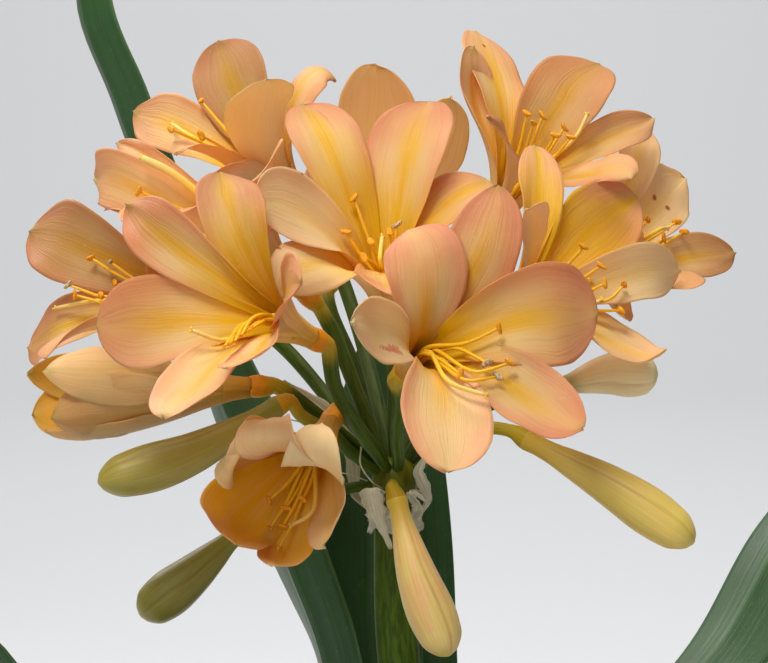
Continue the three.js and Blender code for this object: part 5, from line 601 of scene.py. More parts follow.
    # veins and mottling
    dark = n.mix(1.0, col, (0.84, 0.69, 0.50, 1.0), "MULTIPLY")
    lite = n.mix(0.26, col, (1.0, 0.84, 0.50, 1.0))
    col = n.mix(n.mul(n.step(veins, 0.0, 0.34), 0.75), col, dark)
    col = n.mix(n.mul(n.step(veins, -0.30, 0.0, 1.0, 0.0), 0.55), col, lite)
    col = n.mix(n.mul(n.step(big, 0.42, 0.66), 0.75), col, n.mix(1.0, col, (0.86, 0.73, 0.58, 1.0), "MULTIPLY"))
    # painted shade darkens some petals, and painted light brightens the outer half of others
    col = n.mix(n.m("MAXIMUM", n.mul(tone_and_painted_light, -1.0), 0.0), col, n.mix(1.0, col, (0.55, 0.44, 0.34, 1.0), "MULTIPLY"))
    col = n.mix(n.mul(n.m("MAXIMUM", tone_and_painted_light, 0.0), n.step(s, 0.3, 0.6)), col, lin(255, 234, 178))
    fleck = n.step(n.noise(n.vec(n.mul(ux, 60.0), n.mul(uy, 60.0), n.mul(seed, 5.0)), 1.0, 2.0, 0.7), 0.62, 0.78)
    col = n.mix(n.mul(fleck, 0.16), col, lin(255, 226, 180))
    for at, r in RED_DOTS:
        col = n.mix(n.mul(n.spot([c * MM for c in at], r * MM), 0.85), col, lin(190, 62, 38))
    for at, r in PINK_STREAKS:
        col = n.mix(n.mul(n.spot([c * MM for c in at], r * MM), 0.7), col, lin(230, 112, 88))
    fine = n.noise(n.vec(n.mul(ux, 130.0), n.mul(uy, 70.0), n.mul(seed, 3.0)), 1.0, 2.0, 0.6)
    h = n.m("ADD", n.mul(veins, 1.0), n.mul(fine, 0.28))
    nor = n.bump(h, 0.00035, 0.55)
    rough = n.m("MULTIPLY_ADD", fine, 0.16, 0.40)
    glow = n.mix(0.5, col, lin(255, 196, 70), "MULTIPLY")
    return n.finish(col, rough, nor, spec=0.22, sheen=0.04, through=0.33, through_colour=glow, sss=0.12, sss_radius=(0.0022, 0.0012, 0.0005))


def stamen_material():
    n = Nodes("stamen")
    t, ang, ln, _ = n.attr("tp")
    kind, seed, grey, _ = n.attr("tk")
    P = n.place()
    ns = n.noise(P, 900.0, 2.0)
    fil = n.mix(n.step(t, 0.1, 0.9), lin(238, 186, 26), lin(246, 184, 24))
    fil = n.mix(n.mul(ns, 0.2), fil, lin(252, 210, 90))
    anth = n.mix(grey, lin(228, 150, 16), lin(176, 152, 116))
    anth = n.mix(n.step(n.noise(P, 1600.0, 2.0), 0.5, 0.62), anth, n.mix(grey, lin(244, 176, 52), lin(226, 208, 178)))
    sty = n.mix(n.step(t, 0.5, 1.0), lin(246, 196, 50), lin(242, 206, 120))
    col = n.mix(n.step(kind, 0.25, 0.3), fil, anth)
    col = n.mix(n.step(kind, 0.7, 0.75), col, sty)
    nor = n.bump(n.noise(P, 2600.0, 2.0), 0.00012, n.step(kind, 0.25, 0.3, 0.3, 0.9))
    return n.finish(col, n.step(kind, 0.25, 0.3, 0.38, 0.85), nor, spec=0.35, sss=0.15, sss_radius=(0.0012, 0.0008, 0.0003))


def stalk_material(name):
    """Flower stalks and the flower stem: dark green, turning yellow and orange under the flower."""
    n = Nodes(name)
    t, ang, ln, _ = n.attr("tp")
    g, y, o, seed = n.attr("tc")
    P = n.place()
    v = n.vec(n.mul(ang, 40.0), n.mul(ln, 14.0), n.mul(seed, 31.0))
    str_ = n.noise(v, 1.0, 2.0, 0.6)
    blot = n.noise(P, 140.0, 3.0, 0.6)
    green = n.mix(n.step(str_, 0.3, 0.7), lin(48, 68, 9), lin(76, 98, 16))
    green = n.mix(n.mul(n.step(blot, 0.5, 0.75), 0.35), green, lin(78, 98, 30))
    yel = n.mix(n.step(str_, 0.3, 0.7), lin(168, 150, 30), lin(196, 168, 40))
    ora = n.mix(n.step(blot, 0.35, 0.7), lin(216, 130, 20), lin(232, 158, 36))
    col = n.mix(n.mul(y, n.m("MULTIPLY_ADD", n.m("SUBTRACT", blot, 0.5), 0.4, 1.0)), green, yel)
    col = n.mix(n.mul(o, n.m("MULTIPLY_ADD", n.m("SUBTRACT", blot, 0.5), 0.5, 1.0)), col, ora)
    nor = n.bump(n.m("ADD", str_, n.mul(blot, 0.5)), 0.0002, 0.6)
    return n.finish(col, n.m("MULTIPLY_ADD", blot, 0.14, 0.40), nor, spec=0.16, sss=0.06, sss_radius=(0.0015, 0.0018, 0.0006))


def bud_material():
    """Closed buds: six tepals pressed together, creased where they meet."""
    n = Nodes("bud")
    s, a, crease_shade, seed = n.attr("tp")
    pink, cream, olive, yellow = n.attr("tq")
    x, y, z, _ = n.attr("tu")
    P = n.place()
    blot = n.noise(P, 110.0, 3.0, 0.6)
    vein = n.noise(n.vec(n.mul(a, 44.0), n.mul(s, 2.2), n.mul(seed, 19.0)), 1.0, 2.0, 0.6)
    vein2 = n.noise(n.vec(n.mul(a, 120.0), n.mul(s, 5.0), n.mul(seed, 19.0)), 1.0, 1.0)
    base = n.mix(cream, lin(196, 178, 72), lin(254, 232, 178))
    base = n.mix(yellow, base, lin(228, 200, 76))
    base = n.mix(olive, base, lin(120, 116, 32))
    v = n.m("ADD", n.mul(vein, 0.7), n.mul(vein2, 0.3))
    base = n.mix(n.mul(n.step(v, 0.42, 0.66), n.m("MULTIPLY_ADD", olive, 0.2, 0.14)), base, n.mix(olive, lin(228, 178, 104), lin(88, 90, 24)))
    base = n.mix(n.mul(n.step(v, 0.30, 0.48, 1.0, 0.0), 0.22), base, n.mix(olive, lin(252, 224, 140), lin(180, 170, 70)))
    pk = n.mul(pink, n.step(n.m("ADD", n.mul(vein, 0.8), n.mul(blot, 0.5)), 0.5, 0.9))
    col = n.mix(pk, base, lin(234, 158, 116))
    # green at the foot of the bud, and a greenish point
    foot = n.mix(n.step(yellow, 0.25, 0.45), lin(140, 136, 38), lin(200, 164, 36))
    col = n.mix(n.mul(n.step(s, 0.02, 0.34, 1.0, 0.0), n.m("MULTIPLY_ADD", yellow, -0.15, 0.95)), col, foot)
    col = n.mix(n.mul(n.step(s, 0.93, 1.0), 0.6), col, lin(184, 164, 56))
    # painted shade darkens the creases where the tepals overlap
    col = n.mix(n.mul(crease_shade, 0.55), col, n.mix(1.0, col, (0.62, 0.55, 0.34, 1.0), "MULTIPLY"))
    nor = n.bump(n.m("ADD", v, n.mul(n.noise(P, 700.0, 2.0), 0.25)), 0.0003, 0.5)
    return n.finish(col, n.m("MULTIPLY_ADD", blot, 0.15, 0.36), nor, spec=0.4, sheen=0.08, sss=0.16, sss_radius=(0.002, 0.0014, 0.0006))


def leaf_material():
    """Strap leaves: dark glossy green, with straight parallel veins and a paler midrib and base."""
    n = Nodes("leaf")
    s, vv, side, seed = n.attr("tp")
    x, y, base, _ = n.attr("tu")
    P = n.place()
    a = n.m("ABSOLUTE", n.m("MULTIPLY_ADD", vv, 2.0, -1.0))
    v1 = n.noise(n.vec(n.mul(vv, 46.0), n.mul(s, 2.4), n.mul(seed, 23.0)), 1.0, 2.0, 0.6)
    v2 = n.noise(n.vec(n.mul(vv, 130.0), n.mul(s, 6.0), n.mul(seed, 41.0)), 1.0, 1.0)
    blot = n.noise(P, 26.0, 4.0, 0.6)
    fine = n.noise(P, 420.0, 2.0, 0.6)
    col = n.mix(n.step(v1, 0.34, 0.66), lin(18, 50, 27), lin(34, 74, 38))
    col = n.mix(n.mul(n.step(blot, 0.42, 0.7), 0.6), col, lin(52, 96, 48))
    col = n.mix(n.mul(n.step(v2, 0.5, 0.7), 0.3), col, lin(70, 112, 58))
    mid = n.step(a, 0.0, 0.09, 1.0, 0.0)
    col = n.mix(n.mul(mid, 0.4), col, lin(78, 118, 58))
    edge = n.step(a, 0.95, 1.0)
    col = n.mix(n.mul(edge, 0.5), col, lin(96, 126, 66))
    col = n.mix(n.step(side, 0.4, 0.6, 0.45, 0.0), col, lin(70, 108, 58))
    # pale sheath at the foot
    foot = n.step(n.m("MULTIPLY_ADD", n.m("SUBTRACT", blot, 0.5), 0.06, s), 0.03, 0.16, 1.0, 0.0)
    col = n.mix(n.mul(foot, 0.85), col, n.mix(n.step(v1, 0.35, 0.65), lin(172, 180, 116), lin(206, 206, 156)))
    # a few dry or dusty marks
    dust = n.mul(n.step(fine, 0.6, 0.78), 0.10)
    col = n.mix(dust, col, lin(150, 160, 130))
    h = n.m("ADD", n.m("ADD", n.mul(v1, 0.8), n.mul(v2, 0.3)), n.mul(fine, 0.18))
    nor = n.bump(h, 0.0005, 0.55)
    return n.finish(col, n.m("MULTIPLY_ADD", blot, 0.2, 0.30), nor, spec=0.3, through=0.05, through_colour=lin(80, 140, 30))


def crown_material():
    n = Nodes("crown")
    t, ang, ln, seed = n.attr("tp")
    P = n.place()
    v = n.noise(n.vec(n.mul(ang, 60.0), n.mul(t, 3.0), 0.0), 1.0, 2.0, 0.6)
    blot = n.noise(P, 90.0, 3.0, 0.6)
    col = n.mix(n.step(t, 0.2, 0.75), lin(206, 198, 152), lin(150, 168, 92))
    col = n.mix(n.mul(n.step(v, 0.45, 0.7), 0.45), col, lin(126, 136, 74))
    brown = n.mul(n.step(t, 0.18, 0.4, 1.0, 0.0), n.step(blot, 0.42, 0.66))
    col = n.mix(brown, col, lin(122, 84, 52))
    return n.finish(col, 0.6, n.bump(n.m("ADD", v, blot), 0.0006, 0.6), spec=0.35)


def bract_material():
    n = Nodes("bract")
    s, vv, side, seed = n.attr("tp")
    P = n.place()
    v = n.noise(n.vec(n.mul(vv, 16.0), n.mul(s, 3.0), n.mul(seed, 27.0)), 1.0, 3.0, 0.65)
    blot = n.noise(P, 240.0, 3.0, 0.6)
    col = n.mix(n.step(v, 0.3, 0.7), lin(204, 200, 172), lin(246, 243, 226))
    col = n.mix(n.mul(n.step(blot, 0.55, 0.78), 0.4), col, lin(168, 140, 92))
    col = n.mix(n.mul(n.step(v, 0.62, 0.78), 0.4), col, lin(120, 124, 84))
    glow = n.mix(0.4, col, lin(248, 244, 214))
    return n.finish(col, 0.62, n.bump(n.m("ADD", v, n.mul(blot, 0.6)), 0.0004, 0.8), spec=0.25, through=0.4, through_colour=glow)


def pot_material():
    """Unglazed clay: fine sandy grain, faint turning lines, a pale bloom low down and under the band."""
    n = Nodes("clay")
    P = n.place()
    x = n.node("ShaderNodeSeparateXYZ")
    n.t.links.new(P, x.inputs[0])
    z = x.outputs[2]
    rad = n.m("POWER", n.m("ADD", n.m("POWER", x.outputs[0], 2.0), n.m("POWER", x.outputs[1], 2.0)), 0.5)
    blot = n.noise(P, 22.0, 4.0, 0.62)
    mid = n.noise(P, 90.0, 3.0, 0.6)
    grain = n.noise(P, 900.0, 3.0, 0.7)
    col = n.mix(n.step(blot, 0.36, 0.68), lin(178, 98, 66), lin(200, 124, 88))
    col = n.mix(n.mul(n.step(mid, 0.5, 0.72), 0.35), col, lin(160, 84, 56))
    bloom = n.mul(n.step(n.m("MULTIPLY_ADD", n.m("SUBTRACT", blot, 0.5), 0.22, z), 0.0, 0.075, 1.0, 0.0), n.step(mid, 0.32, 0.66))
    bloom2 = n.mul(n.step(n.m("MULTIPLY_ADD", n.m("SUBTRACT", mid, 0.5), 0.04, z), 0.12, 0.143), n.step(z, 0.1435, 0.145, 1.0, 0.0))
    col = n.mix(n.mul(bloom, 0.55), col, lin(222, 200, 180))
    col = n.mix(n.mul(bloom2, 0.35), col, lin(216, 188, 164))
    ins = n.mul(n.step(rad, 0.0945, 0.0955, 1.0, 0.0), n.step(z, 0.10, 0.12))
    col = n.mix(n.mul(ins, n.step(mid, 0.3, 0.7), 0.6), col, lin(120, 78, 54))
    col = n.mix(n.mul(n.step(grain, 0.6, 0.74), 0.3), col, lin(232, 176, 142))
    col = n.mix(n.mul(n.step(grain, 0.28, 0.4, 1.0, 0.0), 0.35), col, lin(120, 62, 42))
    rings = n.noise(n.vec(0.0, 0.0, n.mul(z, 1.0)), 520.0, 2.0, 0.7)
    h = n.m("ADD", n.m("ADD", n.mul(grain, 0.5), n.mul(rings, 0.5)), n.mul(mid, 0.5))
    return n.finish(col, n.m("MULTIPLY_ADD", grain, 0.12, 0.78), n.bump(h, 0.0006, 0.5), spec=0.3)


def soil_material():
    n = Nodes("mix")
    kind, seed, _, _ = n.attr("tk")
    P = n.place()
    a = n.noise(P, 160.0, 4.0, 0.7)
    b = n.noise(P, 900.0, 3.0, 0.7)
    col = n.mix(n.step(a, 0.34, 0.66), lin(34, 24, 18), lin(74, 54, 40))
    col = n.mix(n.mul(n.step(b, 0.55, 0.72), 0.7), col, lin(112, 86, 62))
    bark = n.mix(n.step(n.noise(P, 380.0, 3.0, 0.7), 0.36, 0.64), lin(74, 44, 28), lin(138, 92, 58))
    bark = n.mix(n.mul(seed, 0.5), bark, lin(96, 76, 60))
    perl = n.mix(n.step(b, 0.4, 0.7), lin(214, 210, 200), lin(238, 236, 230))
    col = n.mix(n.step(kind, 0.25, 0.3), col, bark)
    col = n.mix(n.step(kind, 0.7, 0.75), col, perl)
    return n.finish(col, 0.9, n.bump(n.m("ADD", a, n.mul(b, 0.6)), 0.0014, 0.9), spec=0.2)


# ---------------------------------------------------------------- tepals
TK = [0, 0.25, 0.6, 0.85, 1.0]
AT = [0, 0.15, 0.3, 0.45, 0.6, 0.7, 0.8, 0.88, 0.94, 0.98, 1]
FI = [0.25, 0.29, 0.44, 0.71, 0.94, 1.0, 0.95, 0.80, 0.58, 0.33, 0.03]
FO = [0.29, 0.33, 0.50, 0.76, 0.97, 1.0, 0.90, 0.71, 0.47, 0.24, 0.03]


def flower_axes(A):
    A = unit(A)
    e2 = np.array([0, 0, 1.0]) if abs(A[2]) <= 0.93 else np.array([0, 1.0, 0])
    e1 = unit(np.cross(e2, A))
    return A, e1, np.cross(A, e1)


def tepal_surface(O, axes, t, s, v):
    inner, phi, L, w, b, c, d, e, beta, tau, km, kt = t
    A, e1, e2 = axes
    ph = np.radians(phi)
    R = np.cos(ph) * e1 + np.sin(ph) * e2
    B = np.cross(A, R)
    q = np.linspace(0, 1, 121)
    th = np.radians(np.interp(q, TK, [4, b, c, d, e]))[:, None]
    be = np.radians(np.interp(q, [0, 0.2, 1], [0, 0, beta]))[:, None]
    ta = np.radians(np.interp(q, [0, 0.2, 1], [0, 0, tau]))[:, None]
    # soften the joints between the leans
    k = np.ones(9) / 9
    th = np.convolve(np.pad(th[:, 0], 4, mode="edge"), k, "valid")[:, None]
    Rp = np.cos(be) * R + np.sin(be) * B
    Bp = -np.sin(be) * R + np.cos(be) * B
    T = np.cos(th) * A + np.sin(th) * Rp
    N = np.sin(th) * A - np.cos(th) * Rp
    W = np.cos(ta) * Bp + np.sin(ta) * N
    N2 = -np.sin(ta) * Bp + np.cos(ta) * N
    m = O + R * (2.0 if inner else 2.7) + np.r_[np.zeros((1, 3)), np.cumsum((T[1:] + T[:-1]) / 2 * L / 120, 0)]
    pick = lambda X: np.stack([np.interp(s, q, X[:, i]) for i in range(3)], -1)
    m, W, N2 = pick(m), unit(pick(W)), unit(pick(N2))
    hw = w * pchip(s, AT, FI if inner else FO)
    ka = np.interp(s, [0, 0.25, 0.45, 0.7, 1], [1.15, 1.0, 0.75, km, kt])
    ka = np.where(np.abs(ka) < 1e-3, 1e-3, ka)[:, None]
    V = v[None]
    x = hw[:, None] * np.sin(V * ka) / ka
    z = hw[:, None] * (1 - np.cos(V * ka)) / ka
    P = m[:, None] + W[:, None] * x[..., None] + N2[:, None] * z[..., None]
    return P, N2, hw


NS, NV = 46, 21


def tepal_part(O, axes, t, looks, seed):
    u = np.linspace(0, 1, NS)
    s = u + 0.10 * np.sin(np.pi * u) * u
    s = s / s[-1]
    v = np.linspace(-1, 1, NV)
    v = np.sign(v) * np.abs(v) ** 0.92
    P, N2, hw = tepal_surface(O, axes, t, s, v)
    Nn = normals(P)
    sg = np.sign(np.sum(Nn * N2[:, None], -1, keepdims=True))
    Nn = Nn * np.where(sg == 0, 1, sg)
    S, Vv = np.meshgrid(s, v, indexing="ij")
    X = hw[:, None] * Vv
    L = t[2]
    r = np.random.default_rng(seed)
    p1, p2, p3 = r.uniform(0, 6.283, 3)
    f1, f2 = r.uniform(2.0, 3.0), r.uniform(4.2, 6.0)
    fade = sm(S, 0.1, 0.35)
    # channel along the midrib, shallow folds beside it, waves that grow to the edge
    d = -0.42 * np.exp(-((X / 0.95) ** 2)) * sm(S, 0.05, 0.2) * (1 - 0.6 * sm(S, 0.75, 1.0))
    d += 0.16 * np.cos(X * 6.283 / 5.2) * np.exp(-((X / 6.0) ** 2)) * fade * (1 - sm(S, 0.7, 0.95))
    d += looks.get("fold", 0.06) * np.sin(Vv * 6.283 * 4.5 + p3 + 1.5 * S) * sm(S, 0.25, 0.5)
    d -= looks.get("crease", 0.0) * np.abs(np.sin(Vv * 6.283 * 2.3 + 1.4 * np.sin(4 * S + p1) + p2)) * sm(S, 0.42, 0.6) * (1 - 0.6 * sm(S, 0.85, 1.0))
    d += looks.get("wave", 0.55) * np.abs(Vv) ** 3 * (np.sin(6.283 * f1 * S + p1 + (Vv > 0) * p2) * 0.7 + np.sin(6.283 * f2 * S + p2 + (Vv > 0) * p3) * 0.3) * sm(S, 0.3, 0.6)
    d += 0.38 * waves(Vv * 0.45, S * 1.1, seed + 5, 4, (0.5, 1.6)) * fade
    # margins of a hidden lower part that lie behind the neighbours
    d -= looks.get("tuck", 0.0) * np.abs(Vv) ** 1.5 * sm(S, 0.10, 0.28) * (1 - sm(S, 0.55, 0.8))
    # the small point at the tip pinched inwards
    d += 0.7 * sm(S, 0.95, 1.0) * np.exp(-((Vv / 0.8) ** 2))
    P = P + Nn * d[..., None]
    Nn = normals(P)
    Nn = Nn * np.where(np.sum(Nn * N2[:, None], -1, keepdims=True) < 0, -1, 1)
    thick = (0.74 - 0.18 * sm(S, 0.1, 0.7) + 0.25 * np.exp(-((X / 1.3) ** 2)) * (1 - 0.7 * S)) * (1 - 0.72 * np.abs(Vv) ** 2.6) * (1 - 0.55 * sm(S, 0.9, 1.0))
    thick = np.maximum(thick, 0.14)
    one = np.ones_like(S)
    tq = np.stack([one * looks["pink"], one * looks["reach"], one * looks["pale"], one * looks["green"]], -1)
    tu = np.stack([X / 100, S * L / 100, one * t[0], one * ((seed * 0.6180339) % 1.0)], -1)
    # the fourth value of tp carries the painted light and shade of the petal
    front = {"tp": np.stack([S, Vv * 0.5 + 0.5, one, one * looks.get("tone_and_painted_light", 0.0)], -1), "tu": tu, "tq": tq}
    back = {"tp": np.stack([S, Vv * 0.5 + 0.5, one * 0, one * looks.get("tone_and_painted_light", 0.0)], -1), "tu": tu, "tq": tq}
    return shell(P, Nn, thick, front, back)


def tube_part(O, axes, seed):
    """The short tube that the six tepals come out of, closed inside above the ovary."""
    A, e1, e2 = axes
    prof = [(-0.6, 1.2), (-0.5, 2.7), (0.3, 2.98), (2.2, 3.12), (4.4, 3.4), (6.6, 3.85), (8.2, 4.25), (8.5, 4.2), (7.6, 3.7), (6.0, 3.0), (5.0, 2.0), (4.7, 0.9)]
    m = 36
    a = np.linspace(0, 2 * np.pi, m, endpoint=False)
    rows = []
    for h, r in prof:
        rr = r * (1 + 0.035 * np.cos(6 * a))
        rows.append(O + A * h + e1 * (rr * np.cos(a))[:, None] + e2 * (rr * np.sin(a))[:, None])
    V = np.concatenate(rows + [[O - A * 0.6], [O + A * 4.7]])
    n = len(prof)
    j = np.arange(m)
    f = [quads(n, m, wrap=True), np.stack([np.full(m, n * m), (j + 1) % m, j], -1), np.stack([np.full(m, n * m + 1), (n - 1) * m + j, (n - 1) * m + (j + 1) % m], -1)]
    side = np.r_[np.repeat([0] * 7 + [1] * 5, m), 0, 1]
    s = np.r_[np.repeat([0, 0, 0.01, 0.03, 0.05, 0.08, 0.1, 0.1, 0.08, 0.06, 0.05, 0.04], m), 0, 0.04]
    one = np.ones(len(V))
    tp = np.stack([s, one * 0.5 + 0.2 * np.r_[np.tile(np.cos(6 * a), n), 0, 0], side * one, 0 * one], -1)
    tu = np.stack([0.02 * np.r_[np.tile(np.cos(a), n), 0, 0], 0.02 * one, one, one * ((seed * 0.6180339) % 1.0)], -1)
    tq = np.stack([0.2 * one, one, 0.2 * one, 0 * one], -1)
    return dict(v=V, f=f, a={"tp": tp, "tu": tu, "tq": tq})


def build_flower(name, f, mats):
    O, axes = np.array(f["origin"]), flower_axes(f["axis"])
    num = int(name[1:])
    base = dict(pink=0.55, reach=0.9, pale=0.3, green=0.15, wave=0.5, fold=0.05)
    base.update(FLOWER_LOOKS.get(name, {}))
    parts = [tube_part(O, axes, num * 50)]
    for i, (k, t) in enumerate(zip(f["names"], f["tepals"])):
        looks = dict(base)
        if not t[0]:
            looks["green"] = base["green"] + 0.35
        looks.update(TEPAL_LOOKS.get(str(num) + k, {}))
        parts.append(tepal_part(O, axes, t, looks, num * 50 + i + 1))
    node = "flower_%02d" % num
    return place(make(node + "_look", parts, [mats["petal"]]), [node])


# ---------------------------------------------------------------- stamens
def anther(P, T, seed, grey, size=1.0):
    """A small two-lobed anther on the end of a filament, set at an angle to it."""
    r = np.random.default_rng(seed)
    U = unit(np.cross(T, r.normal(size=3)))
    L = unit(T * r.uniform(0.2, 0.7) + U * r.choice([-1, 1]) + np.array([0, 0, r.uniform(-0.3, 0.3)]))
    S = unit(np.cross(L, T + 0.01))
    H = np.cross(L, S)
    n, m = 9, 12
    t = np.linspace(-1, 1, n)
    a = np.linspace(0, 2 * np.pi, m, endpoint=False)
    rad_ = np.sqrt(np.maximum(1 - np.abs(t) ** 2.6, 0.02))
    bend = 0.25 * (t**2)
    V = []
    half = 1.85 * size
    for ti, ri, bi in zip(t, rad_, bend):
        lobes = 1 + 0.30 * np.abs(np.cos(a)) - 0.12
        x = 0.92 * size * ri * np.cos(a) * lobes
        y = 0.66 * size * ri * np.sin(a)
        V.append(P + L * ti * half + S * x[:, None] + H * (y - bi)[:, None])
    V = np.concatenate(V + [[P - L * half * 1.0], [P + L * half * 1.0]])
    j = np.arange(m)
    f = [quads(n, m, wrap=True, flip=False), np.stack([np.full(m, n * m), (j + 1) % m, j], -1), np.stack([np.full(m, n * m + 1), (n - 1) * m + j, (n - 1) * m + (j + 1) % m], -1)]
    one = np.ones(len(V))
    return dict(v=V, f=f, a={"tp": np.stack([one, 0 * one, 0 * one, 0 * one], -1), "tk": np.stack([0.5 * one, one * (seed % 7) / 7, one * grey, 0 * one], -1)})


def build_stamens(name, st, mats):
    num = int(name[1:])
    hub = np.array(st["hub"])
    ax = unit(hub[1] - hub[0])
    P = np.stack([hub[0] - ax * 1.4, hub[0], (hub[0] + hub[1]) / 2, hub[1], hub[1] + ax * 0.5])
    parts = [tube(P, np.array([0.9, 1.4, 1.5, 1.45, 0.7]), 14, {"tk": [0, 0, 0, 0]})]
    greys = GREY_ANTHERS.get(name, [0] * 6)
    for i, p in enumerate(st["filaments"]):
        Q, L = curve(p, 22)
        r = np.interp(np.linspace(0, 1, 22), [0, 0.5, 0.93, 1], [0.66, 0.6, 0.46, 0.3])
        parts.append(tube(Q, r, 8, {"tk": [0, 0, 0, 0]}))
        parts.append(anther(Q[-1], unit(Q[-1] - Q[-3]), num * 40 + i, greys[i], SMALL_ANTHERS.get(name, 1.0)))
    Q, L = curve(st["style"], 26)
    w = STYLE_WIDTH.get(name, 1.0)
    parts.append(tube(Q, w * np.interp(np.linspace(0, 1, 26), [0, 0.5, 0.95, 1], [0.7, 0.64, 0.6, 0.5]), 8, {"tk": [1, 0, 0, 0]}))
    T, S, U = frames(Q)
    for k in range(3):
        a = 2.094 * k + 0.4
        d = np.cos(a) * S[-1] + np.sin(a) * U[-1]
        E = np.stack([Q[-1] - T[-1] * 0.2, Q[-1] + T[-1] * 0.35 + d * 0.35, Q[-1] + T[-1] * 0.7 + d * 0.95])
        parts.append(tube(E, np.array([0.4, 0.36, 0.2]), 8, {"tk": [1, 0, 0, 0]}))
    node = "flower_%02d_stamens" % num
    return place(make(node + "_look", parts, [mats["stamen"]]), [node])


# ---------------------------------------------------------------- stalks and buds
OVARY = 7.0
HEAD = np.array([2.0, 0.0, 430.0])


def build_stalk(name, path, mats):
    num = int(name[1:])
    f = FLOWERS[name]
    O, A = np.array(f["origin"]), unit(f["axis"])
    p0 = np.array(path[0], float)
    root = HEAD + unit(p0 - HEAD) * 4.0
    whole = [list(root)] + [list(p) for p in path] + [list(O - A * OVARY * 0.55), list(O + A * 0.45)]
    n = 52
    _, L = curve(whole, 4)
    stop = 1 - (OVARY + 1) / L
    at = np.r_[np.linspace(0, stop, n - 18, endpoint=False), np.linspace(stop, 1, 18)]
    Q, L = curve(whole, 0, at)
    back = (1 - at) * L
    R = np.where(back > OVARY + 1, np.interp(at, [0, 0.08 * stop, 0.3 * stop, stop], [1.5, 1.65, 2.1, 2.25]), 0)
    ov = pchip(np.clip(back, 0, OVARY + 1), [0, OVARY * 0.06, OVARY * 0.12, OVARY * 0.4, OVARY * 0.75, OVARY + 1], [2.95, 3.05, 3.15, 3.3, 2.85, 2.25])
    R = np.where(back <= OVARY + 1, ov, R)
    m = 18
    a = np.linspace(0, 2 * np.pi, m, endpoint=False)
    lob = 1 + 0.05 * np.cos(3 * a)[None] * sm(-back, -OVARY, -OVARY * 0.5)[:, None] + 0.02 * np.cos(5 * a + num)[None]
    RR = R[:, None] * lob
    orange = ORANGE.get(name, 1.0)
    y = sm(-back, -OVARY - 8.0, -OVARY + 1.0)
    o = sm(-back, -OVARY - 1.5, -2.0) * orange
    tc = np.stack([np.ones(n), y * 0.95, o, np.full(n, num * 0.137 % 1)], -1)
    node = "flower_%02d_stalk" % num
    return place(make(node + "_look", [tube(Q, RR, m, {"tc": tc})], [mats["stalk"]]), [node])


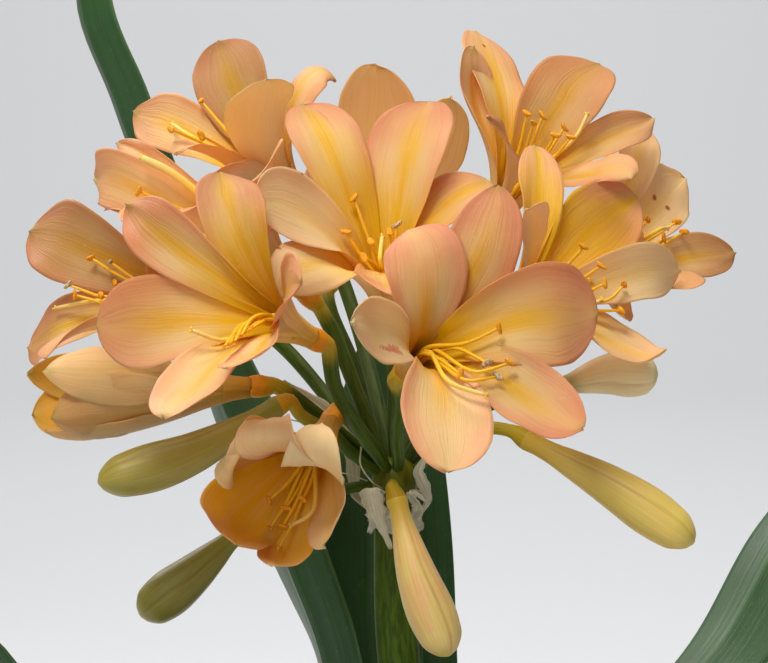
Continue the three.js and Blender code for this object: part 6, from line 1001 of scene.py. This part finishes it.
def build_bud(name, path, b, mats):
    num = int(name[1:])
    base, tip, bend = np.array(b["base"]), np.array(b["tip"]), np.array(BEND[name])
    mid = (base + tip) / 2 + bend
    p0 = np.array(path[0], float)
    whole = [list(HEAD + unit(p0 - HEAD) * 4.0)] + [list(p) for p in path] + [list(base), list(mid), list(tip)]
    _, L = curve(whole, 4)
    body = np.linalg.norm(mid - base) + np.linalg.norm(tip - mid)
    cut = 1 - 1.16 * body / L
    # the stalk, then the ovary and the closed tepals
    at = np.r_[np.linspace(0, max(cut, 0.02), 22, endpoint=False), np.linspace(max(cut, 0.02), 1, 70)]
    Q, L = curve(whole, 0, at)
    back = (1 - at) * L / body
    prof = [[0, 0.5], [0.008, 1.7], [0.03, 3.3], [0.12, 6.1], [0.28, 6.95], [0.5, 5.9], [0.72, 4.2], [0.86, 3.05], [0.92, 2.9], [0.98, 3.15], [1.03, 2.6], [1.08, 1.98], [9, 1.9]]
    R = pchip(np.clip(back, 0, 9), [p[0] for p in prof], [p[1] for p in prof])
    R = np.where(back > 1.08, np.interp(at, [0, 0.05, 0.2, 1], [1.4, 1.5, 1.85, 2.0]), R)
    m = 60
    a = np.arange(m) / m
    turn = 0.05 * np.sin(num * 2.1)
    s = np.clip(1 - back, 0, 1)
    n = len(at)
    ph = (a[None] + turn * s[:, None] + num * 0.21) * 3
    c = ph - np.round(ph)                     # -0.5 .. 0.5 across each outer tepal
    on = sm(s, 0.06, 0.2)[:, None] * (1 - sm(s, 0.985, 1.0))[:, None]
    # one edge of each outer tepal lies over the next: a small step with a crease under it
    crease = np.exp(-(((np.abs(c) - 0.5) / 0.03) ** 2))
    lob = 1 + on * (0.022 * (0.25 - c**2) * 4 - 0.013 + 0.006 * np.exp(-((c / 0.05) ** 2)) - 0.055 * crease)
    ph6 = ph * 2
    c6 = ph6 - np.round(ph6)
    lob = lob + 0.004 * on * np.cos(c6 * 6.283) + 0.002 * np.cos(6.283 * 21 * a)[None] * on
    RR = R[:, None] * lob
    part = tube(Q, RR, m)
    lk = BUD_LOOKS[name]
    k = len(part["v"])
    S = np.r_[np.repeat(s, m), 0, 1]
    AA = np.r_[np.tile(a, n), 0, 0]
    SE = np.r_[(crease * on).ravel(), 0, 0]
    # the third value of tp marks the creases that get painted shade
    part["a"] = {
        "tp": np.stack([S, AA, SE, np.full(k, num * 0.173)], -1),
        "tq": np.broadcast_to(np.array([lk["pink"], lk["cream"], lk["olive"], lk["yellow"]]), (k, 4)).copy(),
        "tu": np.zeros((k, 4)),
    }
    # stalk faces take the stalk's own colours
    f = part["f"][0]
    row = f[:, 0] // m
    first = int(np.searchsorted(-back, -1.0))
    st, bd = f[row < first], f[row >= first]
    tpS = np.stack([np.r_[np.repeat(at, m), 0, 1], AA, np.r_[np.repeat(at * L, m), 0, L] / 100, np.zeros(k)], -1)
    y = np.r_[np.repeat(sm(-back, -1.5, -1.0), m), 0, 1] * lk.get("tie", 0.8)
    o = np.r_[np.repeat(sm(-back, -1.16, -0.98), m), 0, 1] * lk.get("orange", 0.0)
    tc = np.stack([np.ones(k), y, o, np.full(k, num * 0.29)], -1)
    a1 = dict(part["a"])
    a1["tc"] = tc
    A_body = dict(v=part["v"], f=[bd, part["f"][2]], a={**a1}, m=1)
    A_stalk = dict(v=part["v"], f=[st, part["f"][1]], a={"tp": tpS, "tc": tc}, m=0)
    # one welded mesh: both face sets share the same points
    ob = make_shared(name + "_look", part["v"], [(st, 0), (part["f"][1], 0), (bd, 1), (part["f"][2], 1)], {"tp": part["a"]["tp"], "tq": part["a"]["tq"], "tu": part["a"]["tu"], "tc": tc, "ts": tpS}, [mats["budstalk"], mats["bud"]])
    node = "bud_%d" % num
    return place(ob, [node])


def make_shared(name, V, groups, attrs, mats):
    part = dict(v=V, f=[g[0] for g in groups], a=attrs)
    ob = make(name, [part], mats)
    mi = np.concatenate([np.full(len(g[0]), g[1]) for g in groups]).astype(np.int32)
    ob.data.polygons.foreach_set("material_index", mi)
    ob.data.update()
    return ob


# ---------------------------------------------------------------- leaves, crown, stem
def build_leaf(name, lf, mats):
    num = int(name[-2:])
    n, k = 96, 15
    s = np.linspace(0, 1, n)
    Q, L = curve(lf["path"], n)
    T = unit(np.gradient(Q, axis=0))
    q = np.radians(np.interp(s, lf["turn"][0], lf["turn"][1]))
    W = np.stack([np.cos(q), np.sin(q), 0 * q], -1)
    W = unit(W - T * np.sum(W * T, -1, keepdims=True))
    N = np.cross(W, T)
    hw = pchip(s, *lf["half"])
    v = np.linspace(-1, 1, k)
    S, V = np.meshgrid(s, v, indexing="ij")
    r = np.random.default_rng(700 + num)
    p = r.uniform(0, 6.283, 4)
    w = hw[:, None] * V
    dip = 0.26 * hw[:, None] * (np.abs(V) ** 1.25 - 0.5)
    dip += 0.45 * np.abs(V) ** 2 * np.sin(6.283 * 2.2 * S + p[0] + (V > 0) * p[1]) * sm(S, 0.15, 0.4)
    dip += 0.10 * np.cos(V * 6.283 * 5 + p[2]) * sm(S, 0.05, 0.2)
    dip -= 0.5 * np.exp(-((w / 1.3) ** 2)) * sm(S, 0.05, 0.2)
    P = Q[:, None] + W[:, None] * w[..., None] + N[:, None] * dip[..., None]
    Nn = normals(P)
    Nn = Nn * np.where(np.sum(Nn * N[:, None], -1, keepdims=True) < 0, -1, 1)
    # leathery blade, thick towards its foot and thin at the edges
    th = (1.5 + 1.2 * np.exp(-S / 0.08)) * (1 - 0.7 * np.abs(V) ** 3) + 0.7 * np.exp(-((w / 2.2) ** 2)) * (1 - 0.6 * S)
    th = np.maximum(th * (1 - 0.5 * sm(S, 0.93, 1.0)), 0.3)
    one = np.ones_like(S)
    A = lambda side: {"tp": np.stack([S, V * 0.5 + 0.5, one * side, one * (num * 0.61803 % 1)], -1), "tu": np.stack([w / 100, S * L / 100, one, one], -1)}
    return place(make(name + "_look", [shell(P, Nn, th, A(1), A(0))], [mats["leaf"]]), [name])


FAN = np.radians(40.0)


def fan(u, v, z):
    return np.stack([u * np.cos(FAN) - v * np.sin(FAN), u * np.sin(FAN) + v * np.cos(FAN), z + 0 * u], -1)


def build_crown(mats):
    z = np.r_[136, np.linspace(138, 194, 60), 195.6, 196]
    A = pchip(z, [136, 150, 165, 180, 196], [26, 31.6, 21.4, 11.0, 1.2])
    B = pchip(z, [136, 150, 165, 180, 196], [13, 15.7, 14.4, 12.9, 11.4])
    m = 96
    a = np.linspace(0, 2 * np.pi, m, endpoint=False)
    rows = []
    for i, (zi, ai, bi) in enumerate(zip(z, A, B)):
        # ridges where old leaf bases wrap round
        lift = 0.5 * np.abs(np.sin(zi / 4.6 * np.pi / 2 + 0.35 * np.sin(a * 2 + zi * 0.05))) - 0.35
        g = lift + 0.12 * np.cos(14 * a + zi * 0.06)
        rows.append(fan((ai + g) * np.cos(a), (bi + g) * np.sin(a), zi))
    V = np.concatenate(rows + [[fan(np.array(0.0), np.array(0.0), 136)], [fan(np.array(0.0), np.array(0.0), 196)]])
    n = len(z)
    j = np.arange(m)
    f = [quads(n, m, wrap=True), np.stack([np.full(m, n * m), (j + 1) % m, j], -1), np.stack([np.full(m, n * m + 1), (n - 1) * m + j, (n - 1) * m + (j + 1) % m], -1)]
    t = np.r_[np.repeat((z - 136) / 60, m), 0, 1]
    one = np.ones(len(V))
    tp = np.stack([t, np.r_[np.tile(j / m, n), 0, 0], t, 0 * one], -1)
    return place(make("crown_look", [dict(v=V, f=f, a={"tp": tp})], [mats["crown"]]), ["crown"])


def build_scape(mats):
    n, m = 90, 40
    Q, L = curve(SCAPE, n)
    T = unit(np.gradient(Q, axis=0))
    s = np.linspace(0, 1, n)
    side = np.array([np.cos(0.12), np.sin(0.12), 0.0])
    S = unit(side - T * (T @ side)[:, None])
    U = np.cross(T, S)
    w = (17 + (12.4 - 17) * np.minimum(1, s * 1.4)) / 2
    k = (17 * 0.68 + (9.4 - 17 * 0.68) * np.minimum(1, s * 1.4)) / 2
    a = np.linspace(0, 2 * np.pi, m, endpoint=False)
    # flattened, with blunt edges and shallow ribs
    c = np.sign(np.cos(a)) * np.abs(np.cos(a)) ** 0.9
    d = np.sign(np.sin(a)) * np.abs(np.sin(a)) ** 0.9
    rib = 1 + 0.012 * np.cos(9 * a) + 0.02 * np.cos(4 * a + 0.4)
    w = w * np.where(s > 0.985, np.sqrt(np.clip(1 - ((s - 0.985) / 0.02) ** 2, 0.05, 1)), 1)
    V = Q[:, None] + S[:, None] * (w[:, None] * (c * rib)[None] * 0.985)[..., None] + U[:, None] * (k[:, None] * (d * rib)[None] * 0.985)[..., None]
    V = np.concatenate([V.reshape(-1, 3), Q[:1], Q[-1:]])
    j = np.arange(m)
    f = [quads(n, m, wrap=True), np.stack([np.full(m, n * m), (j + 1) % m, j], -1), np.stack([np.full(m, n * m + 1), (n - 1) * m + j, (n - 1) * m + (j + 1) % m], -1)]
    t = np.r_[np.repeat(s, m), 0, 1]
    one = np.ones(len(V))
    tp = np.stack([t, np.r_[np.tile(j / m, n), 0, 0], t * L / 100, 0 * one], -1)
    y = sm(-t, -0.16, -0.0) * 0.7
    tc = np.stack([one, y, 0 * one, 0.37 * one], -1)
    stem_ = dict(v=V, f=f, a={"tp": tp, "tc": tc})
    # the swollen head
    nz, ma = 24, 40
    th = np.linspace(0.02, np.pi - 0.02, nz)
    a = np.linspace(0, 2 * np.pi, ma, endpoint=False)
    cen = np.array([2, 0, 430.0])
    rr = 6.9 * (1 + 0.02 * np.cos(5 * a)[None] * np.sin(th)[:, None])
    H = cen + np.stack([rr * np.sin(th)[:, None] * np.cos(a)[None], rr * np.sin(th)[:, None] * np.sin(a)[None], rr * np.cos(th)[:, None]], -1)
    H = H[::-1]
    V = np.concatenate([H.reshape(-1, 3), [cen - [0, 0, 6.88]], [cen + [0, 0, 6.88]]])
    j = np.arange(ma)
    f = [quads(nz, ma, wrap=True), np.stack([np.full(ma, nz * ma), (j + 1) % ma, j], -1), np.stack([np.full(ma, nz * ma + 1), (nz - 1) * ma + j, (nz - 1) * ma + (j + 1) % ma], -1)]
    t = np.r_[np.repeat(np.linspace(0, 1, nz), ma), 0, 1]
    one = np.ones(len(V))
    head = dict(v=V, f=f, a={"tp": np.stack([t, np.r_[np.tile(j / ma, nz), 0, 0], t * 0.2, 0 * one], -1), "tc": np.stack([one, 0.15 * one, 0 * one, 0.5 * one], -1)})
    return place(make("scape_look", [stem_, head], [mats["scape"]]), ["scape"])


# ---------------------------------------------------------------- dry bracts
def strip(path, half, turn, seed, n=44, k=11, curl=0.35, ragged=0.22, thick=0.22):
    Q, L = curve(path, n)
    T = unit(np.gradient(Q, axis=0))
    s = np.linspace(0, 1, n)
    q = np.radians(turn)
    W0 = np.array([np.cos(q), np.sin(q), 0.0])
    if abs(T[0] @ W0) > 0.9:
        W0 = np.array([0, 0, 1.0])
    W = unit(W0 - T * (T @ W0)[:, None])
    N = np.cross(W, T)
    hw = pchip(s, np.linspace(0, 1, len(half)), half)
    v = np.linspace(-1, 1, k)
    S, V = np.meshgrid(s, v, indexing="ij")
    r = np.random.default_rng(seed)
    p = r.uniform(0, 6.283, 6)
    e = 1 + ragged * (np.sin(S * 19 + p[0]) * 0.5 + np.sin(S * 43 + p[1]) * 0.5) * np.abs(V)
    x = hw[:, None] * V * e
    z = curl * hw[:, None] * (np.abs(V) ** 1.6) + 0.28 * np.sin(V * 5.5 + S * 4 + p[2]) * np.minimum(hw[:, None], 1.5) * 0.6 + 0.3 * np.sin(S * 9 + p[3]) * sm(S, 0.2, 0.6)
    P = Q[:, None] + W[:, None] * x[..., None] + N[:, None] * z[..., None]
    Nn = normals(P)
    Nn = Nn * np.where(np.sum(Nn * N[:, None], -1, keepdims=True) < 0, -1, 1)
    one = np.ones_like(S)
    A = lambda side: {"tp": np.stack([S, V * 0.5 + 0.5, one * side, one * (seed * 0.377 % 1)], -1)}
    return shell(P, Nn, thick * one * (1 - 0.5 * np.abs(V)), A(1), A(0))


def build_bracts(mats):
    parts = [strip(b["path"], b["half"], b["turn"], 910 + i) for i, b in enumerate(BRACTS)]
    # collar round the top of the stem, in three overlapping turns
    for c in range(3):
        a0 = 2.094 * c + 0.5
        a = np.linspace(a0, a0 + 2.5, 9)
        path = [[2.1 + (7.35 + 0.5 * i / 8) * np.cos(t), -0.4 + (5.9 + 0.5 * i / 8) * np.sin(t), 417.9 + 0.5 * np.sin(3 * t)] for i, t in enumerate(a)]
        Q, L = curve(path, 40)
        n, k = 40, 9
        s = np.linspace(0, 1, n)
        S, V = np.meshgrid(s, np.linspace(-1, 1, k), indexing="ij")
        out = unit((Q - np.array([2.1, -0.4, 0])) * [1, 1, 0])
        r = np.random.default_rng(930 + c)
        p = r.uniform(0, 6.283, 3)
        rag = 0.34 + 0.66 * np.abs(np.sin(S * 5.2 + p[2])) ** 1.5 + 0.12 * np.sin(S * 31 + p[1])
        h = 3.4 * V * (1 - 0.55 * sm(S, 0.7, 1.0)) * np.where(V > 0, 1 + 0.14 * np.sin(S * 23 + p[0]), rag)
        o = 0.5 * V**2 + 0.22 * np.sin(S * 14 + p[1]) * V + 0.5 * sm(V, 0.2, 1.0)
        P = Q[:, None] + np.array([0, 0, 1.0]) * h[..., None] + out[:, None] * o[..., None]
        Nn = normals(P)
        Nn = Nn * np.where(np.sum(Nn * out[:, None], -1, keepdims=True) < 0, -1, 1)
        one = np.ones_like(S)
        A = lambda side: {"tp": np.stack([S, V * 0.5 + 0.5, one * side, one * (c * 0.31)], -1)}
        parts.append(shell(P, Nn, 0.24 * one, A(1), A(0)))
    for i, (path, r0) in enumerate(THREADS):
        Q, L = curve(path, 26)
        w = r0 * np.interp(np.linspace(0, 1, 26), [0, 0.7, 1], [1, 0.8, 0.4]) * (1 + 0.15 * np.sin(np.linspace(0, 30, 26) + i))
        part = tube(Q, w, 8)
        part["a"]["tp"][:, 3] = 0.17 * i
        parts.append(part)
    return place(make("spathe_bracts_look", parts, [mats["bract"]]), ["spathe_bracts"])


# ---------------------------------------------------------------- pot and potting mix
def lathe(name, prof, m, mats, closed=True, att=None):
    a = np.linspace(0, 2 * np.pi, m, endpoint=False)
    V = np.concatenate([np.stack([r * np.cos(a), r * np.sin(a), z + 0 * a], -1) for r, z in prof])
    n = len(prof)
    j = np.arange(m)
    V = np.concatenate([V, [[0, 0, prof[0][1]], [0, 0, prof[-1][1]]]])
    f = [quads(n, m, wrap=True), np.stack([np.full(m, n * m), (j + 1) % m, j], -1), np.stack([np.full(m, n * m + 1), (n - 1) * m + j, (n - 1) * m + (j + 1) % m], -1)]
    return dict(v=V, f=f, a=att or {})


def rounded(points, r, steps=5):
    """A profile with its inner corners rounded."""
    out = [points[0]]
    for i in range(1, len(points) - 1):
        p0, p, p1 = (np.array(x, float) for x in points[i - 1 : i + 2])
        d0, d1 = np.linalg.norm(p0 - p), np.linalg.norm(p1 - p)
        k = min(r, d0 * 0.45, d1 * 0.45)
        a, b = p + (p0 - p) / d0 * k, p + (p1 - p) / d1 * k
        for t in np.linspace(0, 1, steps):
            out.append(tuple((1 - t) ** 2 * a + 2 * t * (1 - t) * p + t * t * b))
    return out + [points[-1]]


def wall_at(z):
    return 70 + 27.8 * z / 168


def build_pot(mats):
    pts = [(4, 0), (69, 0), (70, 1.6)] + [(wall_at(z), z) for z in (30, 60, 90, 120, 142)] + [(wall_at(144) + 0.2, 143.6), (wall_at(144) + 3.2, 145.4), (99.4, 156), (101, 166), (100.6, 168), (94.2, 168), (92.6, 166)]
    pts += [(wall_at(z) - 5, z) for z in (140, 100, 60, 30)] + [(wall_at(6) - 5, 6), (4, 6)]
    prof = rounded(pts, 1.3)
    pot = make("pot_look", [lathe("pot", prof, 128, None)], [mats["pot"]])
    cut = []
    for i in range(4):
        a = np.pi / 2 * i + np.pi / 4
        c = make("cut", [tube(np.array([[38 * np.cos(a), 38 * np.sin(a), z] for z in (-4, 0, 6, 10)]), np.array([7.0, 6.2, 6.0, 6.6]), 32)], [mats["pot"]])
        md = pot.modifiers.new("hole", "BOOLEAN")
        md.operation, md.solver, md.object = "DIFFERENCE", "EXACT", c
        cut.append(c)
    dg = bpy.context.evaluated_depsgraph_get()
    me = bpy.data.meshes.new_from_object(pot.evaluated_get(dg))
    pot.modifiers.clear()
    pot.data = me
    for c in cut:
        bpy.data.objects.remove(c)
    me.polygons.foreach_set("use_smooth", np.full(len(me.polygons), True))
    me.set_sharp_from_angle(angle=0.6)
    return place(pot, ["pot"])


def lump(c, size, seed, squash=(1, 1, 1), kind=0.5, rough=0.25):
    r = np.random.default_rng(seed)
    n, m = 7, 10
    th = np.linspace(0.15, np.pi - 0.15, n)
    a = np.linspace(0, 2 * np.pi, m, endpoint=False)
    rr = size * (1 + rough * r.uniform(-1, 1, (n, m)))
    X = np.stack([rr * np.sin(th)[:, None] * np.cos(a), rr * np.sin(th)[:, None] * np.sin(a), rr * np.cos(th)[:, None] + 0 * a], -1)[::-1]
    X = X.reshape(-1, 3)
    X = np.concatenate([X, [[0, 0, -size * 0.98], [0, 0, size * 0.98]]]) * squash
    q = r.uniform(0, 6.283)
    t = r.uniform(-0.4, 0.4)
    Rz = np.array([[np.cos(q), -np.sin(q), 0], [np.sin(q), np.cos(q), 0], [0, 0, 1]])
    Rx = np.array([[1, 0, 0], [0, np.cos(t), -np.sin(t)], [0, np.sin(t), np.cos(t)]])
    V = X @ Rx.T @ Rz.T + c
    j = np.arange(m)
    f = [quads(n, m, wrap=True), np.stack([np.full(m, n * m), (j + 1) % m, j], -1), np.stack([np.full(m, n * m + 1), (n - 1) * m + j, (n - 1) * m + (j + 1) % m], -1)]
    return dict(v=V, f=f, a={"tk": np.array([kind, r.uniform(), 0, 0])})


def soil_top(x, y):
    r = np.hypot(x, y)
    z = np.interp(r, [0, 44, 72, 92], [152, 151.5, 147.5, 146])
    return z + 0.8 * waves(x / 26, y / 26, 5, 6, (0.4, 1.4)) + 0.5 * waves(x / 9, y / 9, 6, 7, (0.5, 1.5)) - 0.6


def build_soil(mats):
    m = 160
    a = np.linspace(0, 2 * np.pi, m, endpoint=False)
    rings = [(4, 6.4), (wall_at(6.4) - 5.6, 6.4)] + [(wall_at(z) - 5.45, z) for z in (30, 60, 90, 120, 138)]
    V = [np.stack([r * np.cos(a), r * np.sin(a), z + 0 * a], -1) for r, z in rings]
    for r in np.linspace(wall_at(145) - 5.5, 1.0, 52):
        x, y = r * np.cos(a), r * np.sin(a)
        z = soil_top(x, y)
        z = np.where(r > 90, np.minimum(z, 145.9), z)
        V.append(np.stack([x, y, z], -1))
    n = len(V)
    j = np.arange(m)
    V = np.concatenate(V + [[[0, 0, 6.4]], [[0, 0, soil_top(np.array(0.0), np.array(0.0))]]])
    f = [quads(n, m, wrap=True), np.stack([np.full(m, n * m), (j + 1) % m, j], -1), np.stack([np.full(m, n * m + 1), (n - 1) * m + j, (n - 1) * m + (j + 1) % m], -1)]
    parts = [dict(v=V, f=f, a={"tk": np.array([0.0, 0, 0, 0])})]
    r = np.random.default_rng(77)
    for i in range(230):
        rad_, an = 87 * np.sqrt(r.uniform(0.02, 1)), r.uniform(0, 6.283)
        x, y = rad_ * np.cos(an), rad_ * np.sin(an)
        size = r.uniform(1.0, 3.2) if i % 3 else r.uniform(2.5, 4.6)
        flat = r.uniform(0.35, 0.7)
        z = soil_top(np.array(x), np.array(y)) + size * flat * r.uniform(-0.2, 0.45)
        parts.append(lump(np.array([x, y, z]), size, 1000 + i, (1.3, 0.8, flat), 0.5))
    for i in range(120):
        rad_, an = 89 * np.sqrt(r.uniform(0.02, 1)), r.uniform(0, 6.283)
        x, y = rad_ * np.cos(an), rad_ * np.sin(an)
        size = r.uniform(0.7, 1.7)
        z = soil_top(np.array(x), np.array(y)) + size * 0.3
        parts.append(lump(np.array([x, y, z]), size, 3000 + i, (1, 0.9, 0.8), 1.0, 0.18))
    return place(make("potting_mix_look", parts, [mats["soil"]]), ["potting_mix"])


# ---------------------------------------------------------------- the whole plant
mats = dict(
    petal=petal_material(),
    stamen=stamen_material(),
    stalk=stalk_material("stalk"),
    scape=stalk_material("scape"),
    budstalk=stalk_material("bud_stalk"),
    bud=bud_material(),
    leaf=leaf_material(),
    crown=crown_material(),
    bract=bract_material(),
    pot=pot_material(),
    soil=soil_material(),
)
# the stalk under a bud reads its own lengthwise values
for node in mats["budstalk"].node_tree.nodes:
    if node.bl_idname == "ShaderNodeAttribute" and node.attribute_name == "tp":
        node.attribute_name = "ts"

for name, f in FLOWERS.items():
    build_flower(name, f, mats)
for name, st in STAMENS.items():
    build_stamens(name, st, mats)
for name, path in STALKS.items():
    if name[0] == "F":
        build_stalk(name, path, mats)
    else:
        build_bud(name, path, BUDS[name], mats)
for name, lf in LEAVES.items():
    build_leaf(name, lf, mats)
build_crown(mats)
build_scape(mats)
build_bracts(mats)
build_pot(mats)
build_soil(mats)

# ---------------------------------------------------------------- room, light and camera
def backdrop():
    """A pale floor that curves up into a plain wall behind."""
    prof = [(-6.0, 0.0), (3.6, 0.0)]
    for t in np.linspace(0, np.pi / 2, 24):
        prof.append((3.6 + 1.4 * np.sin(t), 1.4 - 1.4 * np.cos(t)))
    prof.append((5.0, 5.0))
    V = np.array([[x, y, z] for y, z in prof for x in (-6.0, 6.0)]) / MM
    n = len(prof)
    q = quads(n, 2)
    ob = make("backdrop", [dict(v=V, f=[q])], [])
    n_ = Nodes("backdrop")
    P = n_.place()
    tone_and_painted_light = n_.mix(n_.mul(n_.noise(P, 2.0, 3.0), 0.2), lin(236, 236, 237), lin(230, 231, 233))
    mat = n_.finish(tone_and_painted_light, 0.85, n_.bump(n_.noise(P, 700.0, 2.0), 0.0002, 0.15), spec=0.2)
    ob.data.materials.append(mat)
    return ob


backdrop()


def area(name, at, aim, size, power, colour=(1, 1, 1)):
    l = bpy.data.lights.new(name, "AREA")
    l.shape, l.size, l.energy, l.color = "DISK", size, power, colour
    o = bpy.data.objects.new(name, l)
    o.location = at
    o.rotation_euler = (Vector(aim) - Vector(at)).to_track_quat("-Z", "Y").to_euler()
    bpy.context.scene.collection.objects.link(o)


area("key", (-0.25, -0.62, 1.5), (0, 0, 0.47), 0.5, 11.0, (1.0, 0.975, 0.93))
area("fill", (-0.5, -1.6, 0.8), (0, 0, 0.42), 1.1, 5.0, (0.96, 0.98, 1.0))
area("rim", (-0.7, 0.9, 1.3), (0, 0, 0.5), 0.6, 9, (1.0, 0.97, 0.92))
area("wall", (0.0, 0.6, 2.8), (0, 2.6, 0.6), 1.6, 50, (1.0, 1.0, 1.0))
area("wall_far", (0.0, 2.6, 2.8), (0, 4.6, 0.6), 1.6, 30, (1.0, 1.0, 1.0))

scene = bpy.context.scene
world = bpy.data.worlds.new("world")
scene.world = world
world.use_nodes = True
bg = world.node_tree.nodes["Background"]
bg.inputs[0].default_value = (0.93, 0.96, 1.0, 1)
bg.inputs[1].default_value = 0.17
scene.view_settings.view_transform = "Standard"
scene.view_settings.look = "None"
scene.view_settings.exposure = 0.0

cam = bpy.data.cameras.new("camera")
cam.lens = 36 * 3105 / 768
cam.sensor_width = 36
cam.sensor_fit = "HORIZONTAL"
cam.clip_start, cam.clip_end = 0.05, 20
co = bpy.data.objects.new("camera", cam)
co.location = (-0.00116, -0.89507, 0.56738)
co.rotation_euler = (np.radians(84.0), 0, 0)
scene.collection.objects.link(co)
scene.camera = co
